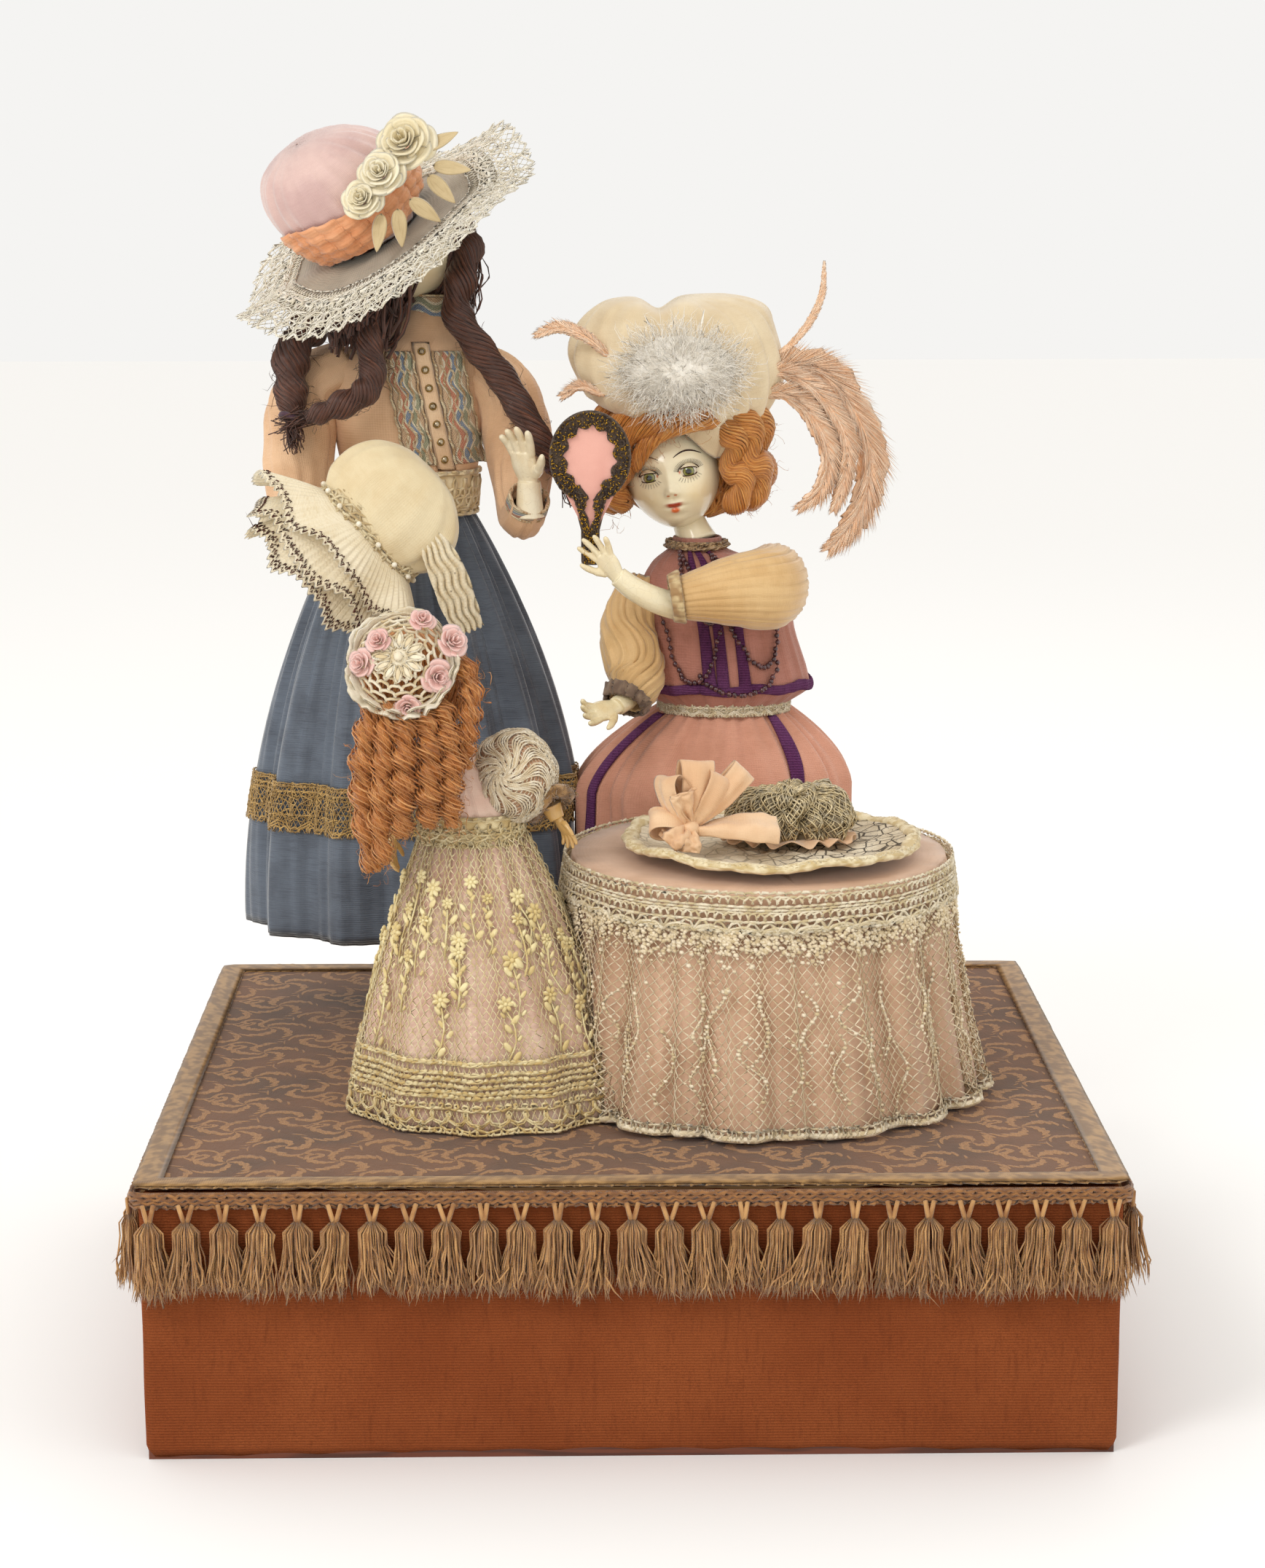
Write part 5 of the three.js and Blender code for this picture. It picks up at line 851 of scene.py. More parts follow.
@dataclass(frozen=True)
class Velvet:
    """Cut pile that stands in short rows, rubbed lighter in places."""

    name: str
    colour: str
    shade: str
    rubbed: str

    def made(self) -> bpy.types.Material:
        """Rows of pile are a sine up the wall bent by noise; rubbed places follow slow clouds."""
        t = Tree(self.name)
        at = t.where()
        pile = t.noise(at, 1.9, 4.0, 0.75)
        streak = t.noise(t.where((0.5, 0.5, 0.09)), 1.0, 3.0)
        cloud = t.noise(at, 0.018, 4.0, 0.6)
        _, _, z = t.parts(at)
        rows = t.math("SINE", t.math("ADD", t.math("MULTIPLY", z, TAU / 1.15), t.math("MULTIPLY", pile, 5.0)))
        colour = t.blend(
            t.math("MULTIPLY", t.step(cloud, 0.35, 0.75), 0.6), tone(self.colour), tone(self.rubbed)
        )
        colour = t.blend(t.math("MULTIPLY", t.step(streak, 0.5, 0.8), 0.5), colour, tone(self.shade))
        colour = t.blend(t.math("MULTIPLY", t.step(pile, 0.42, 0.62), 0.55), colour, tone(self.shade))
        colour = t.blend(t.math("MULTIPLY", t.step(rows, 0.2, 1.0), 0.3), colour, tone(self.rubbed))
        height = t.math("ADD", pile, t.math("MULTIPLY", rows, 0.25))
        return t.dressed(
            Base_Color=colour, Roughness=0.9, Normal=t.bump(height, 0.45, 0.9),
            Sheen_Weight=0.7, Sheen_Roughness=0.35, Sheen_Tint=tone(self.rubbed), Specular_IOR_Level=0.15,
        )


@dataclass(frozen=True)
class Damask:
    """Figured cloth: scrolling leaves round rosettes, set in a shifted lattice, on a ribbed ground."""

    name: str
    ground: str
    figure: str
    dark: str
    repeat: float = 46.0

    def made(self) -> bpy.types.Material:
        """In each lattice cell the figure is where sin(petals * angle + twist * radius) is above a limit
        that grows outwards.
        """
        t = Tree(self.name)
        at = t.where()
        warp = t.noise(at, 0.05, 2.0)
        x, y, _ = t.parts(at)
        bend = t.math("MULTIPLY", t.math("SUBTRACT", warp, 0.5), 9.0)
        x, y = t.math("ADD", x, bend), t.math("SUBTRACT", y, bend)
        figures = []
        for shift, petals, twist, reach in ((0.0, 5, 0.42, 20.0), (0.5, 3, -0.55, 17.0), (0.25, 2, 0.9, 9.0)):
            step_x, step_y = self.repeat, self.repeat * 0.86
            px = t.math(
                "SUBTRACT", t.math("MODULO", t.math("ADD", x, step_x * (20 + shift)), step_x), step_x / 2
            )
            py = t.math(
                "SUBTRACT",
                t.math(
                    "MODULO", t.math("ADD", y, step_y * (20 + shift * (1 if petals != 2 else 3))), step_y
                ),
                step_y / 2
            )
            radius = t.math("SQRT", t.math("ADD", t.math("MULTIPLY", px, px), t.math("MULTIPLY", py, py)))
            angle = t.math("ARCTAN2", py, px)
            swirl = t.math(
                "SINE", t.math("ADD", t.math("MULTIPLY", angle, petals), t.math("MULTIPLY", radius, twist))
            )
            veins = t.math("MULTIPLY", t.math("SINE", t.math("MULTIPLY", radius, 2.1)), 0.28)
            limit = t.math("DIVIDE", radius, reach)
            figures.append(
                t.step(
                    t.math(
                        "SUBTRACT", t.math("ADD", swirl, veins),
                        t.math("MULTIPLY", t.math("MULTIPLY", limit, limit), 1.3)
                    ),
                    -0.1, 0.12
                )
            )
        figure = t.math("MAXIMUM", t.math("MAXIMUM", figures[0], figures[1]), figures[2])
        rib = t.math("SINE", t.math("MULTIPLY", y, TAU / 0.9))
        thread = t.noise(t.where((2.6, 0.5, 1)), 1.0, 2.0)
        wear = t.noise(at, 0.03, 4.0)
        ground = t.blend(t.step(wear, 0.35, 0.7), tone(self.ground), tone(self.dark))
        ground = t.blend(t.math("MULTIPLY", t.step(rib, 0.0, 1.0), 0.22), ground, tone(self.figure))
        grain = t.step(thread, 0.3, 0.62)
        colour = t.blend(
            t.math("MULTIPLY", figure, t.math("ADD", 0.45, t.math("MULTIPLY", grain, 0.5))), ground,
            tone(self.figure)
        )
        height = t.math(
            "ADD", t.math("MULTIPLY", figure, 0.8), t.math("ADD", t.math("MULTIPLY", rib, 0.2), thread)
        )
        return t.dressed(
            Base_Color=colour, Roughness=0.82, Normal=t.bump(height, 0.25, 0.9), Sheen_Weight=0.2,
            Specular_IOR_Level=0.25
        )


@dataclass(frozen=True)
class Thread:
    """Twisted yarn, cord or lace: two tones, fine twist."""

    name: str
    colour: str
    second: str
    rough: float = 0.7
    sheen: float = 0.3

    def made(self) -> bpy.types.Material:
        """The twist is a slanted sine on the cord's own coordinates; the tone varies from strand to
        strand.
        """
        t = Tree(self.name)
        u, v, _ = t.parts(t.where(on_cloth=True))
        twist = t.math("SINE", t.math("MULTIPLY", t.math("ADD", u, v), TAU / 0.9))
        strand = t.noise(t.where((0.16, 0.16, 1), on_cloth=True), 1.0, 1.0)
        cloud = t.noise(t.where(), 0.35, 3.0)
        colour = t.blend(t.step(strand, 0.38, 0.62), tone(self.colour), tone(self.second))
        colour = t.blend(t.math("MULTIPLY", t.step(cloud, 0.4, 0.75), 0.45), colour, tone(self.second))
        height = t.math("ADD", t.math("MULTIPLY", twist, 0.5), cloud)
        return t.dressed(
            Base_Color=colour, Roughness=self.rough, Normal=t.bump(height, 0.1, 0.7),
            Sheen_Weight=self.sheen, Specular_IOR_Level=0.3
        )


@dataclass(frozen=True)
class Tresses:
    """Combed mohair: streaks along each lock, its lighter tone a painted highlight and its darker tone
    painted shade.
    """

    name: str
    colour: str
    light: str
    dark: str
    rough: float = 0.42

    def made(self) -> bpy.types.Material:
        """Streaks are noise stretched forty times along the lock."""
        t = Tree(self.name)
        fine = t.noise(t.where((0.05, 2.6, 1), on_cloth=True), 1.0, 3.0, 0.6, 0.4)
        broad = t.noise(t.where((0.02, 0.5, 1), on_cloth=True), 1.0, 2.0)
        shade_clouds = t.noise(t.where(), 0.12, 2.0)
        # fine streaks run from painted shade (dark) through the colour to painted highlight (light); broad
        # streaks add more painted highlight
        colour = t.ramp(fine, (0.3, tone(self.dark)), (0.5, tone(self.colour)), (0.72, tone(self.light)))
        colour = t.blend(t.math("MULTIPLY", t.step(broad, 0.5, 0.75), 0.5), colour, tone(self.light))
        # slow clouds of painted shade darken the hair towards its dark tone
        colour = t.blend(t.math("MULTIPLY", t.step(shade_clouds, 0.5, 0.8), 0.35), colour, tone(self.dark))
        return t.dressed(
            Base_Color=colour, Roughness=self.rough, Normal=t.bump(fine, 0.35, 0.9),
            Specular_IOR_Level=0.45, Sheen_Weight=0.15
        )


@dataclass(frozen=True)
class Composition:
    """Painted and varnished doll's skin: warm blush, fine crazing, glossy coat; fingertips may be painted."""

    name: str
    colour: str
    blush: str
    tips: str = ""
    tip_at: tuple = ()
    tip_reach: float = 4.0
    coat: float = 0.5
    rough: float = 0.3

    def made(self) -> bpy.types.Material:
        """Blush follows slow clouds; crazing is the thin line between cells; tips are painted within a
        reach of points.
        """
        t = Tree(self.name)
        at = t.where()
        cloud = t.noise(at, 0.06, 3.0)
        craze = t.cells(at, 0.32, "DISTANCE_TO_EDGE")
        speck = t.noise(at, 0.9, 3.0)
        colour = t.blend(
            t.math("MULTIPLY", t.step(cloud, 0.4, 0.75), 0.6), tone(self.colour), tone(self.blush)
        )
        colour = t.blend(t.math("MULTIPLY", t.step(speck, 0.55, 0.75), 0.25), colour, tone(self.blush))
        colour = t.blend(
            t.math("MULTIPLY", t.math("SUBTRACT", 1.0, t.step(craze, 0.0, 0.02)), 0.22), colour,
            tone("7a5a3a")
        )
        for point in self.tip_at:
            away = t.node("VectorMath", {0: at, 1: tuple(point)}, operation="DISTANCE").outputs["Value"]
            colour = t.blend(
                t.math("SUBTRACT", 1.0, t.step(away, self.tip_reach * 0.6, self.tip_reach)), colour,
                tone(self.tips)
            )
        height = t.math("ADD", speck, t.step(craze, 0.0, 0.03))
        return t.dressed(
            Base_Color=colour, Roughness=self.rough, Normal=t.bump(height, 0.03, 0.5),
            Coat_Weight=self.coat, Coat_Roughness=0.12, Specular_IOR_Level=0.5,
        )


@dataclass(frozen=True)
class Metal:
    """Clock brass or steel: fine brushing, dull spots."""

    name: str
    colour: str
    dull: str
    rough: float = 0.32

    def made(self) -> bpy.types.Material:
        """Brushing is noise stretched along X; dull spots follow slow clouds."""
        t = Tree(self.name)
        brush = t.noise(t.where((0.1, 4.0, 4.0)), 1.0, 3.0)
        spots = t.noise(t.where(), 0.12, 4.0)
        colour = t.blend(t.step(spots, 0.5, 0.75), tone(self.colour), tone(self.dull))
        rough = t.math("ADD", t.math("MULTIPLY", t.step(spots, 0.4, 0.8), 0.25), self.rough)
        return t.dressed(Base_Color=colour, Metallic=0.9, Roughness=rough, Normal=t.bump(brush, 0.04, 0.6))


@dataclass(frozen=True)
class Timber:
    """Waxed softwood or beech with grain along X."""

    name: str
    colour: str
    grain: str

    def made(self) -> bpy.types.Material:
        """Grain is a sine across the board bent by noise stretched along it."""
        t = Tree(self.name)
        long = t.noise(t.where((0.008, 0.12, 0.12)), 1.0, 4.0)
        _, y, z = t.parts(t.where())
        rings = t.math(
            "SINE",
            t.math("ADD", t.math("MULTIPLY", t.math("ADD", y, z), 0.55), t.math("MULTIPLY", long, 26.0))
        )
        pores = t.noise(t.where((0.1, 3.0, 3.0)), 1.0, 2.0)
        colour = t.blend(t.step(rings, -0.4, 1.0), tone(self.colour), tone(self.grain))
        colour = t.blend(t.math("MULTIPLY", t.step(pores, 0.5, 0.7), 0.4), colour, tone(self.grain))
        return t.dressed(Base_Color=colour, Roughness=0.55, Normal=t.bump(pores, 0.06, 0.7), Coat_Weight=0.1)


@dataclass(frozen=True)
class Enamel:
    """Plain glossy paint, glass or bead with faint mottling."""

    name: str
    colour: str
    second: str
    rough: float = 0.2
    coat: float = 0.4
    metal: float = 0.0

    def made(self) -> bpy.types.Material:
        """Mottling follows fine clouds."""
        t = Tree(self.name)
        cloud = t.noise(t.where(), 0.5, 3.0)
        colour = t.blend(t.step(cloud, 0.4, 0.7), tone(self.colour), tone(self.second))
        return t.dressed(
            Base_Color=colour, Roughness=self.rough, Coat_Weight=self.coat, Metallic=self.metal,
            Normal=t.bump(cloud, 0.02, 0.5)
        )


# The velvet box
@dataclass
class TasselBox:
    """Box under the dolls: velvet walls, figured top, plaited braid and a fringe on three sides."""

    half_x: float = 192.0
    half_y: float = 170.0
    corner: float = 2.5
    top: float = 111.0
    cloth_top: float = 112.6
    braid_wide: float = 11.0
    braid_proud: float = 2.0
    fringe_top: float = 109.6
    front_tassels: int = 27
    side_tassels: int = 24
    strands: int = 84
    side_strands: int = 56
    tassel_long: float = 33.0
    tassel_room: float = 3.4
    cord_drop: float = 6.0
    seed: int = 7

    def build(self) -> None:
        """Builds and dresses every piece of the box."""
        self.walls()
        self.top_cloth()
        self.braid()
        self.fringe()
        wood = Timber("box timber", "b08858", "8a6238").made()
        stained = Timber("stained board", "6a341c", "4c2412").made()
        for node, finish in (("bottom_board", stained), ("box_sides", wood), ("top_board", wood)):
            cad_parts[node].data.materials.clear()
            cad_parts[node].data.materials.append(finish)

    def walls(self) -> None:
        """Velvet round the walls: the outline drawn up from the floor, dented by up to 0.8 mm of slow
        waves.
        """
        line = round_box(self.half_x, self.half_y, self.corner, 720)
        high = np.linspace(0.9, self.top, 25)
        share = np.linspace(0, TAU, len(line), endpoint=False)
        wave = 0.4 * (
            np.sin(9 * share)[:, None] * np.sin(high / 17) + np.sin(23 * share)[:, None] * np.cos(high / 9)
        )
        out = unit(line * [1, 1, 0])
        lip = 1.2 * np.exp(-((high - 0.9) / 2.0) ** 2) + 0.8 * np.exp(-((self.top - high) / 2.0) ** 2)
        shrink = (0.9 + np.abs(wave) + lip)[..., None]
        walls = line[:, None] - out[:, None] * shrink + xyz(0 * high, 0 * high, high)
        finish = Velvet("terracotta velvet", "86421f", "673016", "a2592f").made()
        piece = placed(
            "velvet_walls", cloth(walls, 1.0, ring=True, whole=True), finish, "base",
            ("velvet_cover",), whole=True
        )

    def top_cloth(self) -> None:
        """Figured cloth stretched over the lid: the CAD sheet with its holes, shaded flat.
        """
        form = copied("tapestry_cover")
        finish = Damask("figured cloth", "6c4529", "aa7c4c", "533723", 46.0).made()
        piece = placed("stage_cloth", form, finish, "base", ("tapestry_cover",), smooth=False)

    def braid(self) -> None:
        """Woven braid: a flat band and four cords plaited over it, each swinging across on a quarter of a
        beat.
        """
        x, y = self.half_x + self.braid_proud, self.half_y + self.braid_proud
        outer = round_box(x, y, self.corner + self.braid_proud, 900)
        inner = round_box(x - self.braid_wide, y - self.braid_wide, 1.0, 900)
        share = np.linspace(0, 1, 6)[:, None]
        band = outer[:, None] * (1 - share) + inner[:, None] * share + [0, 0, self.cloth_top + 0.9]
        edge = np.sin(np.arange(900) / 900 * TAU * 240)[:, None] * 0.25
        band[:, 0, 2] += edge[:, 0]
        gold = Thread("braid thread", "ac8450", "7f5d34", 0.6).made()
        plait = [
            (0.5, 0.3, 0.16, 1, 0.0), (0.5, 0.3, 0.16, 1, 0.5), (0.5, 0.42, 0.0, 0.5, 0.25),
            (0.07, 0.05, 0.3, 1, 0), (0.93, 0.05, 0.3, 1, 0)
        ]
        cords = crochet(band[:, ::-1], plait, 236, 0.62, steps=8, lift=0.9)
        placed(
            "edge_braid", joined(cloth(band, 1.1, ring=True), cords), gold, "base", ("gimp_braid",)
        )

    def tassels(self, places: Array, along: Array, out: Array, rng: np.random.Generator, each: int) -> Form:
        """Bushy tassels: strands leave two hanging cords, swell to a head, pinch and splay to a ragged hem.

        Args:
            places: Where each hangs, shape (tassel, 3).
            along: Direction of the wall.
            out: Direction away from the wall.
            rng: Seeded generator.
            each: Strands of a tassel.
        Returns:
            All tassels as closed surfaces.
        """
        count, steps = len(places), 7
        t = np.linspace(0, 1, steps)[None, None]
        swell = np.interp(t, [0, 0.07, 0.18, 0.3, 0.42, 0.7, 1], [0.8, 4.2, 6.0, 5.4, 5.8, 7.4, 8.6])
        angle = rng.uniform(0, TAU, (count, each, 1))
        reach = np.sqrt(rng.uniform(0.1, 1, (count, each, 1)))
        stray = np.clip((t - 0.3) / 0.7, 0, 1)
        wave = np.sin(
            TAU * (rng.uniform(0.8, 1.7, (count, each, 1)) * t + rng.uniform(0, 1, (count, each, 1)))
        )
        lean = rng.normal(0, 1.6, (2, count, 1, 1))
        stray = stray * (1 + 1.6 * (np.arange(each) % 8 == 0))[None, :, None]
        x = (
            swell * reach * np.cos(angle)
            + stray * (1.5 * wave + rng.normal(0, 1.2, (count, each, 1)) + lean[0])
        )
        y = (
            0.72 * swell * reach * np.sin(angle)
            + stray * (0.9 * wave[:, ::-1] + rng.normal(0, 0.6, (count, each, 1)) + 0.6 * lean[1])
        )
        long = self.tassel_long + rng.uniform(-4.0, 1.0, (count, each, 1)) + rng.normal(0, 1.0, (count, 1, 1))
        z = -self.cord_drop - t * long
        y = np.maximum(y, -self.tassel_room)
        lines = (
            places[:, None, None] + x[..., None] * along + y[..., None] * out
            + z[..., None] * np.array([0, 0, 1.0])
        )
        strands = tubes(lines.reshape(-1, steps, 3), 0.38, 3)
        s = np.linspace(0, 1, 5)[None, None]
        spread = (
            np.array([-1.0, 1.0])[None, :, None] * (2.2 + 0.8 * rng.uniform(-1, 1, (count, 1, 1)))
            * (1 - s) ** 0.8
        )
        cords = (
            places[:, None, None] + spread[..., None] * along
            + (-(self.cord_drop + 2.5) * s)[..., None] * np.array([0, 0, 1.0])
        )
        return joined(strands, tubes(cords.reshape(-1, 5, 3), 1.0, 6))

    def fringe(self) -> None:
        """Tassels at even steps along the front and both sides, under a heading of looped cord."""
        rng = np.random.default_rng(self.seed + 1)
        far_x, far_y = self.half_x + 4.2, self.half_y + 4.2
        front = np.linspace(-far_x + 9, far_x - 9, self.front_tassels)
        side = np.linspace(-far_y + 12, self.half_y - 8, self.side_tassels)
        high = self.fringe_top - 3
        # the lighter second tone of the tassel thread is a painted highlight: the strands in it stand for
        # glints
        tan = Thread("tassel thread", "99683a", "c6965e", 0.55, 0.25).made()
        x_way, y_way = np.array([1.0, 0, 0]), np.array([0, 1.0, 0])
        form = self.tassels(xyz(front, -far_y, high), x_way, -y_way, rng, self.strands)
        placed("tassels_front", form, tan, "base", ("tassel_fringe",))
        for word, sign in (("left", -1.0), ("right", 1.0)):
            placed(
                f"tassels_{word}",
                self.tassels(xyz(sign * far_x, side, high), y_way, sign * x_way, rng, self.side_strands),
                tan, "base"
            )
        heading = round_box(self.half_x + 1.6, self.half_y + 1.6, self.corner + 1.6, 900)
        keep = heading[:, 1] < self.half_y - 4
        start = int(np.argmax(~keep & np.roll(keep, -1)))
        line = np.roll(heading, -start - 1, 0)[: int(keep.sum())]
        up = np.linspace(0, 1, 4)[:, None]
        band = line[:, None] + up * [0, 0, 6.0] + [0, 0, self.fringe_top - 4.8]
        rows = [
            (0.85, 0.1, 0.2, 1, 0.0), (0.12, 0.14, 0.3, 1, 0.3), (0.35, 0.1, 0.1, 1, 0.25),
            (0.6, 0.12, 0.1, 1, 0.5)
        ]
        cords = crochet(band, rows, 230, 0.85, ring=False, lift=1.2, steps=6)
        placed(
            "fringe_heading", joined(cloth(band, 1.0), cords),
            Thread("heading cord", "a57240", "7c5230", 0.65).made(), "base"
        )


def studio() -> None:
    """Pale floor, a soft sky and three broad lamps, and the camera at the photograph's place."""
    scene = bpy.context.scene
    scene.view_settings.view_transform = "Standard"
    floor = bpy.data.meshes.new("floor")
    floor.from_pydata([(-6, -6, 0), (6, -6, 0), (6, 6, 0), (-6, 6, 0)], [], [(0, 1, 2, 3)])
    ground = bpy.data.objects.new("floor", floor)
    scene.collection.objects.link(ground)
    ground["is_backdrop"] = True
    t = Tree("pale floor")
    t.dressed(Base_Color=tone("fbfaf8"), Roughness=0.9, Specular_IOR_Level=0.1)
    floor.materials.append(t.material)
    world = bpy.data.worlds.new("sky")
    world.use_nodes = True
    scene.world = world
    nodes, links = world.node_tree.nodes, world.node_tree.links
    back = nodes["Background"]
    back.inputs[0].default_value = (1.0, 0.985, 0.96, 1)
    back.inputs[1].default_value = 0.98
    seen = nodes.new("ShaderNodeBackground")
    seen.inputs[0].default_value = tone("f5f4f2")
    path, either, more, pick = (
        nodes.new("ShaderNode" + k) for k in ("LightPath", "Math", "Math", "MixShader")
    )
    either.operation = more.operation = "MAXIMUM"
    links.new(path.outputs["Is Camera Ray"], either.inputs[0])
    links.new(path.outputs["Is Glossy Ray"], either.inputs[1])
    links.new(either.outputs[0], more.inputs[0])
    links.new(path.outputs["Is Transmission Ray"], more.inputs[1])
    links.new(more.outputs[0], pick.inputs[0])
    links.new(back.outputs[0], pick.inputs[1])
    links.new(seen.outputs[0], pick.inputs[2])
    links.new(pick.outputs[0], nodes["World Output"].inputs[0])
    for name, place, power, size in (
        ("key", (-1.0, -1.2, 1.5), 11.0, 0.6),
        ("fill", (1.4, -1.0, 0.9), 1.0, 1.2),
        ("rim", (0.4, 1.2, 1.6), 3.0, 0.9),
    ):
        lamp = bpy.data.lights.new(name, "AREA")
        lamp.energy, lamp.size = power, size
        light = bpy.data.objects.new(name, lamp)
        light.location = place
        light.rotation_euler = (Vector((0, 0, 0.25)) - Vector(place)).to_track_quat("-Z", "Y").to_euler()
        scene.collection.objects.link(light)
    lens = bpy.data.cameras.new("camera")
    lens.lens, lens.sensor_width, lens.clip_start = 75.83, 36.0, 0.05
    camera = bpy.data.objects.new("camera", lens)
    right, up, ahead = Vector(
        (0.99987, -0.01635, -0.00127)
    ), Vector((0.00446, 0.19598, 0.98060)), Vector((0.01579, 0.98047, -0.19602))
    turn = Matrix((right, up, -ahead)).transposed().to_4x4()
    camera.matrix_world = Matrix.Translation((-0.0194, -1.3957, 0.5159)) @ turn
    scene.collection.objects.link(camera)
    scene.camera = camera


# Shapes that several dolls share


@dataclass(frozen=True)
class Embroidery:
    """Trimming with wavy stripes in coloured silks between cream chain stitches, on the cloth coordinates."""

    name: str
    ground: str
    silks: tuple[str, str, str]
    beat: float = 15.0
    wide: float = 13.0

    def made(self) -> bpy.types.Material:
        """Place across the strip plus a sine along it picks the silk; fine sines along and across are the
        stitches.
        """
        t = Tree(self.name)
        u, v, _ = t.parts(t.where(on_cloth=True))
        wave = t.math("MULTIPLY", t.math("SINE", t.math("MULTIPLY", u, TAU / self.beat)), self.wide * 0.13)
        across = t.math("DIVIDE", t.math("ADD", v, wave), self.wide)
        edge, chain = tone(self.ground), tone("efe3c6")
        stops = (0.0, edge), (0.16, chain), (
            0.22, tone(self.silks[0])
        ), (0.4, chain), (
            0.46, tone(self.silks[1])
        ), (0.62, chain), (0.68, tone(self.silks[2])), (0.84, chain), (0.92, edge)
        made = t.node("ValToRGB", {0: across})
        made.color_ramp.interpolation = "CONSTANT"
        row = made.color_ramp.elements
        while len(row) < len(stops):
            row.new(0.5)
        for element, (place, colour) in zip(row, stops):
            element.position, element.color = place, colour
        stitch = t.math(
            "MULTIPLY", t.math("SINE", t.math("MULTIPLY", u, TAU / 1.3)),
            t.math("SINE", t.math("MULTIPLY", v, TAU / 0.9))
        )
        fuzz = t.noise(t.where(), 2.4, 2.0)
        colour = t.blend(t.math("MULTIPLY", t.step(stitch, -0.1, 0.9), 0.4), made.outputs[0], chain)
        colour = t.blend(t.math("MULTIPLY", t.step(fuzz, 0.45, 0.7), 0.3), colour, edge)
        return t.dressed(
            Base_Color=colour, Roughness=0.75, Normal=t.bump(t.math("ADD", stitch, fuzz), 0.3, 0.9),
            Sheen_Weight=0.3
        )


def flounce(
    x: float, y: float, waist_x: float, low: float, high: float, hem: tuple[float, float],
    waist: tuple[float, float], power: float, folds: int, fold: float, rows: int = 64, sides: int = 420,
    fine: float = 0.0,
) -> Array:
    """A gathered skirt: ovals from hem to waist, in by fold * (1 + cos(folds * a + 2.2 sin a)) / 2 and by
    finer pleats.

    Args:
        x: Middle of the hem in X.
        y: Middle in Y.
        waist_x: Middle of the waist in X.
        low: Height of the hem.
        high: Height of the waist.
        hem: Half sizes at the hem.
        waist: Half sizes at the waist.
        power: How late it draws in: flare is 1 - t to this power.
        folds: Number of folds.
        fold: Depth of the folds.
        rows: Points up.
        sides: Points round.
        fine: Depth of the finer pleats.
    Returns:
        Shape (sides, rows, 3).
    """
    t = np.linspace(0, 1, rows)[None]
    a = (np.arange(sides) * TAU / sides)[:, None]
    flare = 1 - t**power
    half_x, half_y = (w + (h - w) * flare for h, w in zip(hem, waist))
    main = 0.5 + 0.5 * np.cos(folds * a + 2.2 * np.sin(a) + 0.35 * np.sin(3 * t + a))
    small = (
        np.cos(folds * 3 * a + 1.3 * np.sin(2 * a) + 2 * t) * (0.4 + 0.6 * t)
        + 0.5 * np.cos(folds * 5 * a + 5 * t)
    )
    k = 1 - (fold * (0.25 + 0.75 * flare) * main**0.8 + fine * (1 + small) * 0.5) / half_y
    return xyz(
        x + (waist_x - x) * t + k * half_x * np.cos(a), y + k * half_y * np.sin(a),
        low + (high - low) * t + 0 * a
    )


def pressed(points: Array, x: Array | float, y: float, half_x: Array | float, half_y: Array | float) -> Array:
    """Points inside a neighbour's oval moved straight out onto it.

    Args:
        points: Any shape ending in 3.
        x: Middle of the oval in X.
        y: Middle in Y.
        half_x: Half size in X.
        half_y: Half size in Y.
    Returns:
        The moved points.
    """
    away = np.stack([(points[..., 0] - x) / half_x, (points[..., 1] - y) / half_y], -1)
    reach = np.maximum(np.linalg.norm(away, axis=-1), 1e-6)
    out = np.where(reach < 1, 1 / reach, 1.0)
    moved = points.copy()
    moved[..., 0] = x + (points[..., 0] - x) * out
    moved[..., 1] = y + (points[..., 1] - y) * out
    return moved


def bodice(levels: list[tuple[float, float, float, float, float]], rows: int = 60, sides: int = 120) -> Array:
    """A fitted body: ovals read from a smooth curve through (height, x, y, half x, half y).

    Args:
        levels: The known ovals from the bottom up.
        rows: Points up.
        sides: Points round.
    Returns:
        Shape (sides, rows, 3).
    """
    z, x, y, half_x, half_y = spline(levels, rows).T
    a = (np.arange(sides) * TAU / sides)[:, None]
    return xyz(x + half_x * np.cos(a), y + half_y * np.sin(a), z + 0 * a)


def netting(
    sheet: Array, cells: int, slant: float, thread: float, ring: bool = True, steps: int = 24,
    lift: float = 0.4, sides: int = 3
) -> Form:
    """Diamond net on a sheet: threads climb it at u = i / cells + s * slant / cells * v, with s plus and
    minus one.

    Args:
        sheet: Grid, shape (rows, cols, 3).
        cells: Threads of each slant.
        slant: Cells that a thread passes on its way up.
        thread: Thread radius.
        ring: Whether the sheet runs round.
        steps: Points of each thread.
        lift: Height above the sheet.
        sides: Corners of the thread.
    Returns:
        The net as closed surfaces.
    """
    v = np.linspace(0, 1, steps)[None]
    start = np.linspace(0, 1, cells, endpoint=not ring)[:, None]
    both = [sampled(sheet, start + s * slant / cells * v, v + 0 * start, lift, ring) for s in (1, -1)]
    return tubes(np.concatenate(both), thread, sides)


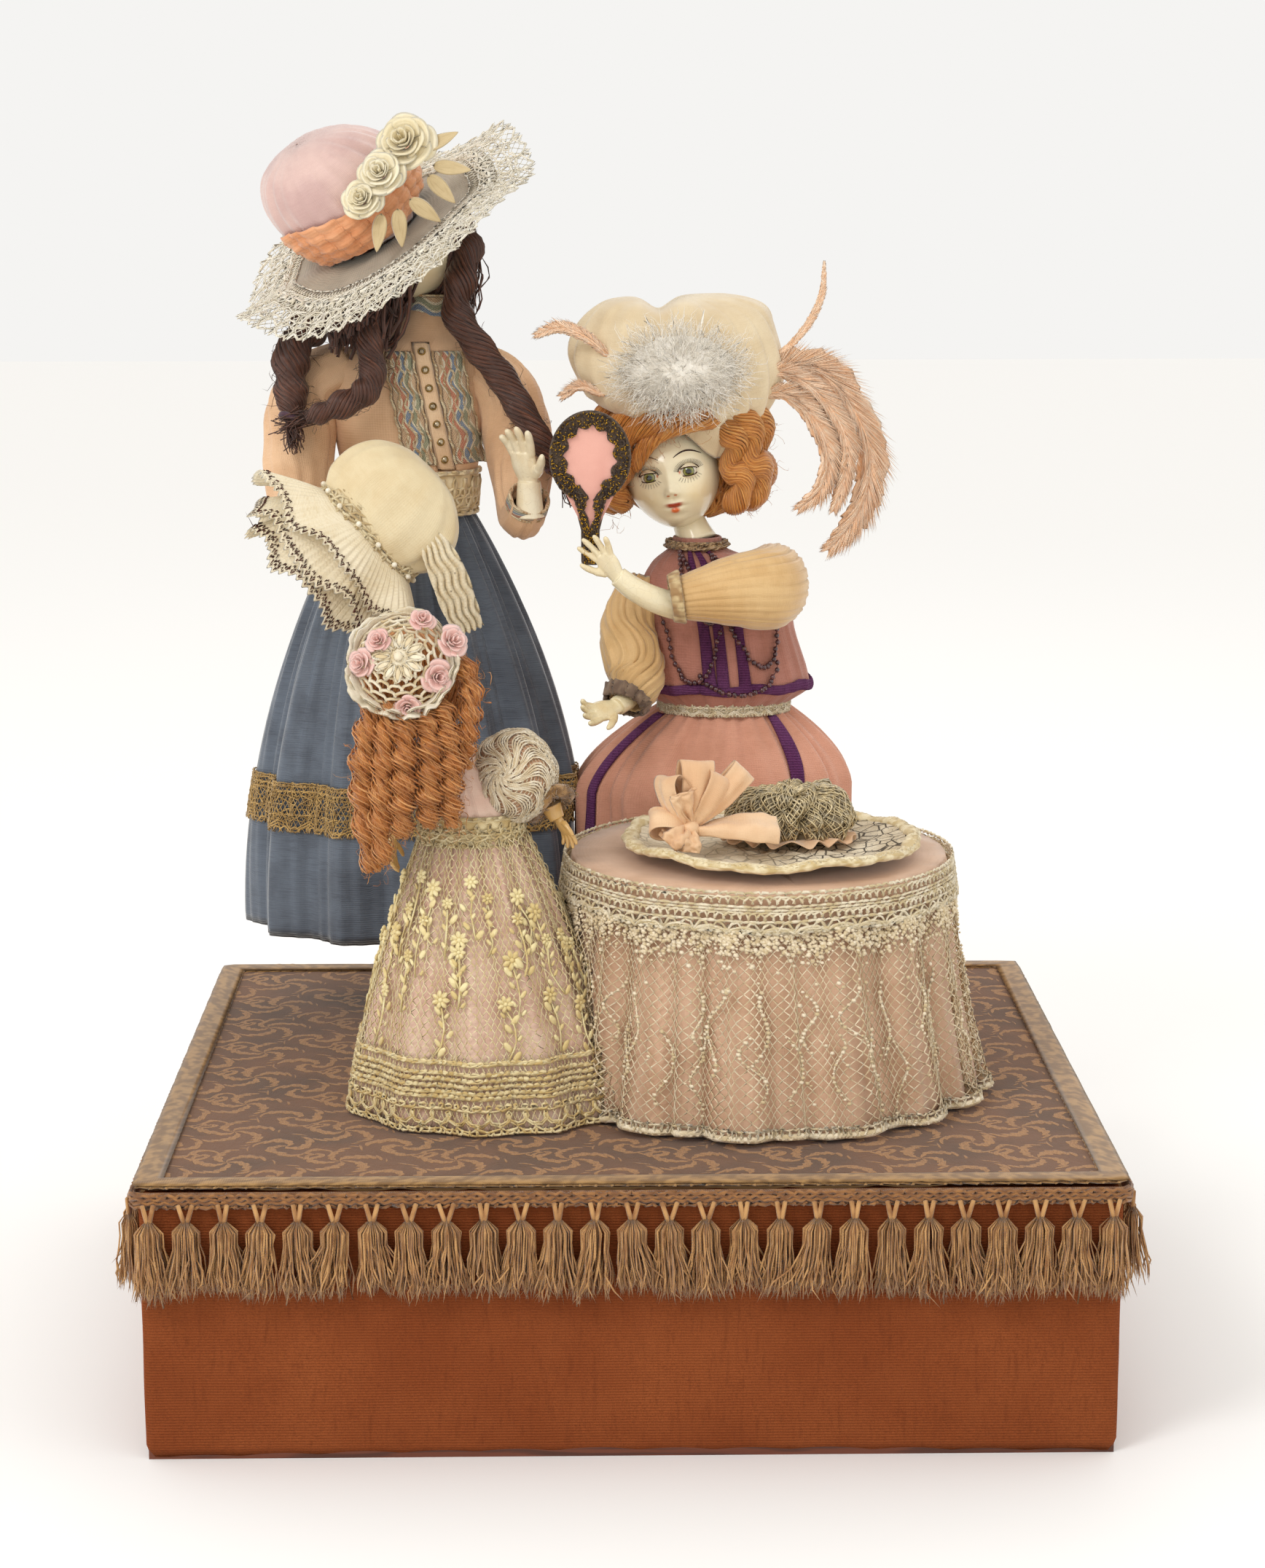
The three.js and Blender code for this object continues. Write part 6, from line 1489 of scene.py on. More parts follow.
def tulle(
    sheet: Array, threads: int, waves: float, thread: float, ring: bool = True, lift: float = 0.4,
    span: tuple[float, float] = (0.0, 1.0)
) -> Form:
    """Tulle: upright threads that jog left and right; neighbours jog against each other, so six-sided cells
    lie between.

    Args:
        sheet: Grid, shape (rows, cols, 3).
        threads: Number of threads, even.
        waves: Jogs to and fro on the way up.
        thread: Thread radius.
        ring: Whether the sheet runs round.
        lift: Height above the sheet.
        span: Lowest and highest share.
    Returns:
        The net as closed surfaces.
    """
    corner = np.array([0.13, 0.37, 0.63, 0.87])
    at = (np.arange(int(waves))[:, None] + corner).ravel() / waves
    jog = np.tile([1.0, 1.0, -1.0, -1.0], int(waves))
    k = np.arange(threads)[:, None]
    u = (k + 0.5 + np.where(k % 2 == 0, 1, -1) * 0.47 * jog) / threads
    lines = sampled(sheet, u, span[0] + (span[1] - span[0]) * at[None] + 0 * u, lift, ring)
    return tubes(lines, thread, 3)


def petal_rose(size: float, petals: int = 18, seed: int = 1, rows: int = 9) -> Form:
    """A soft rose about Z: cupped petals round a spiral, each further out, lower and leaning more than the
    last.

    Args:
        size: Outer radius.
        petals: Number of petals.
        seed: Seed of their unevenness.
        rows: Points across and up a petal.
    Returns:
        The rose about the origin.
    """
    rng = np.random.default_rng(seed)
    k = np.arange(petals)[:, None, None] / petals
    s = np.linspace(-1, 1, rows + 4)[None, :, None]
    v = np.linspace(0, 1, rows)[None, None]
    lean = 0.1 + 1.25 * k**1.2 + rng.normal(0, 0.06, (petals, 1, 1))
    high = size * (1.0 - 0.2 * k) * rng.uniform(0.9, 1.08, (petals, 1, 1))
    edge = 1 - 0.22 * np.abs(s) ** 2.5
    radial = size * (0.05 + 0.22 * k) + v * high * np.sin(lean) * edge + 0.1 * size * v**3 * k
    wide = (1.25 - 0.45 * k) * np.sin(0.35 + 1.25 * v) ** 0.6
    turn = 2.399 * np.arange(petals)[:, None, None] + s * wide
    z = (
        v * high * np.cos(lean) * edge + 0.07 * size * np.sin(4.2 * s + 6 * k * petals) * v**2
        - 0.12 * size * v**3 * k
    )
    return joined(
        *[cloth(sheet, size * 0.05) for sheet in xyz(radial * np.cos(turn), radial * np.sin(turn), z)]
    )


def hand(
    wrist: Array | list, ahead: Array | list, palm: Array | list, size: float, fan: float = 0.16,
    curl: float = 0.35, thumb: float = 1.0, side: int = 1
) -> Form:
    """A hand: a flat swelling palm, four tapering fingers of two bends each, and a thumb.

    Args:
        wrist: Its start.
        ahead: Direction of the fingers.
        palm: Direction that the palm faces.
        size: Length of the palm.
        fan: Angle between fingers.
        curl: Bend of the fingers towards the palm.
        thumb: Spread of the thumb.
        side: 1 where the thumb lies on the left of the fingers seen from the palm, else -1.
    Returns:
        The hand as closed surfaces.
    """
    a, n = unit(np.asarray(ahead, float)), np.asarray(palm, float)
    n = unit(n - a * float(a @ n))
    across = np.cross(a, n) * side
    start = np.asarray(wrist, float)
    body = swept(
        [start - a * size * 0.25, start, start + a * size * 0.5, start + a * size * 0.95],
        [size * 0.26, size * 0.27, size * 0.4, size * 0.38],
        [size * 0.2, size * 0.18, size * 0.19, size * 0.15], 24, 26, tuple(n)
    )
    parts = [
        grids(
            np.concatenate(
                [
                    body[:1] * 0 + body[:1].mean(1, keepdims=True), body,
                    body[-1:] * 0 + body[-1:].mean(1, keepdims=True)
                ]
            ),
            loop=True
        )
    ]
    for k, (place, long) in enumerate(((-0.3, 0.78), (-0.1, 0.92), (0.1, 0.86), (0.29, 0.68))):
        root = start + a * size * 0.86 + across * place * size
        way = unit(a + across * fan * (k - 1.5))
        bend = curl * (1 + 0.35 * k)
        one = root + unit(way + n * bend * 0.35) * long * size * 0.45
        two = one + unit(way + n * bend) * long * size * 0.32
        tip = two + unit(way + n * bend * 1.6) * long * size * 0.26
        line = spline([root, one, two, tip], 16)
        parts.append(
            tubes(
                line[None], size * np.array([0.115] * 6 + [0.108] * 5 + [0.1, 0.095, 0.085, 0.07, 0.04]), 10
            )
        )
    root = start + a * size * 0.3 - across * size * 0.3
    way = unit(a * 0.7 - across * 0.75 * thumb + n * 0.35)
    line = spline(
        [
            root, root + way * size * 0.35, root + way * size * 0.62 + a * size * 0.08,
            root + way * size * 0.8 + a * size * 0.2
        ],
        14
    )
    parts.append(
        tubes(line[None], size * np.array([0.15] * 5 + [0.125] * 4 + [0.115, 0.105, 0.095, 0.08, 0.05]), 10)
    )
    return joined(*parts)


def locks(
    paths: Array, radius: float | Array, turns: float, strands: int = 5, thick: float = 0.62,
    rows: int = 48, sides: int = 7, tail: float = 0.25
) -> Form:
    """Twisted locks of hair: strands wound round each path, thin at the tip.

    Args:
        paths: Shape (lock, point, 3).
        radius: Radius of a lock.
        turns: Turns over its length.
        strands: Strands in a lock.
        thick: Strand radius as a share of the lock's.
        rows: Points along a strand.
        sides: Corners of a strand.
        tail: Size at the tip as a share.
    Returns:
        The strands as closed surfaces.
    """
    t = np.linspace(0, 1, rows)
    shape = np.minimum(1, 0.55 + 4 * t) * (1 - (1 - tail) * np.clip((t - 0.72) / 0.28, 0, 1) ** 1.6)
    lines = wound(paths, strands, radius * (1 - thick) * shape * 1.25, turns, rows)
    return tubes(lines, radius * thick * shape, sides, flat=0.8)


def wisps(
    rng: np.random.Generator, roots: Array, tips: Array, sag: float, radius: float, steps: int = 9,
    stray: float = 1.5
) -> Form:
    """Single hairs from roots to tips: straight lines bowed by the sag and by a random swing.

    Args:
        rng: Seeded generator.
        roots: Shape (hair, 3).
        tips: Shape (hair, 3).
        sag: Bow of the middle.
        radius: Radius of a hair.
        steps: Points of a hair.
        stray: Size of the random swing.
    Returns:
        The hairs as closed surfaces.
    """
    t = np.linspace(0, 1, max(5, 2 * steps // 3))[None, :, None]
    bow = (
        rng.normal(0, 1, (len(roots), 1, 3)) * stray * np.sin(math.pi * t)
        + rng.normal(0, 0.5, (len(roots), 1, 3)) * stray * np.sin(TAU * t)
    )
    lines = roots[:, None] * (1 - t) + tips[:, None] * t + bow - np.array([0, 0, sag]) * np.sin(math.pi * t)
    return tubes(lines, radius, 3)


class Expression(Enum):
    """How a head's face is painted: full, or only what shows under a brim."""

    FULL = 1
    PROFILE = 2


@dataclass
class Head:
    """A composition head with glass eyes, painted brows, lashes and lips, set on its neck."""

    name: str
    body: str
    slot: str
    centre: tuple[float, float, float]
    halves: tuple[float, float, float]
    neck_at: tuple[float, float, float]
    neck: float
    yaw: float = 0.0
    tilt: float = 0.0
    nod: float = 0.0
    look: Expression = Expression.FULL
    jaw: float = 0.3
    skin: str = "efe3c2"
    blush: str = "e2c69a"

    def turn(self) -> Array:
        """Turning matrix: tilt about the line of sight, then nod, then yaw about the upright."""
        c, s = math.cos(self.tilt), math.sin(self.tilt)
        roll = np.array([[c, 0, s], [0, 1, 0], [-s, 0, c]])
        c, s = math.cos(self.nod), math.sin(self.nod)
        pitch = np.array([[1, 0, 0], [0, c, -s], [0, s, c]])
        c, s = math.cos(self.yaw), math.sin(self.yaw)
        return np.array([[c, -s, 0], [s, c, 0], [0, 0, 1]]) @ roll @ pitch

    def out(self, x: Array, z: Array) -> Array:
        """How far the face stands forward at places across and up, both as shares of the half sizes.

        Args:
            x: Share across.
            z: Share up.
        Returns:
            Depth in millimetres to add towards the front.
        """

        def bell(cx: float, cz: float, wx: float, wz: float) -> Array:
            """A bell-shaped bump at a place."""
            return np.exp(-(((x - cx) / wx) ** 2) - ((z - cz) / wz) ** 2)

        pairs = sum(
            -2.1 * bell(s * 0.42, 0.1, 0.21, 0.15) + 1.2 * bell(s * 0.5, -0.32, 0.26, 0.24)
            + 0.7 * bell(s * 0.4, 0.32, 0.3, 0.1) for s in (-1, 1)
        )
        nose = (
            1.5 * bell(0, 0.02, 0.1, 0.2) + 3.0 * bell(0, -0.2, 0.12, 0.09)
            + 0.8 * bell(0.1, -0.25, 0.06, 0.05) + 0.8 * bell(-0.1, -0.25, 0.06, 0.05)
        )
        lips = (
            1.5 * bell(0, -0.45, 0.19, 0.055) + 1.5 * bell(0, -0.57, 0.15, 0.06)
            - 1.3 * bell(0, -0.505, 0.2, 0.022) - 0.5 * bell(0, -0.34, 0.05, 0.06)
        )
        chin = 1.9 * bell(0, -0.82, 0.3, 0.17) - 0.6 * bell(0, -0.68, 0.25, 0.06)
        return pairs + nose + lips + chin

    def surface(self, rows: int = 130, sides: int = 200) -> tuple[Array, Array]:
        """The head as a grid, and its face colours.

        Args:
            rows: Points up.
            sides: Points round, closer together at the front.
        Returns:
            Places (sides, rows, 3) before turning, and linear colours (sides, rows, 4).
        """
        a = np.arange(sides) * TAU / sides
        a = a - 0.62 * np.sin(a)
        b = np.linspace(-math.pi / 2, math.pi / 2, rows)
        a, b = np.meshgrid(a, b, indexing="ij")
        x, y, z = np.sin(a) * np.cos(b), -np.cos(a) * np.cos(b), np.sin(b)
        low = np.clip(-z, 0, 1)
        wide = 1 - self.jaw * low**1.7
        x, y = x * wide, y * (1 - 0.22 * low**2 * (y > 0)) + 0.02 * low
        front = np.clip(-y, 0, 1) ** 0.7
        p = xyz(x * self.halves[0], y * self.halves[1] - self.out(x, z) * front, z * self.halves[2])
        paint = np.broadcast_to(np.array(tone(self.skin)), (*x.shape, 4)).copy()

        def wash(code: str, share: Array) -> None:
            """Lays a colour over the skin by a share."""
            s = np.clip(share, 0, 1)[..., None] * (y < 0)[..., None]
            paint[:] = paint * (1 - s) + np.array(tone(code)) * s

        def spot(cx: float, cz: float, wx: float, wz: float, hard: float = 2.0) -> Array:
            """A soft-edged oval share."""
            return 1.2 * np.exp(-((((x - cx) / wx) ** 2 + ((z - cz) / wz) ** 2) ** hard))

        for s in (-1, 1):
            wash(self.blush, 0.45 * spot(s * 0.52, -0.3, 0.24, 0.2, 1))
            wash("8d7a52", 0.5 * spot(s * 0.42, 0.2, 0.24, 0.09, 1))
            wash("d06a2c", 0.9 * spot(s * 0.075, -0.275, 0.035, 0.022))
            wash("cf5a2a", 0.9 * spot(s * 0.235, 0.1, 0.022, 0.02))
        bow = 0.025 * np.cos(np.clip(x / 0.1, -math.pi, math.pi))
        wash("a83a1e", spot(0, -0.445, 0.17, 0.05) * (z < -0.49 + 0.07))
        wash("c2492a", spot(0, -0.47 - bow, 0.15, 0.03))
        wash("e8743a", spot(0, -0.565, 0.09, 0.055))
        wash("7c2c18", 0.8 * spot(0, -0.505, 0.15, 0.012, 3))
        return p, paint

    def on_face(self, x: Array, z: Array, lift: float) -> Array:
        """Places on the front of the head at shares across and up, raised, before turning.

        Args:
            x: Share across.
            z: Share up.
            lift: Height above the skin.
        Returns:
            Shape of x, with 3 values.
        """
        low = np.clip(-z, 0, 1)
        round_ = np.sqrt(np.clip(1 - z**2 - (x / (1 - self.jaw * low**1.7)) ** 2, 0.01, 1))
        return xyz(
            x * self.halves[0], -round_ * self.halves[1] - self.out(x, z) * round_**0.7 - lift,
            z * self.halves[2]
        )

    def build(self, node: str) -> None:
        """Head and neck, eyes, brows and lashes.

        Args:
            node: CAD node that the head stands for.
        """
        turn, centre = self.turn(), np.array(self.centre)
        p, paint = self.surface()
        skull = grids(p @ turn.T + centre, ring=True)
        neck_low = np.array(self.neck_at)
        up = np.linspace(0, 1, 14)
        top = centre + turn @ np.array([0, self.halves[1] * 0.25, -self.halves[2] * 0.5])
        line = neck_low * (1 - up[:, None]) + top * up[:, None]
        size = self.neck * (1.12 - 0.25 * np.sin(up * math.pi * 0.8))
        neck = tubes(line[None], size[None], 40)
        skin = Composition(f"{self.name} skin", self.skin, self.blush, coat=0.6, rough=0.26).made()
        tree = skin.node_tree
        shader = tree.nodes["Principled BSDF"]
        colour = tree.nodes.new("ShaderNodeAttribute")
        colour.attribute_name = "paint"
        wash = tree.nodes.new("ShaderNodeMix")
        wash.data_type, wash.blend_type = "RGBA", "MULTIPLY"
        wash.inputs[0].default_value = 1.0
        ground = shader.inputs["Base Color"].links[0].from_socket
        lighter = tree.nodes.new("ShaderNodeMix")
        lighter.data_type = "RGBA"
        lighter.inputs[0].default_value = 0.25
        lighter.inputs[6].default_value = (1, 1, 1, 1)
        tree.links.new(ground, lighter.inputs[7])
        tree.links.new(colour.outputs["Color"], wash.inputs[6])
        tree.links.new(lighter.outputs[2], wash.inputs[7])
        tree.links.new(wash.outputs[2], shader.inputs["Base Color"])
        colours = np.concatenate(
            [paint.reshape(-1, 4), np.broadcast_to(np.array(tone(self.skin)), (len(neck.points), 4))]
        )
        placed(f"{self.name}_face", joined(skull, neck), skin, self.body, (node,), paint=colours)
        if self.look is Expression.FULL:
            self.eyes(turn, centre)
            self.hairs(turn, centre)

    def eyes(self, turn: Array, centre: Array) -> None:
        """Two glass eyes: flattened balls whose iris and pupil are rings about the line of sight.

        Args:
            turn: Turning matrix.
            centre: Middle of the head.
        """
        for side, word in ((-1, "left"), (1, "right")):
            local = np.array([side * 0.415 * self.halves[0], -0.815 * self.halves[1], 0.1 * self.halves[2]])
            ball = egg([0, 0, 0], [3.9, 3.6, 3.1], 28, 40) + local
            place = ball @ turn.T + centre
            sight = (local + np.array([0.3, -3.6, -0.1])) @ turn.T + centre
            t = Tree(f"{self.name} glass eye {word}")
            at = t.where()
            away = t.node("VectorMath", {0: at, 1: tuple(sight)}, operation="DISTANCE").outputs["Value"]
            spokes = t.noise(at, 1.6, 2.0)
            mixed = t.math("ADD", t.math("MULTIPLY", away, 0.2), t.math("MULTIPLY", spokes, 0.03))
            colour = t.ramp(
                mixed, (0.0, tone("060606")), (0.24, tone("0a0a08")), (0.28, tone("5f6028")),
                (0.44, tone("8c8c44")), (0.55, tone("302c14")), (0.6, tone("e4dcc8"))
            )
            glass = t.dressed(Base_Color=colour, Roughness=0.06, Coat_Weight=1.0, Coat_Roughness=0.02)
            placed(f"{self.name}_eye_{word}", grids(place, ring=True), glass, self.body)
            b = np.linspace(0, 1, 14)[None]
            a = np.linspace(-1.5, 1.5, 30)[:, None]
            rise = (0.66 - 0.22 * a**2) * (1 - b) + 1.5 * b
            lid = xyz(
                4.15 * np.sin(a) * np.cos(rise), -3.95 * np.cos(a) * np.cos(rise), 3.35 * np.sin(rise)
            ) + local
            drop = np.clip(b * 0.35, 0, 1)
            low_rise = (-0.7 + 0.12 * a**2) * (1 - drop) - 1.5 * drop
            under = xyz(
                4.1 * np.sin(a) * np.cos(low_rise), -3.85 * np.cos(a) * np.cos(low_rise),
                3.3 * np.sin(low_rise)
            ) + local
            skin = Composition(f"{self.name} lid {word}", self.skin, self.blush, coat=0.6, rough=0.26).made()
            lids = joined(cloth(lid @ turn.T + centre, 0.3), cloth(under @ turn.T + centre, 0.3))
            placed(f"{self.name}_lids_{word}", lids, skin, self.body)
            rim = [
                tubes((edge @ turn.T + centre)[None], 0.24, 5)
                for edge in (lid[:, 0] + [0, -0.12, -0.05], under[:, 0] + [0, -0.1, 0.05])
            ]
            lash_line = Enamel(f"{self.name} lid edge {word}", "3c1e10", "5a3420", 0.5, 0.2).made()
            placed(f"{self.name}_lid_edge_{word}", joined(*rim), lash_line, self.body)

    def hairs(self, turn: Array, centre: Array) -> None:
        """Brows in short strokes, a dark upper lid, and fine lashes round each eye.

        Args:
            turn: Turning matrix.
            centre: Middle of the head.
        """
        t = np.linspace(0, 1, 18)
        strokes, fine = [], []
        for side in (-1, 1):
            x = side * (0.16 + 0.56 * t)
            strokes.append(self.on_face(x, 0.33 + 0.13 * np.sin(math.pi * (0.12 + 0.8 * t)) - 0.02 * t, 0.05))
            angle = math.pi * (0.04 + 0.92 * t)
            strokes.append(
                self.on_face(side * 0.42 + 0.215 * np.cos(angle), 0.1 + 0.125 * np.sin(angle), 0.35)
            )
            lash = np.linspace(0.06, 0.94, 26) * math.pi
            lash = np.concatenate([lash, -lash[4:-4:2]])
            grow = np.linspace(0, 1, 5)[None]
            reach = 0.135 + 0.075 * grow
            lx = side * 0.42 + (0.225 + 0.08 * grow) * np.cos(lash)[:, None]
            lz = 0.1 + reach * np.sin(lash)[:, None]
            fine.append(self.on_face(lx, lz, 0.12))
        brow_width = np.stack([0.15 + 0.35 * np.sin(math.pi * t) ** 0.7, 0.3 + 0 * t] * 2)
        lines = np.stack(strokes) @ turn.T + centre
        lashes = np.concatenate(fine) @ turn.T + centre
        dark = Enamel(f"{self.name} brow paint", "33180e", "4a2a18", 0.5, 0.2).made()
        both = joined(tubes(lines, brow_width, 5, flat=0.45), tubes(lashes, 0.07, 3))
        placed(f"{self.name}_brows", both, dark, self.body)


def sheeted(
    sheets: list[tuple[Array, bool]],
) -> None:
    """Works out a piece's cloth cut: as long as its longest column, as wide as its longest row, and of its
    area; the result is not used.
    has its area.

    Args:
        sheets: Its grids, each with whether it runs round.
    """
    real = sum(area(grid, ring) for grid, ring in sheets)
    long = max(float(np.linalg.norm(np.diff(grid, axis=1), axis=-1).sum(1).max()) for grid, _ in sheets) * MM
    long = max(long, 0.0101)
    wide = max(
        max(float(np.linalg.norm(np.diff(grid, axis=0), axis=-1).sum(0).max()) for grid, _ in sheets) * MM,
        real / long
    )
    wide = min(wide, real / long / 0.45)


def turned(yaw: float = 0.0, pitch: float = 0.0, roll: float = 0.0) -> Array:
    """Turning matrix: roll about Z, then pitch about X, then yaw about Y.

    Args:
        yaw: Angle about Y in radians.
        pitch: Angle about X in radians.
        roll: Angle about Z in radians.
    Returns:
        The matrix, for columns.
    """
    c, s = math.cos(roll), math.sin(roll)
    z = np.array([[c, -s, 0], [s, c, 0], [0, 0, 1]])
    c, s = math.cos(pitch), math.sin(pitch)
    x = np.array([[1, 0, 0], [0, c, -s], [0, s, c]])
    c, s = math.cos(yaw), math.sin(yaw)
    return np.array([[c, 0, s], [0, 1, 0], [-s, 0, c]]) @ x @ z


def dome(
    levels: list[tuple[float, float]], folds: int, fold: float, rows: int = 50, sides: int = 300,
    twist: float = 0.0, seed: int = 1
) -> Array:
    """A gathered crown about Z: a smooth profile whose radius is in by the folds, which fade towards its top.

    Args:
        levels: Radius and height from the base to the top.
        folds: Number of folds.
        fold: Their depth as a share of the radius.
        rows: Points up.
        sides: Points round.
        twist: Turn of the folds over the height.
        seed: Seed of the slow dents.
    Returns:
        Shape (sides, rows, 3).
    """
    rng = np.random.default_rng(seed)
    r, z = spline(levels, rows).T
    t = np.linspace(0, 1, rows)[None]
    a = (np.arange(sides) * TAU / sides)[:, None]
    dents = sum(
        rng.normal(0, 0.022) * np.cos(k * a + rng.uniform(0, TAU) + 3 * t * rng.normal())
        for k in (2, 3, 4, 5)
    )
    wave = np.abs(np.sin(folds * a / 2 + twist * t + 1.2 * np.sin(a * 2))) ** 0.7
    k = 1 + dents - fold * (1 - wave) * (1 - 0.5 * t) + 0.35 * fold * np.cos(folds * 2.5 * a + 4 * t)
    return xyz(k * r * np.cos(a), k * r * np.sin(a), z + 1.2 * np.cos(3 * a + 4 * t) * (1 - t))


def ringed(
    inner: float, outer: float, sides: int = 480, rows: int = 24, wave: float = 2.0, waves: int = 5,
    sag: float = 0.0, curl: float = 0.0
) -> Array:
    """A brim about Z: height waves round the edge more and more outwards, with a sag and a curl at the rim.

    Args:
        inner: Inner radius.
        outer: Outer radius.
        sides: Points round.
        rows: Points outwards.
        wave: Height of the waves at the edge.
        waves: Waves round it.
        sag: Drop of the edge.
        curl: Rise of the last part.
    Returns:
        Shape (sides, rows, 3).
    """
    a = (np.arange(sides) * TAU / sides)[:, None]
    t = np.linspace(0, 1, rows)[None]
    r = inner + (outer - inner) * t
    z = (
        wave * t**1.6 * np.sin(waves * a + 1.1 * np.sin(2 * a)) - sag * t**2
        + curl * np.clip((t - 0.7) / 0.3, 0, 1) ** 2
    )
    return xyz(r * np.cos(a), r * np.sin(a), z + 0 * a)


def lace(
    sheet: Array, repeats: int, cells: int, slant: float, thread: float, ring: bool = True,
    lift: float = 0.3
) -> Form:
    """Lace on a strip: diamond net, straight threads at its head, fans of loops and a scalloped picot edge.

    Args:
        sheet: The strip, u along and v across towards the free edge.
        repeats: Scallops along it.
        cells: Net threads of each slant.
        slant: Cells that a net thread passes.
        thread: Thread radius.
        ring: Whether it runs round.
        lift: Height above the strip.
    Returns:
        The lace as closed surfaces.
    """
    rows = [
        (0.03, 0.012, 0.0, 3, 0.0), (0.09, 0.012, 0.0, 3, 0.5), (0.84, 0.09, 0.0, 1, 0.0),
        (0.9, 0.09, 0.0, 1, 0.0), (0.62, 0.12, 0.32, 1, 0.5), (0.5, 0.2, 0.2, 1, 0.0),
        (0.93, 0.06, 0.05, 5, 0.2), (0.36, 0.1, 0.36, 2, 0.25), (0.7, 0.07, 0.25, 3, 0.4),
        (0.22, 0.05, 0.2, 4, 0.0),
    ]
    return joined(
        netting(sheet, cells, slant, thread * 0.55, ring, steps=14, lift=lift),
        crochet(sheet, rows, repeats, thread, ring, steps=7, lift=lift)
    )


def ribbon(
    path: Array | list, wide: float | Array, lean: Array | tuple, pleats: int = 5, deep: float = 1.0,
    rows: int = 80, cols: int = 24, curve: float = 0.0
) -> Array:
    """A band along a path: its width lies across the lean direction and is pleated into waves along the lean.

    Args:
        path: Points of the path.
        wide: Half width, one or one for each point of the path.
        lean: Direction that the band faces.
        pleats: Waves across the width.
        deep: Height of the waves.
        rows: Points along it.
        cols: Points across.
        curve: Bow across the width towards the lean.
    Returns:
        Shape (rows, cols, 3).
    """
    count = len(path)
    run = spline(np.concatenate([np.asarray(path, float), np.broadcast_to(wide, (count,))[:, None]], 1), rows)
    side, up = framed(run[None, :, :3], lean=np.asarray(lean, float))
    s = np.linspace(-1, 1, cols)[None]
    t = np.linspace(0, 1, rows)[:, None]
    height = deep * np.sin(pleats * math.pi * (s + 0.08 * np.sin(7 * t * math.pi))) - curve * s**2
    return (
        run[:, None, :3] + side[0][:, None] * (s * run[:, 3:4])[..., None]
        + up[0][:, None] * height[..., None]
    )


def strands_over(
    shell: Array, count: int, radius: float, waves: float = 0.02, lift: float = 0.6, rows: int = 17,
    span: tuple[float, float] = (0.02, 0.98), seed: int = 3, drift: float = 0.0, sides: int = 4
) -> Form:
    """Locks that lie on a ring-shaped shell from high v to low v, swaying to and fro and drifting round it.

    Args:
        shell: Grid of the head of hair, round in u, upwards in v.
        count: Number of locks.
        radius: Radius of a lock.
        waves: Sway as a share of the way round.
        lift: Height above the shell.
        rows: Points of a lock.
        span: Lowest and highest share.
        seed: Seed of the sway.
        drift: Share of the way round that a lock drifts.
        sides: Corners of a lock.
    Returns:
        The locks as closed surfaces.
    """
    rng = np.random.default_rng(seed)
    t = np.linspace(0, 1, rows)[None]
    low = span[0] + rng.uniform(0, 0.06, (count, 1))
    v = span[1] - (span[1] - low) * t
    u = (np.arange(count)[:, None] + rng.uniform(-0.3, 0.3, (count, 1))) / count
    u = (
        u
        + waves * np.sin(TAU * (rng.uniform(0.8, 1.6, (count, 1)) * t + rng.uniform(0, 1, (count, 1)))) * t
        + drift * t
    )
    lines = sampled(shell, u, v, lift + rng.uniform(-0.4, 0.8, (count, 1)) * np.sin(math.pi * t), True)
    return tubes(
        lines, radius * (0.35 + 0.65 * np.sin(math.pi * np.clip(t[0] * 0.92 + 0.06, 0, 1)) ** 0.5), sides,
        flat=0.7
    )


def hand_piece(
    node: str, body: str, finish: bpy.types.Material, form: Form,
    arm: tuple[Array | list, float, float] | None = None, voxel: float = 0.35,
) -> bpy.types.Object:
    """A hand, with its forearm where there is one, melted into one skin.

    Args:
        node: CAD node that it stands for.
        body: CAD body that it moves with.
        finish: Its material.
        form: The hand.
        arm: Path of the forearm and its radii at start and end, or None.
        voxel: Cell of the skin.
    Returns:
        The piece.
    """
    if arm is not None:
        path = spline(arm[0], 24)
        form = joined(form, tubes(path[None], np.linspace(arm[1], arm[2], 24), 24))
    piece = placed(f"{node}_skin", form, finish, body, (node,))
    softened(piece, voxel, 5)
    piece.data.materials.clear()
    piece.data.materials.append(finish)
    return piece


def pleated(
    tube: Array, pleats: int, deep: float, full: float = 1.0, twist: float = 0.6, seed: int = 5
) -> Array:
    """A gathered sleeve: each oval shrinks about its middle in pleats that are deepest at both gathered ends.

    Args:
        tube: Shape (sides, rows, 3).
        pleats: Number of pleats.
        deep: Their depth as a share of the radius.
        full: Share of the depth that stays in the middle.
        twist: Turn of the pleats along the sleeve.
        seed: Seed of the uneven spacing.
    Returns:
        The sleeve, same shape.
    """
    rng = np.random.default_rng(seed)
    middle = tube.mean(0, keepdims=True)
    a = (np.arange(tube.shape[0]) * TAU / tube.shape[0])[:, None]
    t = np.linspace(0, 1, tube.shape[1])[None]
    uneven = 1.3 * np.sin(a + rng.uniform(0, TAU)) + 0.7 * np.sin(3 * a + rng.uniform(0, TAU))
    gather = full + (1 - full) * np.abs(2 * t - 1) ** 1.5
    wave = np.abs(np.sin(pleats * a / 2 + uneven + twist * t)) ** 0.75
    fine = 0.3 * np.cos(pleats * 1.7 * a + 5 * t + uneven)
    cross = 0.25 * np.sin(9 * t * math.pi + 2 * a) * np.cos(2 * a + 5 * t)
    k = 1 - deep * gather * (1 - wave + fine + cross)
    return middle + (tube - middle) * k[..., None]


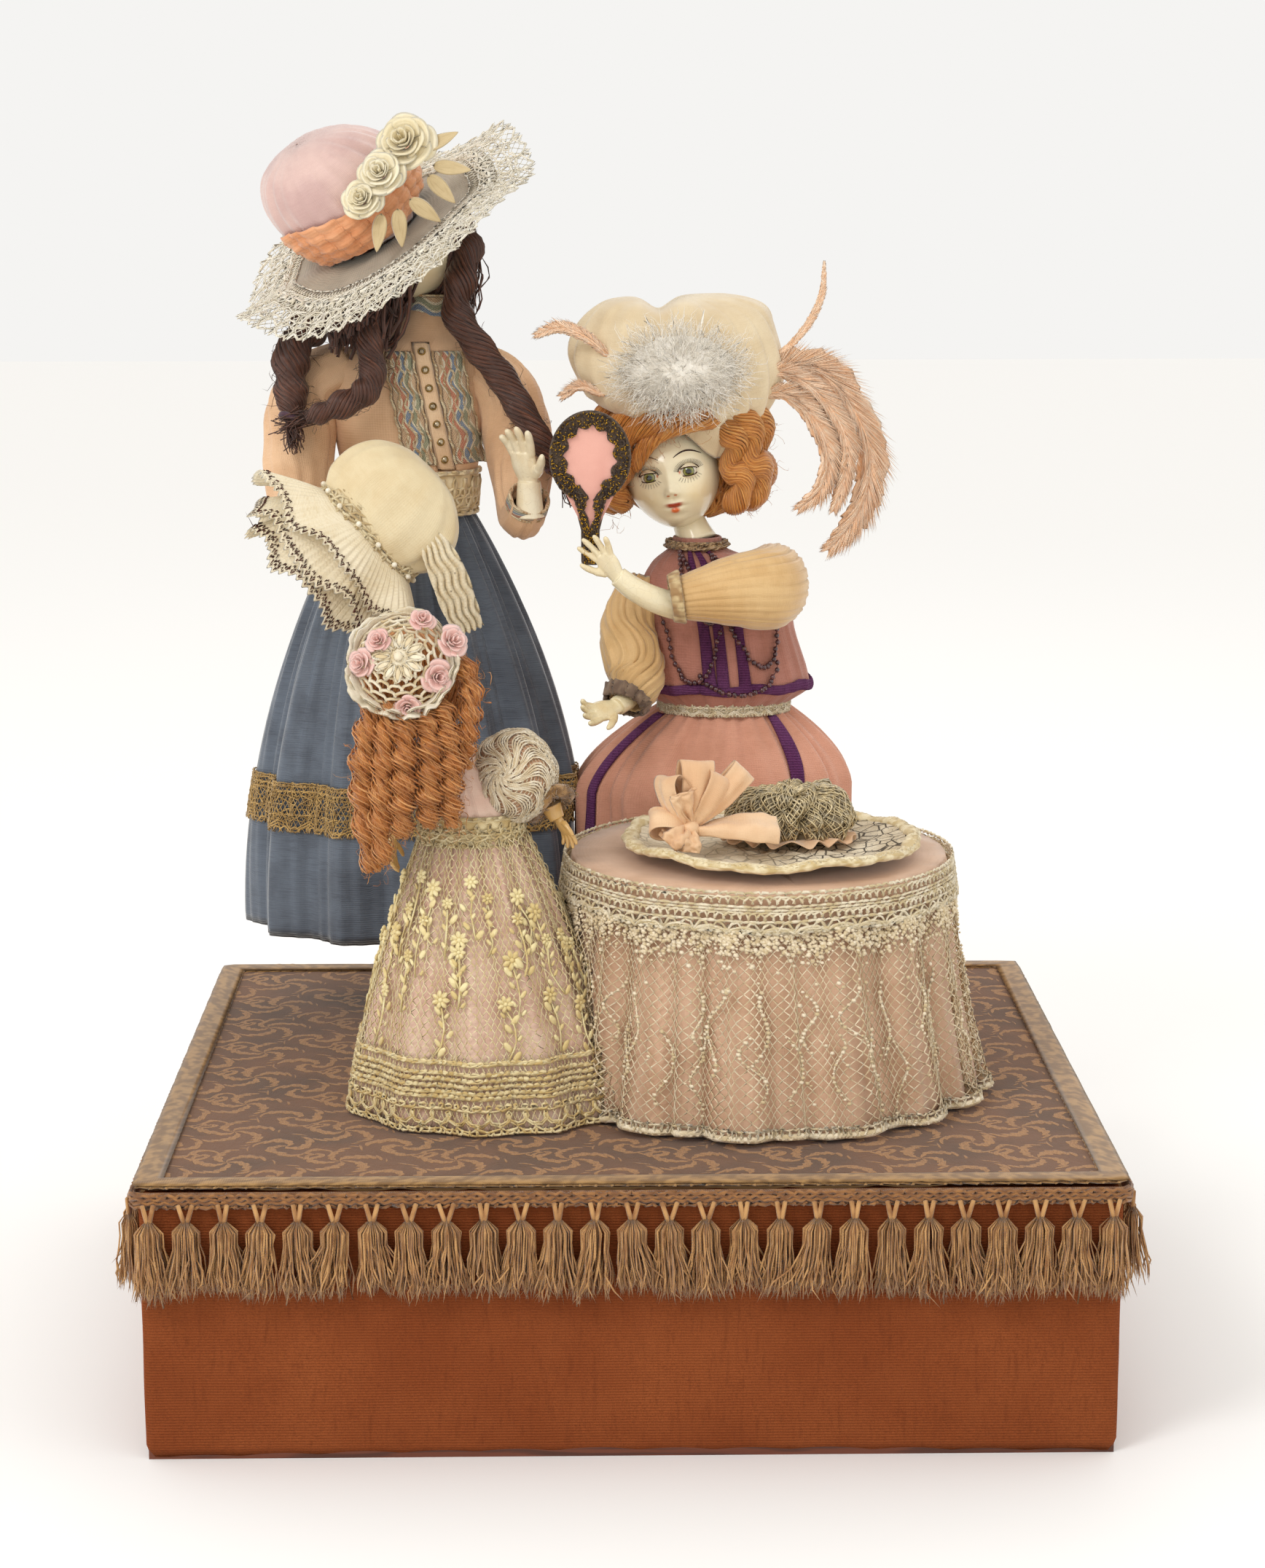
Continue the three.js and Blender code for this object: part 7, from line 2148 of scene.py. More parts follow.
@dataclass
class StandingGirl:
    """The standing doll: silk and lace hat, rope plaits, embroidered blouse, taffeta skirt, bonnet on her
    forearm.
    """

    low: float = 153.5
    waist: float = 347.5
    hem: tuple[float, float] = (81.0, 57.0)
    belt: float = 20.0
    hat_at: tuple[float, float, float] = (-107.0, 97.9, 469.5)
    hat_yaw: float = -0.54
    hat_pitch: float = 0.33
    lace_to: float = 76.0
    bonnet_at: tuple[float, float, float] = (-110.5, 40.0, 342.0)

    def build(self) -> None:
        """Builds the doll from her feet to her hat."""
        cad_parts["girl_legs"].data.materials.clear()
        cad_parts["girl_legs"].data.materials.append(
            Fabric("girl stocking", "d9c8a6", "a8926c", Weave.CANVAS, stripe="6c4a34", stripe_mm=200).made()
        )
        self.skirt()
        self.blouse()
        self.head()
        self.hair()
        self.hat()
        self.arm()

    def skirt(self) -> None:
        """Taffeta skirt, a gold lace band near its hem and a crochet belt."""
        grid = flounce(
            -94, 100, -96, self.low, self.waist, self.hem, (26.5, 19.5), 2.1, 13, 6.0, rows=90, sides=640,
            fine=1.3
        )
        z = grid[..., 2]
        grid = pressed(grid, 41, 98, np.where(z < 216.5, 68.2, 60), np.where(z < 216.5, 43.2, 19))
        silk = Fabric("slate taffeta", "626b77", "414650", Weave.TAFFETA, 0.5, 0.42, 0.4).made()
        skirt = placed(
            "girl_skirt_silk", cloth(grid, 0.7, ring=True), silk, "base", ("girl_skirt",)
        )
        span = self.waist - self.low
        low, high = (202 - self.low) / span, (225 - self.low) / span
        u, v = np.meshgrid(np.linspace(0, 1, 640, endpoint=False), np.linspace(high, low, 14), indexing="ij")
        band = sampled(grid, u, v, 0.9, True)
        gold = Thread("gold lace thread", "c9a25c", "9a7840", 0.5).made()
        bits = joined(lace(band, 34, 300, 6, 0.42, lift=-0.9), tubes(band[None, :, 1], 0.7, 5, closed=True))
        trim = placed("girl_skirt_lace", bits, gold, "base")
        sheeted([(grid, True)])
        a = (np.arange(240) * TAU / 240)[:, None]
        up = np.linspace(0, 1, 10)[None]
        size = 1 + 0.05 * up
        belt = xyz(
            -96 + 29.5 * size * np.cos(a), 100 + 22.5 * size * np.sin(a),
            self.waist - 4 + self.belt * up + 0 * a
        )
        cream = Thread("belt crochet", "ead9b4", "cdb384", 0.7).made()
        rows = [
            (0.5, 0.36, 0.28, 1, 0.0), (0.5, 0.36, 0.28, 1, 0.5), (0.5, 0.12, 0.4, 2, 0.0),
            (0.04, 0.03, 0.3, 2, 0), (0.96, 0.03, 0.3, 2, 0)
        ]
        placed(
            "girl_belt",
            joined(cloth(belt, 1.2, ring=True), crochet(belt, rows, 15, 0.75, lift=1.0, steps=10)), cream,
            "base"
        )

    def blouse(self) -> None:
        """Cotton blouse: bodice, two gathered sleeves, high collar, placket of glass beads and
        embroidered trimming.
        """
        levels = [
            (345.5, -96, 100, 26.8, 19.2), (369.5, -96, 100, 31.5, 21.8), (391.5, -96, 100, 35.5, 23.2),
            (409.1, -93.6, 100, 36, 21), (417.9, -91.2, 100, 30.5, 17.8), (424.9, -86.4, 100, 17.6, 13.2),
            (435.5, -84, 100, 10.4, 10.0),
        ]
        grid = bodice(levels, 70, 260)
        grid = pleated(grid, 9, 0.014, 0.5)
        left = swept(
            [
                (-72, 100, 410.9), (-52.5, 97, 395.9), (-45.75, 91, 367.4), (-45, 74.5, 344.35),
                (-41.25, 64, 353.8)
            ],
            [12, 15.5, 14.5, 10, 8.8], rows=80, sides=150
        ).transpose(1, 0, 2)
        right = swept(
            [(-120, 100, 410.9), (-141, 98.5, 395.9), (-145.5, 89.5, 365.9), (-145.5, 76, 338)],
            [12, 15.5, 15.5, 10.8], rows=70, sides=150
        ).transpose(1, 0, 2)
        left, right = pleated(left, 8, 0.1, 0.6, seed=4), pleated(right, 8, 0.1, 0.6, seed=9)
        cotton = Fabric("peach cotton", "e9c19a", "cda078", Weave.PLAIN, 0.3, 0.8, 0.15).made()
        parts = joined(cloth(grid, 0.8, ring=True), cloth(left, 0.8, ring=True), cloth(right, 0.8, ring=True))
        blouse = placed("girl_blouse_cotton", parts, cotton, "base", ("girl_blouse",))
        strips = [(-96.5, 6.4), (-74.5, 6.4)]
        forms, chains = [], []
        for x, wide in strips:
            z = np.linspace(366.5, 417, 60)
            s = np.linspace(-1, 1, 9)
            px = (
                x - (z[:, None] - 400) * 0.2
                + s[None] * wide * (1 + 0.06 * np.cos(z[:, None] * TAU / 9) * np.abs(s))
            )
            strip = self.on_front(grid, px, z[:, None] + 0 * s, 1.1)
            forms.append(cloth(strip, 1.0, size=(52, 13)))
            for side, sway in ((0, 0.0), (8, 0.0), (2, 0.7), (6, 0.7), (4, 1.2)):
                line = strip[:, side] + [0, -0.8, 0] + xyz(sway * np.sin(z * TAU / 9), 0 * z, 0 * z)
                chains.append(tubes(wound(line[None], 2, 0.35, 26, 240), 0.38, 4))
        a = np.linspace(0, TAU, 200, endpoint=False)[:, None]
        up = np.linspace(0, 1, 9)[None]
        collar = xyz(
            -84 + (11.3 - 0.6 * up) * np.cos(a), 100 + (10.9 - 0.6 * up) * np.sin(a), 426 + 15 * up + 0 * a
        )
        forms.append(cloth(collar, 1.2, ring=True, size=(72, 13)))
        for row in (0, 3, 5, 8):
            chains.append(
                tubes(
                    wound(
                        collar[:, row][None]
                        + unit(collar[:, row] - [-84, 100, 0])[None] * [0.7, 0.7, 0],
                        2, 0.3, 60, 500
                    ),
                    0.38, 4
                )
            )
        for path in (left, right):
            ring = path[:, -9:-1]
            middle = ring.mean(0, keepdims=True)
            away = unit(ring - middle)
            band = middle + away * np.linalg.norm(ring - middle, axis=-1).mean() * 1.03
            forms.append(cloth(band, 1.2, ring=True, size=(60, 13)))
            for row in (0, 3, 7):
                chains.append(
                    tubes(
                        wound(np.concatenate([band[:, row], band[:1, row]])[None], 2, 0.35, 40, 400), 0.4, 4
                    )
                )
        silk = Embroidery("blouse embroidery", "d6b088", ("cf7a58", "6f8aa8", "93997a"), 17.0, 13.0).made()
        placed("girl_trimming", joined(*forms), silk, "base")
        placed(
                "girl_chain_stitch", joined(*chains),
                Thread("chain stitch silk", "e2d2ae", "b89468").made(), "base"
            )
        z = np.linspace(364, 421, 60)
        s = np.linspace(-1, 1, 5)
        placket = self.on_front(
            grid, -85.5 - (z[:, None] - 400) * 0.2 + s[None] * 4.0, z[:, None] + 0 * s, 1.5
        )
        placed(
                "girl_placket", cloth(placket, 0.9),
                Fabric("placket cotton", "e5c6a2", "cfa67c", Weave.PLAIN, 0.3, 0.8).made(), "base",
            )
        z = np.linspace(369, 417, 7)
        at = self.on_front(grid, (-85.5 - (z - 400) * 0.2)[:, None], z[:, None], 2.5)[:, 0]
        bead = grids(egg([0, 0, 0], [1.4, 1.4, 1.0], 9, 14), ring=True)
        rim = tubes(
            xyz(
                1.5 * np.cos(np.arange(16) * TAU / 16), 1.5 * np.sin(np.arange(16) * TAU / 16), np.zeros(16)
            )[None],
            0.28, 5, closed=True
        )
        faces = facing(np.tile([0.0, -1.0, 0.15], (7, 1)))
        placed(
                "girl_beads", copies(bead, at, faces),
                Enamel("mirror bead", "b9a98c", "6e5c42", 0.1, 0.5, 0.7).made(), "base"
            )
        placed(
                "girl_bead_rims", copies(rim, at, faces), Metal("bead mount", "9a7a3c", "5c4420").made(),
                "base"
            )
        sheeted(
            [(grid, True), (left, True), (right, True)],
        )
        tips = (
            (-0.0505, 0.0520, 0.3905), (-0.0545, 0.0500, 0.3835), (-0.0520, 0.0490, 0.3770),
            (-0.0470, 0.0480, 0.3690)
        )
        skin = Composition("girl hand ivory", "eee2c4", "dcc08e", "d8763a", tips, 2.6).made()
        form = hand([-41.5, 63, 360], (-0.2, -0.3, 0.95), (-0.55, -0.8, 0.1), 16.5, 0.12, 0.22, side=-1)
        hand_piece(
            "girl_left_hand", "base", skin, form,
            ([(-41.2, 64, 345), (-41.4, 63.6, 352), (-41.5, 63, 361)], 6.6, 5.2)
        )

    def on_front(self, grid: Array, x: Array, z: Array, lift: float) -> Array:
        """Places on the front half of the bodice at the given x and z: y from the oval of that height.

        Args:
            grid: The bodice.
            x: Places across.
            z: Heights.
            lift: Distance in front of it.
        Returns:
            Shape of x with 3 values.
        """
        heights = grid[0, :, 2]
        middle_x = np.interp(z, heights, grid[..., 0].mean(0))
        half_x = np.interp(z, heights, np.ptp(grid[..., 0], 0) / 2)
        half_y = np.interp(z, heights, np.ptp(grid[..., 1], 0) / 2)
        y = 100 - half_y * np.sqrt(np.clip(1 - ((x - middle_x) / half_x) ** 2, 0.02, 1)) - lift
        return xyz(x, y, z)

    def under_brim(self, points: Array) -> Array:
        """Points that stand higher than the underside of the brim are pressed down by 0.94 of what they
        stand over it.

        Args:
            points: Shape (..., 3).
        Returns:
            The pressed points.
        """
        up = turned(self.hat_yaw, self.hat_pitch) @ np.array([0, 0, 1.0])
        rise = (points - np.array(self.hat_at)) @ up
        far = np.linalg.norm(points - np.array(self.hat_at) - rise[..., None] * up, axis=-1)
        over = rise + 3.0 + 5.5 * np.clip((far - 20) / 45, 0, 1)
        return points - up * (0.94 * np.maximum(over, 0) * (far > 16))[..., None]

    def head(self) -> None:
        """Head under the brim; what would stand through the brim is pressed down."""
        Head(
            "girl", "girl_head_group", "composition", (-90, 97.9, 462.5), (19.5, 20.5, 23.5),
            (-84, 100, 434), 8.2, yaw=-0.35, tilt=0.1, nod=0.2,
        ).build("girl_head")
        face = bpy.data.objects["girl_face"].data
        points = np.empty(len(face.vertices) * 3, np.float32)
        face.vertices.foreach_get("co", points)
        face.vertices.foreach_set(
            "co", (self.under_brim(points.reshape(-1, 3).astype(float) / MM) * MM).ravel()
        )
        face.update()

    def hair(self) -> None:
        """Dark mohair: a shell, loose locks over it, rope plaits over both shoulders and loose ends."""
        dark = Tresses("dark mohair", "44261a", "8a5236", "1c0e08", 0.4).made()
        shell = egg([-90, 101, 463.5], [23.5, 23.5, 27], 40, 90)
        c = shell - [-90, 101, 463.5]
        open_front = (
            np.clip((-c[..., 1] - 9) / 10, 0, 1) * np.clip((14 - c[..., 2]) / 8, 0, 1)
            * np.clip((13 - np.abs(c[..., 0] - 1)) / 5, 0, 1)
        )
        shell[..., 1] += open_front * 16
        form = grids(shell, ring=True, size=(150, 80))
        form.uv = form.uv[..., ::-1].copy()
        locks_on = strands_over(shell, 150, 1.25, 0.03, 0.5, span=(0.1, 0.97), seed=11)
        rng = np.random.default_rng(5)
        roots = xyz(rng.uniform(-112, -100, 130), rng.uniform(76, 88, 130), rng.uniform(452, 476, 130))
        tips = xyz(rng.uniform(-118, -96, 130), rng.uniform(70, 84, 130), rng.uniform(430, 448, 130))
        loose = wisps(rng, roots, tips, 1.5, 0.5, 12, 2.6)
        roots = xyz(rng.uniform(-71, -64, 70), rng.uniform(84, 100, 70), rng.uniform(458, 474, 70))
        tips = xyz(rng.uniform(-75, -64, 70), rng.uniform(76, 90, 70), rng.uniform(428, 446, 70))
        loose = joined(loose, wisps(rng, roots, tips, 1.5, 0.4, 12, 2.2))
        many = 240
        roots = xyz(rng.uniform(-128, -92, many), rng.uniform(74, 92, many), rng.uniform(452, 474, many))
        tips = xyz(
            -116 + (roots[:, 0] + 110) * 0.75, rng.uniform(66, 86, many),
            430 - 0.5 * np.abs(roots[:, 0] + 108) + rng.normal(0, 4, many)
        )
        curtain = wisps(rng, roots, tips, 2.0, 0.95, 12, 2.2)
        mass = joined(form, locks_on, loose, curtain)
        mass.points = self.under_brim(mass.points)
        placed("girl_hair_locks", mass, dark, "girl_head_group", ("girl_hair",))
        paths = (
            (
                [
                    (-92, 128, 424), (-118, 104, 440), (-136, 92, 430), (-146, 84, 418), (-147, 78, 400),
                    (-146, 72, 388)
                ],
                7.0, 4.2
            ),
            (
                [
                    (-92, 128, 424), (-84, 112, 440), (-69, 91, 462), (-71, 81, 450), (-73, 79, 434),
                    (-63, 77, 418), (-53, 76, 405), (-44, 74, 390), (-34, 73, 374), (-27, 76, 362)
                ],
                6.0, 8.0
            ),
            (
                [
                    (-96, 128, 424), (-108, 96, 446), (-108, 78, 436), (-111, 70, 420), (-110, 66, 408),
                    (-115, 63, 399), (-128, 63, 393), (-139, 66, 389)
                ],
                5.4, 6.5
            ),
        )
        plaits, tufts, ends = [], [], []
        for way, size, turns in paths:
            line = spline(way, 120)
            ends.append(line)
            beat = np.linspace(0, 1, 130)
            swell = size * (
                1 + 0.12 * np.sin(TAU * turns * 1.2 * beat) + 0.07 * np.sin(TAU * 9 * beat + size)
            )
            plaits.append(locks(line[None], swell, turns * 0.45, 15, 0.25, rows=130, sides=4, tail=0.55))
            drop = unit(line[-1] - line[-6]) * 12
            picks = line[rng.integers(0, 116, 260)]
            tufts.append(
                wisps(
                    rng, line[-2] + rng.normal(0, 1.6, (60, 3)),
                    line[-1] + drop + rng.normal(0, 2.6, (60, 3)), 0.5, 0.3, 8, 1.2
                )
            )
            tufts.append(
                wisps(
                    rng, picks + rng.normal(0, size * 0.5, (260, 3)),
                    picks + rng.normal(0, size * 0.75, (260, 3)), 0.3, 0.13, 7, 2.0
                )
            )
        placed("girl_plait_ropes", joined(*plaits, *tufts), dark, "base", ("girl_plaits",))
        around = np.arange(20) * TAU / 20
        ties = [
            tubes(
                (path[-4] + 5.0 * xyz(np.cos(around), np.sin(around), 0.2 * np.sin(2 * around)))[None], 1.3,
                6, closed=True
            ) for path in ends[:2]
        ]
        placed(
            "girl_plait_ties", joined(*ties), Fabric("plait ribbon", "6a4a58", "3c2832").made(), "base",
        )

    def hat(self) -> None:
        """Linen brim with a broad lace edge, puffed silk crown, gauze scarf, gauze roses and felt leaves."""
        turn = turned(self.hat_yaw, self.hat_pitch)
        at = np.array(self.hat_at)
        body, slot = "girl_head_group", "hat_silk"
        whole = ringed(18, self.lace_to, wave=5.0, waves=4, sag=4.0, curl=1.0, rows=46, sides=720)
        a = np.arctan2(whole[..., 1], whole[..., 0])
        out = np.linspace(0, 1, 46)[None]
        whole[..., 2] += (
            0.9 * np.sin(44 * a) * np.clip((out - 0.6) / 0.4, 0, 1) + 2.4 * np.sin(2 * a + 0.7) * out**2
        )
        whole = whole @ turn.T + at
        linen = Fabric("brim linen", "b6ab98", "948a79", Weave.CANVAS, 0.3, 0.8).made()
        flat, edge = whole[:, :32], whole[:, 20:]
        brim_piece = placed("girl_hat_brim", cloth(flat, 1.2, ring=True), linen, body, ("girl_hat",))
        cream = Thread("hat lace thread", "f8f2e2", "e6dcc4", 0.7, 0.4).made()
        rows = [
            (0.04, 0.02, 0.2, 3, 0.0), (0.3, 0.13, 0.34, 1, 0.0), (0.3, 0.13, 0.34, 1, 0.5),
            (0.3, 0.06, 0.3, 2, 0.2), (0.56, 0.13, 0.32, 1, 0.25), (0.56, 0.09, 0.36, 2, 0.0),
            (0.8, 0.1, 0.3, 1, 0.5), (0.9, 0.07, 0.05, 1, 0.0), (0.94, 0.05, 0.04, 3, 0.1),
            (0.7, 0.07, 0.3, 2, 0.4),
        ]
        parts = joined(
            tulle(edge, 320, 8, 0.26, lift=-1.2), crochet(edge, rows, 40, 0.42, True, steps=8, lift=-1.5),
            crochet(edge, rows[1:4], 27, 0.34, True, steps=8, lift=-1.8)
        )
        lace_piece = placed("girl_hat_lace", parts, cream, body)
        sheeted([(flat, True)])
        crown = dome(
            [(25, -2), (30, 8), (32, 20), (29.5, 32), (22, 42), (10, 47), (0.4, 48)], 9, 0.06, rows=70,
            twist=1.6
        )
        crown[..., 0] -= 0.16 * crown[..., 2]
        crown = crown @ turn.T + at + [-5.5, 0, 2.5]
        silk = Fabric("crown silk", "dcbcb2", "b6918e", Weave.SILK, 0.55, 0.36, 0.12).made()
        crown_piece = placed("girl_hat_crown", cloth(crown, 0.8, ring=True), silk, body)
        sheeted([(crown, True)])
        gauze = Fabric("scarf gauze", "de9260", "eab48c", Weave.CANVAS, 0.4, 0.7, 0.35).made()
        u, v = np.linspace(0, 1, 620, endpoint=False)[:, None], np.linspace(0, 1, 60)[None]
        fall = 0.05 * np.sin(TAU * u + 2.0)
        crumple = (
            0.7 * np.sin(TAU * (4 * v + 0.5 * np.sin(TAU * 2 * u) + 0.15 * np.sin(TAU * 7 * u + 2)))
            + 0.4 * np.sin(TAU * (10 * v + 0.9 * np.sin(TAU * 3 * u + 1)))
            + 0.16 * np.sin(TAU * (70 * u + 6 * v))
        )
        scarf = sampled(
            crown, u + 0 * v, np.clip(0.03 + fall + (0.3 + 0.05 * np.sin(TAU * 2 * u)) * v, 0.0, 0.6),
            2.4 + crumple * np.sin(math.pi * np.clip(v, 0.06, 0.94)) ** 0.5, True
        )
        scarf_piece = placed("girl_hat_scarf", cloth(scarf, 0.5, ring=True), gauze, body)
        sheeted([(scarf, True)])
        rose = Fabric("rose gauze", "f5ecd2", "e4d4a8", Weave.CANVAS, 0.5, 0.7).made()
        spots = ((-94, 64, 507, 12.5), (-104, 57, 494, 10.5), (-112, 55, 483, 9.0))
        roses = joined(
            *[
                copies(
                    petal_rose(size, 22, k + 3), np.array([[x, y, z]]),
                    facing(np.array([[-0.2, -0.9, 0.4]]))
                ) for k,
                (x, y, z, size) in enumerate(spots)
            ]
        )
        placed("girl_hat_roses", roses, rose, body)
        felt = Fabric("leaf felt", "cfba90", "a99168", Weave.FELT, 0.6, 0.95).made()
        along, across = np.linspace(0, 1, 16)[:, None], np.linspace(-1, 1, 9)[None]
        blade = cloth(
            xyz(
                3.6 * across * np.sin(math.pi * along**0.7) ** 0.8, 17 * along + 0 * across,
                0.9 * np.abs(across) * (1 - along)
            ),
            0.7
        )
        leaves = []
        for x, y, z, way in (
            (-82, 60, 498, (1, -0.1, -0.1)), (-84, 57, 494, (0.75, -0.2, -0.75)),
            (-92, 54, 484, (0.85, -0.2, -0.6)), (-97, 54, 480, (0.1, -0.2, -1)),
            (-104, 54, 478, (-0.15, -0.15, -1)), (-86, 62, 505, (0.9, 0, 0.45))
        ):
            ahead, up = unit(np.array(way, float)), np.array([-0.3, -0.85, 0.45])
            side = unit(np.cross(ahead, up))
            leaves.append(
                copies(
                    blade, np.array([[x, y, z]]), np.stack([side, ahead, np.cross(side, ahead)], -1)[None]
                )
            )
        placed("girl_hat_leaves", joined(*leaves), felt, body)

    def arm(self) -> None:
        """Forearm under the bonnet, and the bonnet: puffed crown, crochet band, three chiffon frills with
        dark stitches.
        """
        skin = Composition("girl arm ivory", "eee2c4", "dcc08e").made()
        low, high = box_of("girl_right_forearm")
        elbow = np.array([-145.5, 77, 345.0])
        wrist = elbow + 0.72 * (np.array([high[0] - 7, low[1] + 5, (low[2] + high[2]) / 2]) - elbow)
        form = hand(wrist, wrist - elbow, (0.1, 0.2, -1), 15.0, 0.1, 0.5)
        hand_piece(
            "girl_right_forearm", "girl_forearm", skin, form,
            ([elbow, (elbow + wrist) / 2 + [0, 0, 0.5], wrist], 6.8, 4.6)
        )
        at = np.array(self.bonnet_at)
        out = unit(np.array([-0.74, -0.05, -0.67]))
        side = unit(np.cross(out, [0, 1, 0]))
        deep = np.cross(side, out)
        turn = xyz(side, deep * 0.5, out)
        body, slot = "girl_forearm", "cream_silk"
        silk = Fabric("bonnet silk", "e8d8b2", "cdb384", Weave.SILK, 0.5, 0.42, 0.1).made()
        crown = dome(
            [(27, 0), (32, 8), (32, 19), (26, 29), (14, 36), (0.4, 38)], 6, 0.05, rows=60, sides=260,
            twist=1.1, seed=4
        ) * [1, 1, -1]
        crown = crown @ turn.T + at
        placed("bonnet_crown", cloth(crown, 0.8, ring=True), silk, body, ("bonnet",))
        chiffon = Fabric("bonnet chiffon", "f0e4c8", "d6c197", Weave.CANVAS, 0.4, 0.7).made()
        frills, dashes = [], []
        for inner, outer, start, lift, waves in (
            (25, 50, 2, 17, 88), (24, 44, 6, 24, 76), (22, 35, 8, 30, 60)
        ):
            sheet = ringed(inner, outer, 1100, 20, wave=1.1, waves=waves)
            a = np.arctan2(sheet[..., 1], sheet[..., 0])
            t = np.linspace(0, 1, 20)[None]
            sheet[..., :2] *= (1 + 0.06 * np.cos(5 * a + start) * t)[..., None]
            sheet[..., 2] += (
                start + lift * t**1.3 + 3.0 * np.sin(6 * a + start) * t + 1.3 * np.sin(11 * a) * t**2
            )
            sheet = sheet @ turn.T + at
            frills.append(sheet)
            for row, slide in ((17, 0), (18, 3)):
                line = sheet[:, row] - normals(sheet, True)[:, row] * 0.6
                picks = np.arange(slide, 1100 - 6, 7)
                dashes.append(
                    np.stack(
                        [
                            line[picks + k]
                            + (sheet[picks + k, row + 1] - sheet[picks + k, row]) * 0.3 * (-1) ** k
                            for k in range(5)
                        ],
                        1
                    )
                )
        bell = placed(
            "bonnet_frills", joined(*[cloth(f, 0.5, ring=True) for f in frills]), chiffon, body
        )
        stitches = placed(
            "bonnet_stitches", tubes(np.concatenate(dashes), 0.3, 4),
            Enamel("stitch silk", "5c2c1c", "3a1a10", 0.6, 0).made(), body
        )
        sheeted([(f, True) for f in frills])
        ring = ringed(26.5, 26.5, 300, 10)
        ring[..., 2] += np.linspace(-6, 8, 10)[None]
        ring[..., :2] *= (1 + 0.03 * np.linspace(-1, 1, 10) ** 2)[None, :, None]
        ring = ring @ turn.T + at
        rows = [
            (0.5, 0.34, 0.28, 1, 0.0), (0.5, 0.34, 0.28, 1, 0.5), (0.05, 0.05, 0.3, 2, 0),
            (0.95, 0.05, 0.3, 2, 0), (0.5, 0.08, 0.3, 3, 0)
        ]
        band = joined(cloth(ring, 1.0, ring=True), crochet(ring, rows, 14, 0.65, lift=-1.0, steps=10))
        placed("bonnet_band", band, Thread("bonnet crochet", "e6d8b2", "bba274").made(), body)
        pearls = sampled(ring, np.arange(14) / 14, np.full(14, 0.5), -2.0, True)
        pearl = grids(egg([0, 0, 0], [1.3, 1.3, 1.3], 8, 12), ring=True)
        placed(
            "bonnet_pearls", copies(pearl, pearls, np.tile(np.eye(3), (14, 1, 1))),
            Enamel("seed pearl", "f2ead6", "d8ccb0", 0.15, 0.7).made(), body
        )
        strip = ribbon(
            [(-84, 30, 340), (-77, 27, 326), (-72, 27, 312), (-67, 30, 299)], [6, 8, 8, 6.5],
            (0.1, -1, 0.1), 5, 2.2, rows=90, cols=50
        )
        strip_piece = placed("bonnet_strip", cloth(strip, 0.5), chiffon, body)
        sheeted([(strip, False)])


def feather(
    spine: Array | list, width: float, lean: float, count: int = 150, radius: float = 0.2, seed: int = 2,
    face: Array | tuple = (0, -1, 0)
) -> Form:
    """A plume: a shaft, a thin bowed vane that narrows to the tip, and fine barbs lying forwards over both
    its halves.

    Args:
        spine: Points of the shaft.
        width: Half width of the vane.
        lean: Forward lean of a barb against its sideways reach.
        count: Barbs on each side.
        radius: Barb radius.
        seed: Seed of their disorder.
        face: Direction that the vane faces.
    Returns:
        The plume as closed surfaces.
    """
    rng = np.random.default_rng(seed)
    line = spline(spine, 160)
    side, up = framed(line[None], lean=np.asarray(face, float))
    ahead = slopes(line[None])[0]
    at = np.linspace(4, 156, count).astype(int)
    broad = width * np.sin(math.pi * np.linspace(0.1, 0.985, 160)) ** 0.55
    ragged = (1 + 0.09 * np.sin(np.arange(160) * 0.9) + 0.07 * np.sin(np.arange(160) * 0.37 + 1))[:, None]
    s = np.linspace(-1, 1, 13)[None]
    reach = broad[:, None] * ragged * s
    vane = (
        line[:, None] + side[0][:, None] * reach[..., None]
        - up[0][:, None]
        * (0.14 * width * s**2 + 0.25 * np.sin(np.arange(160)[:, None] * 0.6 + 3 * np.abs(s)))[..., None]
        + ahead[:, None] * (np.abs(reach) * lean * 0.5)[..., None]
    )
    t = np.linspace(0, 1, 5)[None, :, None]
    barbs = []
    for sign in (-1, 1):
        way = (
            sign * side[0][at][:, None]
            + ahead[at][:, None] * (lean + rng.uniform(-0.25, 0.5, (count, 1, 1)))
            + rng.normal(0, 0.1, (count, 1, 3))
        )
        bow = (
            up[0][at][:, None]
            * (0.35 * np.sin(2.8 * t) - 0.2 * t**2 + rng.normal(0, 0.1, (count, 1, 1)) * t)
        )
        barbs.append(
            line[at][:, None] + (way * t + bow) * (broad[at] * rng.uniform(0.8, 1.08, count))[:, None, None]
        )
    return joined(
        cloth(vane, 0.25), tubes(np.concatenate(barbs), radius * np.linspace(1.2, 0.5, 5), 3),
        tubes(line[None], np.linspace(0.7, 0.25, 160), 6)
    )


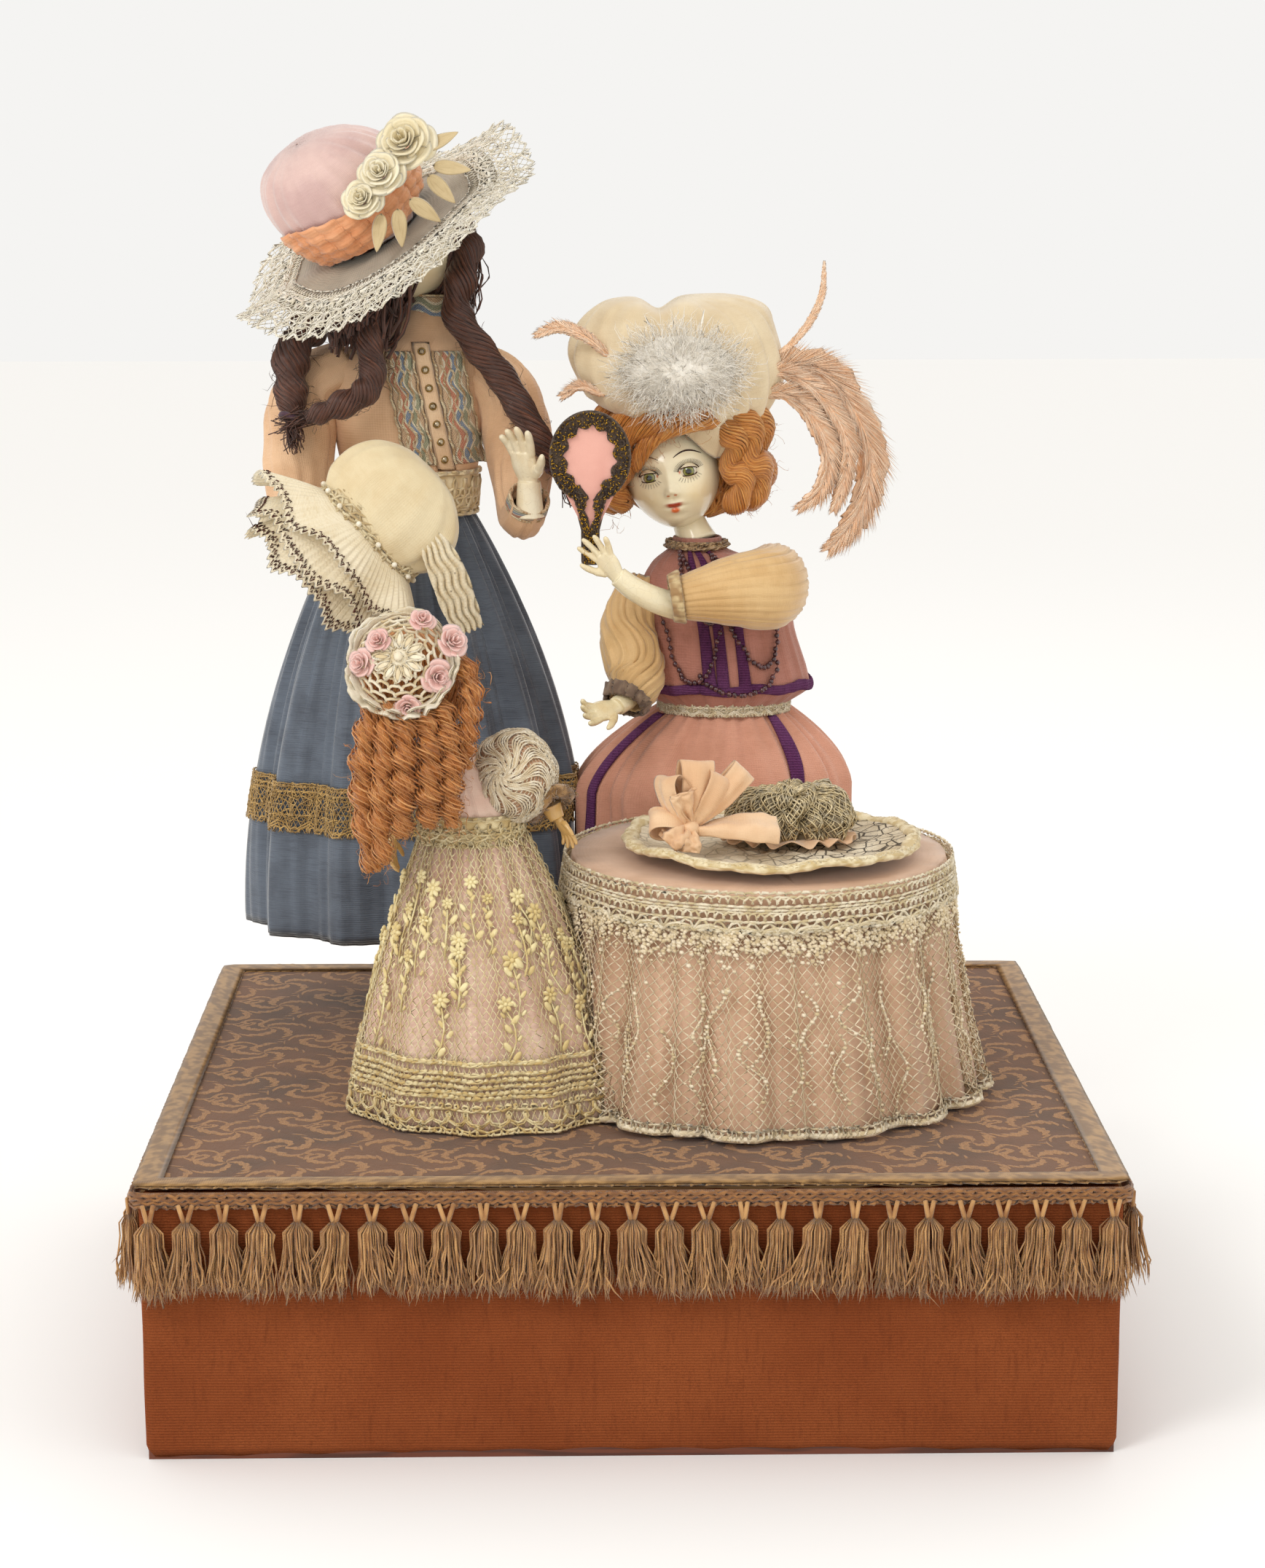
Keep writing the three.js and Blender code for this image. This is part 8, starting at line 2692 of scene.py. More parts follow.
@dataclass
class SeatedLady:
    """The seated doll: draped hat with plumes, copper curls, painted face, mauve jacket, pleated sleeve
    and mirror.
    """

    head_at: tuple[float, float, float] = (23.0, 92.0, 361.5)
    hat_at: tuple[float, float, float] = (24.0, 95.0, 384.0)
    mirror_at: tuple[float, float, float] = (-14.5, 48.3, 373.0)
    lap: float = 216.5
    waist: float = 257.0

    def build(self) -> None:
        """Builds the doll from her skirt to her plumes."""
        self.skirt()
        self.jacket()
        self.arms()
        Head(
            "lady", "lady_head_group", "ivory_gloss", self.head_at, (21.5, 21, 25), (34, 92, 330), 8.4,
            yaw=-0.12, tilt=-0.18, nod=0.06, jaw=0.13, skin="f5ebcd", blush="ecd3a0"
        ).build("lady_head")
        self.curls()
        self.hat()
        self.mirror()

    def skirt(self) -> None:
        """Rose cotton skirt over the lap, with purple ribbons running down it."""
        t = np.linspace(0, 1, 90)[None]
        a = (np.arange(420) * TAU / 420)[:, None]
        over = np.clip((t - 0.72) / 0.28, 0, 1)
        flare = 1 - over**1.7
        half_x, half_y = 27 + (65.5 - 27) * flare, 19 + (40.5 - 19) * flare
        fold = (
            3.2 * (0.35 + 0.65 * flare) * (0.5 + 0.5 * np.cos(12 * a + 2.2 * np.sin(a)))
            + 0.8 * (1 + np.cos(31 * a + 4 * t))
        )
        k = 1 - fold / half_y
        z = np.where(
            t < 0.72, 113.6 + (self.lap - 113.6) * t / 0.72, self.lap + (self.waist - self.lap) * over
        )
        grid = xyz(
            41 + 5.4 * over + k * half_x * np.cos(a), 98 - 4 * over + k * half_y * np.sin(a), z + 0 * a
        )
        rose = Fabric("rose cotton", "dca188", "bf856a", Weave.PLAIN, 0.35, 0.75, 0.2).made()
        piece = placed(
            "lady_skirt_cotton", cloth(grid, 0.8, ring=True), rose, "base", ("lady_skirt",)
        )
        bands = []
        for start, drift in ((0.578, -0.012), (0.87, -0.05)):
            v = np.linspace(0.02, 0.97, 90)[:, None]
            s = np.linspace(-1, 1, 7)[None]
            bands.append(
                cloth(
                    sampled(
                        grid, start + drift * (1 - v) + s * 0.0105 * (0.5 + 0.5 * (1 - v) + 0.3), v + 0 * s,
                        1.0, True
                    ),
                    0.8
                )
            )
        velvet = Velvet("lady purple ribbon", "62305e", "361834", "8c5a86").made()
        ribbons = placed("lady_skirt_ribbons", joined(*bands), velvet, "base")
        lacy = xyz(
            46.4 + 29.5 * np.cos(a), 93 + 21.5 * np.sin(a), 253 + 12 * np.linspace(0, 1, 8)[None] + 0 * a
        )
        cream = Thread("waistband lace", "efe4ca", "d4c19a").made()
        band = placed(
            "lady_waistband",
            joined(cloth(lacy, 1.0, ring=True), lace(lacy[:, ::-1], 24, 120, 2, 0.4, lift=-0.9)), cream,
            "base"
        )
        sheeted([(grid, True)])
        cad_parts["stool"].data.materials.clear()
        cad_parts["stool"].data.materials.append(Timber("stool beech", "a87c4c", "7c5630").made())

    def jacket(self) -> None:
        """Mauve jacket with a peplum, velvet ribbons, a crochet collar and loops of beads."""
        levels = [
            (255.8, 46.4, 92, 26.5, 19.5), (263.5, 46.4, 92, 37.8, 24.8), (271.2, 45.8, 92, 38.3, 25.2),
            (290.5, 43.9, 92, 34.2, 24.0), (308.2, 41.4, 92, 33.4, 21.3), (320.5, 37.7, 92, 24, 16),
            (327.4, 34, 92, 12.6, 11), (333.0, 34, 92, 10.4, 10),
        ]
        grid = pleated(bodice(levels, 80, 300), 30, 0.045, 0.4)
        mauve = Fabric("mauve cotton", "bd8272", "98624f", Weave.PLAIN, 0.35, 0.72, 0.2).made()
        body = placed(
            "lady_jacket_cotton", cloth(grid, 0.8, ring=True), mauve, "base",
            ("lady_jacket",)
        )
        velvet = Velvet("jacket purple velvet", "58284e", "2e1229", "80507a").made()
        s = np.linspace(-1, 1, 7)
        around = np.linspace(0, 1, 300, endpoint=False)[:, None]
        edge = sampled(
            grid, around + 0 * s, 0.2 + 0.045 * s[None] + 0.012 * np.sin(around * TAU * 9), 1.3, True
        )
        forms = [cloth(edge, 1.3, ring=True)]
        v = np.linspace(0.2, 0.86, 80)[:, None]
        for middle, bend in ((0.70, 0.03), (0.80, -0.02), (0.745, 0.0)):
            strip = sampled(grid, middle + bend * (1 - v) + 0.011 * s[None], v + 0 * s[None], 1.2, True)
            forms.append(cloth(strip, 1.1))
        ribbons = placed("lady_jacket_ribbons", joined(*forms), velvet, "base")
        collar = sampled(grid, around + 0 * s, 0.9 + 0.05 * s[None], 1.6, True)
        collar[..., :2] += (collar[..., :2] - [34, 92]) * 0.05
        cream = Thread("lady collar crochet", "c4a67c", "8a6846").made()
        rows = [
            (0.5, 0.32, 0.3, 1, 0.0), (0.5, 0.32, 0.3, 1, 0.5), (0.05, 0.04, 0.3, 2, 0),
            (0.92, 0.06, 0.3, 2, 0)
        ]
        neck = placed(
            "lady_collar",
            joined(cloth(collar, 0.9, ring=True), crochet(collar, rows, 18, 0.5, lift=0.8, steps=10)),
            cream, "base"
        )
        bead = grids(egg([0, 0, 0], [1.15, 1.15, 1.3], 7, 10), ring=True)
        hangs = []
        for u0, v0, u1, v1, sag, count in (
            (0.66, 0.82, 0.8, 0.8, 26, 34), (0.68, 0.78, 0.78, 0.76, 15, 24),
            (0.76, 0.5, 0.9, 0.52, 14, 24), (0.62, 0.5, 0.76, 0.5, 18, 26), (0.7, 0.3, 0.86, 0.34, 12, 22)
        ):
            t = np.linspace(0, 1, count)
            drop = sag / 77 * np.sin(math.pi * t)
            hangs.append(sampled(grid, u0 + (u1 - u0) * t, v0 + (v1 - v0) * t - drop, 2.2, True))
        at = np.concatenate(hangs)
        strings = joined(*[tubes(h[None], 0.25, 4) for h in hangs])
        beads = copies(bead, at, np.tile(np.eye(3), (len(at), 1, 1)))
        hung = placed(
            "lady_beads", joined(beads, strings), Enamel("plum bead", "3a1c24", "6a3c3c", 0.15, 0.7).made(),
            "base"
        )
        sheeted([(grid, True)])

    def arms(self) -> None:
        """Pleated raised sleeve with its hand, and the lowered sleeve with its fist."""
        apricot = Fabric("apricot silk", "e2be88", "c99c60", Weave.SILK, 0.5, 0.5, 0.15).made()
        left = swept(
            [
                (61, 93, 311), (68, 76, 313), (64, 57, 313.5), (51, 48.5, 314), (39, 46, 313),
                (25, 45.5, 311)
            ],
            [13, 15, 15, 14.5, 12, 8.6], [15, 18, 18, 16, 13, 9], rows=120, sides=220
        ).transpose(1, 0, 2)
        left = pleated(left, 26, 0.06, 0.8, 0.5, 3)
        sleeve = placed(
            "lady_sleeve_pleats", cloth(left, 0.7, ring=True), apricot, "lady_arm",
            ("lady_left_sleeve",)
        )
        cream = Thread("lady cuff lace", "d8c090", "a88458").made()
        ring = left[:, -10:].copy()
        middle = ring.mean(0, keepdims=True)
        ring = middle + (ring - middle) * 1.12 + np.array([-4.5, 0, 0])
        cuff = placed(
            "lady_left_cuff", joined(cloth(ring, 0.8, ring=True), lace(ring, 16, 70, 2, 0.4)), cream,
            "lady_arm"
        )
        sheeted([(left, True)])
        right = swept(
            [(9, 93, 312), (2.65, 81.65, 290.65), (6.1, 70.15, 272.25), (1.5, 62, 261.9)],
            [10, 12.5, 12.5, 8], rows=80, sides=160
        ).transpose(1, 0, 2)
        right = pleated(right, 15, 0.16, 0.8, 0.5, 6)
        lower = placed(
            "lady_lower_sleeve", cloth(right, 0.8, ring=True), apricot, "base",
            ("lady_right_sleeve",)
        )
        ring = right[:, -12:].copy()
        middle = ring.mean(0, keepdims=True)
        ring = middle + (ring - middle) * 1.18 + np.array([-1.5, -2, -1])
        taupe = Thread("taupe cuff lace", "8f7862", "6c5646").made()
        band = placed(
            "lady_right_cuff", joined(cloth(ring, 0.8, ring=True), lace(ring, 14, 60, 2, 0.45)), taupe,
            "base"
        )
        sheeted([(right, True)])
        tips = (
            (-0.0235, 0.0400, 0.3400), (-0.0165, 0.0385, 0.3445), (-0.0095, 0.0390, 0.3435),
            (-0.0170, 0.0400, 0.3230)
        )
        skin = Composition("lady hand ivory", "f3e6c2", "e4c990", "dd7434", tips, 2.4, 0.6, 0.25).made()
        form = hand(
            [-2.5, 44.5, 320.5], (-0.55, -0.08, 0.83), (-0.5, -0.85, -0.1), 13.0, 0.3, 0.12, 0.8, side=1
        )
        way = [(28, 49.5, 306), (16, 47, 309.5), (5, 45.5, 315), (-2.5, 44.5, 321)]
        hand_piece("lady_left_hand", "lady_arm", skin, form, (way, 6.6, 4.6))
        low = (
            (-0.0245, 0.0480, 0.2560), (-0.0250, 0.0500, 0.2620), (-0.0215, 0.0430, 0.2500),
            (-0.0180, 0.0480, 0.2680)
        )
        skin = Composition("lady fist ivory", "efe0b6", "dcb878", "cf6a2c", low, 3.2, 0.6, 0.25).made()
        form = hand([-3.0, 56, 261], (-0.8, -0.55, -0.15), (0.35, -0.6, 0.7), 13.0, 0.16, 0.55)
        hand_piece(
            "lady_right_hand", "base", skin, form,
            ([(6, 68, 268), (2, 62, 264), (-3, 56, 261)], 6.0, 4.4)
        )

    def curls(self) -> None:
        """Copper mohair: a shell behind the face, waved rolls down both sides, a fringe swept under the
        hat, loose hairs.
        """
        copper = Tresses("copper mohair", "c67a2c", "f6c070", "7c3e14", 0.28).made()
        rng = np.random.default_rng(12)
        shell = egg([29, 99, 366], [32, 25, 26], 40, 90)
        c = shell - [29, 99, 366]
        shell[..., 1] += np.clip((-c[..., 1] - 6) / 12, 0, 1) * 11
        form = grids(shell, ring=True, size=(150, 80))
        form.uv = form.uv[..., ::-1].copy()
        over = strands_over(shell, 170, 1.1, 0.05, 0.6, span=(0.12, 0.95), seed=21)
        ways = [
            [(22, 70, 388), (8, 72, 384), (-1, 76, 375), (0, 80, 364), (-4, 83, 355), (2, 86, 346)],
            [(16, 74, 391), (0, 78, 385), (-8, 84, 373), (-4, 87, 362), (-8, 90, 353), (-2, 93, 345)],
            [(4, 84, 393), (-9, 91, 384), (-11, 97, 372), (-6, 100, 360), (-8, 103, 352), (0, 105, 345)],
            [(44, 72, 386), (51, 75, 377), (49, 78, 367), (54, 77, 360), (52, 78, 352), (48, 82, 346)],
            [(48, 74, 390), (58, 77, 381), (57, 78, 370), (62, 80, 364), (61, 83, 355), (54, 86, 348)],
            [(52, 82, 392), (63, 87, 382), (60, 90, 370), (64, 93, 360), (59, 96, 351), (57, 98, 345)],
            [(52, 94, 394), (61, 100, 382), (59, 105, 370), (61, 108, 359), (55, 110, 350), (54, 111, 345)],
        ]
        rolls = [
            locks(
                spline(way, 60)[None], 5.2 * (1 + 0.2 * np.sin(np.linspace(0, 5 * math.pi, 56))), 1.3, 21,
                0.18, rows=56, sides=4, tail=0.6
            ) for way in ways
        ]
        fringe = [
            [(44, 71, 387), (33, 68.5, 386), (21, 68.5, 383), (11, 71, 377), (5, 74, 369)],
            [(42, 71, 391), (30, 68, 390), (17, 68.5, 388), (6, 72, 382), (0, 76, 373)],
            [(30, 69, 386), (22, 68.5, 384), (14, 70, 379), (8, 73, 371), (6, 75, 364)],
        ]
        swept_fringe = [
            locks(spline(way, 60)[None], 3.4, 1.1, 9, 0.32, rows=44, sides=5, tail=0.4) for way in fringe
        ]
        every = np.concatenate([spline(way, 60) for way in ways + fringe])
        picks = every[rng.integers(0, len(every), 700)] + rng.normal(0, 3.0, (700, 3)) + [0, 0, 1.5]
        fly = wisps(rng, picks, picks + rng.normal(0, 3.4, (700, 3)), 0.6, 0.08, 9, 1.8)
        placed(
            "lady_curls", joined(form, over, *rolls, *swept_fringe, fly), copper, "lady_head_group",
            ("lady_hair",)
        )

    def hat(self) -> None:
        """Draped two-lobed hat that dips over the forehead, marabou in front, peach plumes at the side."""
        body = "lady_head_group"
        at = np.array(self.hat_at)
        t = np.linspace(0, 1, 90)[None]
        a = (np.arange(480) * TAU / 480)[:, None]
        shares = spline(
            [(0, 0.70), (0.08, 0.88), (0.3, 1.0), (0.6, 0.9), (0.82, 0.66), (0.95, 0.36), (1, 0.02)], 90
        )
        r, z = shares[:, 1][None], 56 * np.sin(shares[:, 0] * math.pi / 2)[None]
        lobes = 1 + 0.09 * np.cos(2 * (a - 0.35)) + 0.05 * np.cos(3 * a + 1)
        lines = 9 * a + 3.2 * t + 1.8 * np.sin(2 * a + 2 * t)
        folds = (
            0.055 * (1 - np.abs(np.sin(lines)) ** 0.8) * (1 - 0.3 * t) + 0.014 * np.cos(23 * a + 6 * t)
            + 0.03 * np.sin(6 * t * math.pi + 3 * a) * np.sin(2 * a + 1)
        )
        k = lobes * (1 - folds)
        x, y = 45 * r * k * np.cos(a), 36 * r * k * np.sin(a)
        cleft = 5.5 * np.exp(-(((x + 9) / 7) ** 2)) * (z / 56) ** 2

        def near(middle: float, wide: float) -> Array:
            """A bell round the hat about one angle."""
            return np.exp(-((np.angle(np.exp(1j * (a - middle))) / wide) ** 2))

        dip = (1 - t) ** 1.5 * (12 * near(math.pi, 0.8) - 15 * near(-0.84, 0.5) + 5 * near(0.5, 0.8))
        grid = xyz(x * (1 - 0.05 * z / 56) + 0.02 * z, y, z - cleft + 0.04 * x * (z / 56) + dip) + at
        tulle_silk = Fabric("hat tulle", "e6d4b2", "cbb28a", Weave.SILK, 0.55, 0.6, 0.15).made()
        crown = placed(
            "lady_hat_crown", cloth(grid, 0.8, ring=True), tulle_silk, body, ("lady_hat",)
        )
        sheeted([(grid, True)])
        rng = np.random.default_rng(31)
        count = 2300
        spot = rng.uniform(0, TAU, count), rng.uniform(0, 1, count) ** 0.6
        roots = xyz(
            25.5 + 25 * spot[1] * np.cos(spot[0]), 55 + 4.5 * spot[1] ** 2 + rng.normal(0, 1.2, count),
            410 + 15 * spot[1] * np.sin(spot[0])
        )
        way = unit(
            xyz(np.cos(spot[0]), -0.45 + 0 * spot[0], np.sin(spot[0])) + rng.normal(0, 0.6, (count, 3))
        )
        down = wisps(rng, roots, roots + way * rng.uniform(6, 17, (count, 1)), 0.6, 0.1, 8, 1.8)
        puff = egg([25.5, 59.2, 410], [24, 6, 15], 30, 80)
        puff = (
            puff
            + unit(puff - [25.5, 59.2, 410])
            * (1.2 * np.sin(puff[..., :1] * 0.9) * np.sin(puff[..., 2:] * 1.1 + 1))
        )
        placed(
            "lady_hat_down", joined(down, grids(puff, ring=True)),
            Thread("marabou down", "fffaf0", "fff6e6", 0.95, 0.5).made(), body
        )
        peach = Thread("plume peach", "f2be90", "fde2c6", 0.75, 0.3).made()
        plumes = joined(
            feather(
                [
                    (62, 90, 402), (74, 88, 410), (91.5, 88, 406), (109, 88, 380), (111, 88, 357),
                    (104, 86, 340), (93, 85, 327)
                ],
                7.4, 2.6, 520, seed=4
            ),
            feather(
                [(58, 88, 404), (70, 84, 407), (86, 84, 399), (99, 84, 381), (100, 83, 362), (95, 82, 345)],
                5.2, 2.6, 380, seed=5
            ),
            feather(
                [(58, 86, 396), (70, 83, 398), (82, 83, 391), (92, 83, 374), (90, 82, 357), (79, 81, 346)],
                5.2, 2.6, 420, seed=6
            ),
            feather(
                [(66, 88, 412), (76, 86, 420), (84, 86, 430), (89, 86, 442), (90, 86, 456)], 1.8, 3.0, 160,
                seed=8
            ),
            feather(
                [(-4, 68, 414), (-15.8, 64, 424), (-26.9, 64, 428), (-38.5, 64, 425)], 3.0, 2.6, 180,
                seed=10
            ),
            feather([(-8, 70, 398), (-18, 68, 402), (-27, 67, 398)], 2.6, 2.6, 120, seed=11),
        )
        placed("lady_plumes", plumes, peach, body, ("lady_plume",))

    def mirror(self) -> None:
        """Felt-covered hand mirror: a dark braid round its edge with scallops turned inwards, and gold
        stitches on it.
        """
        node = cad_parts["hand_mirror"]
        node.data.materials.clear()
        node.data.materials.append(Fabric("mirror felt", "efb6a6", "d9988a", Weave.FELT, 0.6, 0.95).made())
        angle = np.linspace(math.radians(-68), math.radians(248), 60)
        loop = np.concatenate(
            [
                np.stack([16.5 * np.cos(angle), 19 * np.sin(angle)], 1),
                [(-2.6, -32), (-2.6, -46), (2.6, -46), (2.6, -32)]
            ]
        )
        line = even(np.concatenate([loop, 0 * loop[:, :1]], 1)[:, [0, 2, 1]], 440, closed=True)
        ahead = slopes(line[None], closed=True)[0]
        inward = np.cross(ahead, [0, 1.0, 0])
        inward *= np.sign((inward * -line).sum(-1).mean())
        wide = np.where(line[:, 2] > -20, 5.2, 2.3)[:, None]
        wide = (wide + np.roll(wide, 9, 0) + np.roll(wide, -9, 0)) / 3
        beat = (0.85 + 0.42 * np.abs(np.sin(np.arange(440) * math.pi * 17 / 440)))[:, None]
        s = np.linspace(-0.18, 1, 7)[None]
        front = line[:, None] + inward[:, None] * (s * wide * beat)[..., None] + [0, -2.0, 0]
        front = front + self.mirror_at
        rows = [
            (0.1, 0.1, 0.2, 1, 0.0), (0.35, 0.14, 0.3, 1, 0.3), (0.62, 0.16, 0.3, 1, 0.6),
            (0.88, 0.1, 0.3, 1, 0.1)
        ]
        edge = tubes((line + self.mirror_at)[None], 1.5, 8, closed=True)
        braid = joined(cloth(front, 1.1, ring=True), edge, crochet(front, rows, 58, 0.42, lift=0.8, steps=8))
        placed(
            "mirror_braid", braid, Thread("mirror braid", "33231a", "5a4630", 0.6, 0.2).made(), "lady_arm",
        )
        rng = np.random.default_rng(71)
        spots = sampled(front, rng.uniform(0, 1, 420), rng.uniform(0, 1, 420), 1.3, True)
        stitch = grids(egg([0, 0, 0], [0.24, 0.24, 0.75], 5, 6), ring=True)
        glints = copies(stitch, spots, facing(unit(rng.normal(0, 1, (420, 3)))))
        placed(
            "mirror_gold_stitches", glints, Metal("mirror gold", "c79a34", "8a6418").made(), "lady_arm",
        )


@dataclass(frozen=True)
class Crackle:
    """Dull cloth under a fine dark net of uneven cells."""

    name: str
    ground: str
    second: str
    line: str
    cells: float = 0.42

    def made(self) -> bpy.types.Material:
        """Lines are where two cells meet; small dots sit where a finer set of cells meets them."""
        t = Tree(self.name)
        at = t.where((1, 1, 0.3))
        edge = t.cells(at, self.cells, "DISTANCE_TO_EDGE")
        fine = t.cells(at, self.cells * 2.3, "DISTANCE_TO_EDGE")
        cloud = t.noise(at, 0.06, 4.0)
        mottle = t.noise(at, 0.9, 3.0)
        ground = t.blend(t.step(cloud, 0.35, 0.7), tone(self.ground), tone(self.second))
        ground = t.blend(t.math("MULTIPLY", t.step(mottle, 0.5, 0.75), 0.4), ground, tone("efe8da"))
        net = t.math("SUBTRACT", 1.0, t.step(edge, 0.02, 0.075))
        dots = t.math("MULTIPLY", t.math("SUBTRACT", 1.0, t.step(fine, 0.01, 0.05)), t.step(mottle, 0.5, 0.6))
        rubbed = t.math("ADD", 0.3, t.math("MULTIPLY", t.step(t.parts(t.where())[0], 35.0, 85.0), 0.6))
        colour = t.blend(t.math("MULTIPLY", t.math("MAXIMUM", net, dots), rubbed), ground, tone(self.line))
        return t.dressed(
            Base_Color=colour, Roughness=0.8, Normal=t.bump(t.math("ADD", net, mottle), 0.3, 0.8),
            Specular_IOR_Level=0.25
        )


@dataclass
class CurlyChild:
    """The child seen from behind: crochet cap with rosebuds, ginger ringlets, crocheted puff sleeve, net
    skirt.
    """

    x: float = -57.0
    y: float = -55.0
    waist: float = 230.5
    head_at: tuple[float, float, float] = (-88.0, -55.0, 292.5)
    puff_at: tuple[float, float, float] = (-45.0, -58.0, 252.3)
    elbow: tuple[float, float, float] = (-31.7, -58.0, 239.9)

    def build(self) -> None:
        """Builds the child from the skirt to the cap."""
        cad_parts["child_stand"].data.materials.clear()
        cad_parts["child_stand"].data.materials.append(
            Timber("child stand wood", "8a5e3a", "5e3c22").made()
        )
        self.dress()
        self.puffs()
        Head(
            "child", "child_head_group", "composition", self.head_at, (20.5, 20.5, 21.5), (-72, -55, 262),
            7.5, yaw=math.pi * 0.97, look=Expression.PROFILE
        ).build("child_head")
        self.hair()
        self.cap()
        skin = Composition("child hand ivory", "cfa664", "b8863f").made()
        form = hand([-29, -58.5, 234.5], (0.5, 0.1, -0.85), (-0.5, -0.5, -0.5), 8.2, 0.22, 0.3)
        hand_piece(
            "child_right_hand", "child_hand", skin, form,
            ([(-31.7, -58, 240), (-30.5, -58, 237), (-29, -58.5, 234)], 4.6, 3.2), 0.3
        )
        form = hand([-97, -58, 226.5], (-0.05, -0.1, -1), (0.9, -0.3, 0), 8.5, 0.15, 0.35)
        hand_piece(
            "child_left_hand", "base", skin, form,
            ([(-95, -57, 243), (-96, -57.5, 235), (-97, -58, 226)], 4.6, 3.0), 0.3
        )

    def dress(self) -> None:
        """Pale lining, fine net with embroidered sprigs, braid rows and medallions at the hem, an eyelet
        sash and the bodice.
        """
        grid = flounce(
            self.x, self.y, -64, 113.6, self.waist, (60.5, 54.5), (20, 15), 1.25, 12, 3.2, rows=80,
            sides=520, fine=0.5
        )
        pink = Fabric("pale lining", "ecd0bc", "d8ac98", Weave.SILK, 0.4, 0.6, 0.2).made()
        levels = [
            (228.5, -64, -55, 20, 15), (238, -65.5, -55, 20.5, 16), (248, -68, -55, 18.5, 14.5),
            (258, -71, -55, 12, 10.5), (266, -72.5, -55, 7.5, 7.5)
        ]
        upper = pleated(bodice(levels, 40, 200), 22, 0.05, 0.7)
        skirt = placed(
            "child_lining", joined(cloth(grid, 0.7, ring=True), cloth(upper, 0.8, ring=True)), pink, "base",
            ("child_dress",)
        )
        u = np.linspace(0, 1, 520, endpoint=False)[:, None]
        v = np.linspace(0.0, 0.985, 80)[None]
        veil = sampled(grid, u + 0 * v, v + 0 * u, 1.6, True)
        net = Thread("child net thread", "f0e2b8", "d8c08a", 0.8).made()
        hem = veil[:, :22]
        rows = [
            (0.03, 0.035, 0.1, 3, 0.0), (0.09, 0.05, 0.3, 1, 0.0), (0.2, 0.1, 0.34, 1, 0.5),
            (0.2, 0.07, 0.26, 1, 0.5), (0.34, 0.04, 0.3, 2, 0.0), (0.47, 0.02, 0.25, 3, 0.0),
            (0.53, 0.02, 0.25, 3, 0.5), (0.61, 0.02, 0.25, 3, 0.2), (0.69, 0.02, 0.25, 3, 0.6),
            (0.77, 0.02, 0.25, 3, 0.1), (0.9, 0.025, 0.3, 3, 0.4),
        ]
        mesh = joined(
            tulle(veil[:, 18:], 220, 19, 0.26, lift=0.5),
            netting(veil[:, :22], 150, 6, 0.24, steps=14, lift=0.4)
        )
        veil_piece = placed("child_net", mesh, net, "base")
        cream = Thread("child hem braid", "f0dfae", "d0b272", 0.7).made()
        bands = placed(
            "child_hem_braid", crochet(hem, rows, 46, 0.62, lift=1.1, steps=9), cream, "base"
        )
        rng = np.random.default_rng(17)
        count = 60
        su = (np.arange(count) + rng.uniform(-0.3, 0.3, count)) / count
        sv = rng.uniform(0.26, 0.78, count)
        s = np.linspace(0, 1, 12)[None]
        way = rng.uniform(-1, 1, (count, 1))
        stem_u = su[:, None] + 0.014 * way * np.sin(math.pi * s) + 0.006 * way * s
        stem_v = sv[:, None] + (s - 0.5) * 0.17
        stems = tubes(sampled(veil, stem_u, stem_v, 1.2, True), 0.5, 5)
        leaf_k = np.array([1, 3, 5, 7, 9, 10])
        side = np.where(np.arange(6) % 2 == 0, 1.0, -1.0)[None]
        leaf_at = sampled(
            veil, stem_u[:, leaf_k] + side * 0.0068, stem_v[:, leaf_k], 1.3, True
        ).reshape(-1, 3)
        out = unit(
            leaf_at - xyz(
                np.interp(leaf_at[:, 2], [113, 230], [self.x, -64]), np.full(len(leaf_at), self.y),
                leaf_at[:, 2] - 8
            )
        )
        leaf = grids(egg([0, 0, 0], [1.15, 2.5, 0.5], 6, 7), ring=True)
        tilt = unit(
            np.array([0.0, 0, 1.0]) + np.cross(out, [0, 0, 1.0]) * np.tile(-side[0], count)[:, None] * 0.8
        )
        turns = np.stack([np.cross(tilt, out), tilt, out], -1)
        turns = turns / np.linalg.norm(turns, axis=1, keepdims=True)
        leaves = copies(leaf, leaf_at, turns, rng.uniform(0.7, 1.25, len(leaf_at)))
        bloom_at = sampled(veil, stem_u[:, -1:], stem_v[:, -1:] + 0.022, 1.5, True).reshape(-1, 3)
        ray = np.linspace(0.6, 3.3, 5)
        petals = [
            tubes(
                xyz(ray * math.cos(k * TAU / 7), ray * math.sin(k * TAU / 7), 0.3 + 0 * ray)[None],
                np.array([0.4, 0.75, 0.95, 0.85, 0.4]), 5
            ) for k in range(7)
        ]
        flower = joined(*petals, grids(egg([0, 0, 0.5], [0.9, 0.9, 0.7], 6, 8), ring=True))
        out = unit(
            bloom_at - xyz(
                np.interp(bloom_at[:, 2], [113, 230], [self.x, -64]), np.full(count, self.y),
                bloom_at[:, 2] - 8
            )
        )
        sprigs = joined(stems, leaves, copies(flower, bloom_at, facing(out), rng.uniform(0.8, 1.3, count)))
        blooms = placed(
            "child_sprigs", sprigs, Thread("sprig silk", "f4e6b2", "dcc486", 0.6).made(), "base",
        )
        a = (np.arange(260) * TAU / 260)[:, None]
        up = np.linspace(0, 1, 8)[None]
        sash = xyz(
            -64.5 + (21.8 - 0.6 * np.sin(math.pi * up)) * np.cos(a),
            -55 + (17 - 0.6 * np.sin(math.pi * up)) * np.sin(a), 224.5 + 13 * up + 0 * a
        )
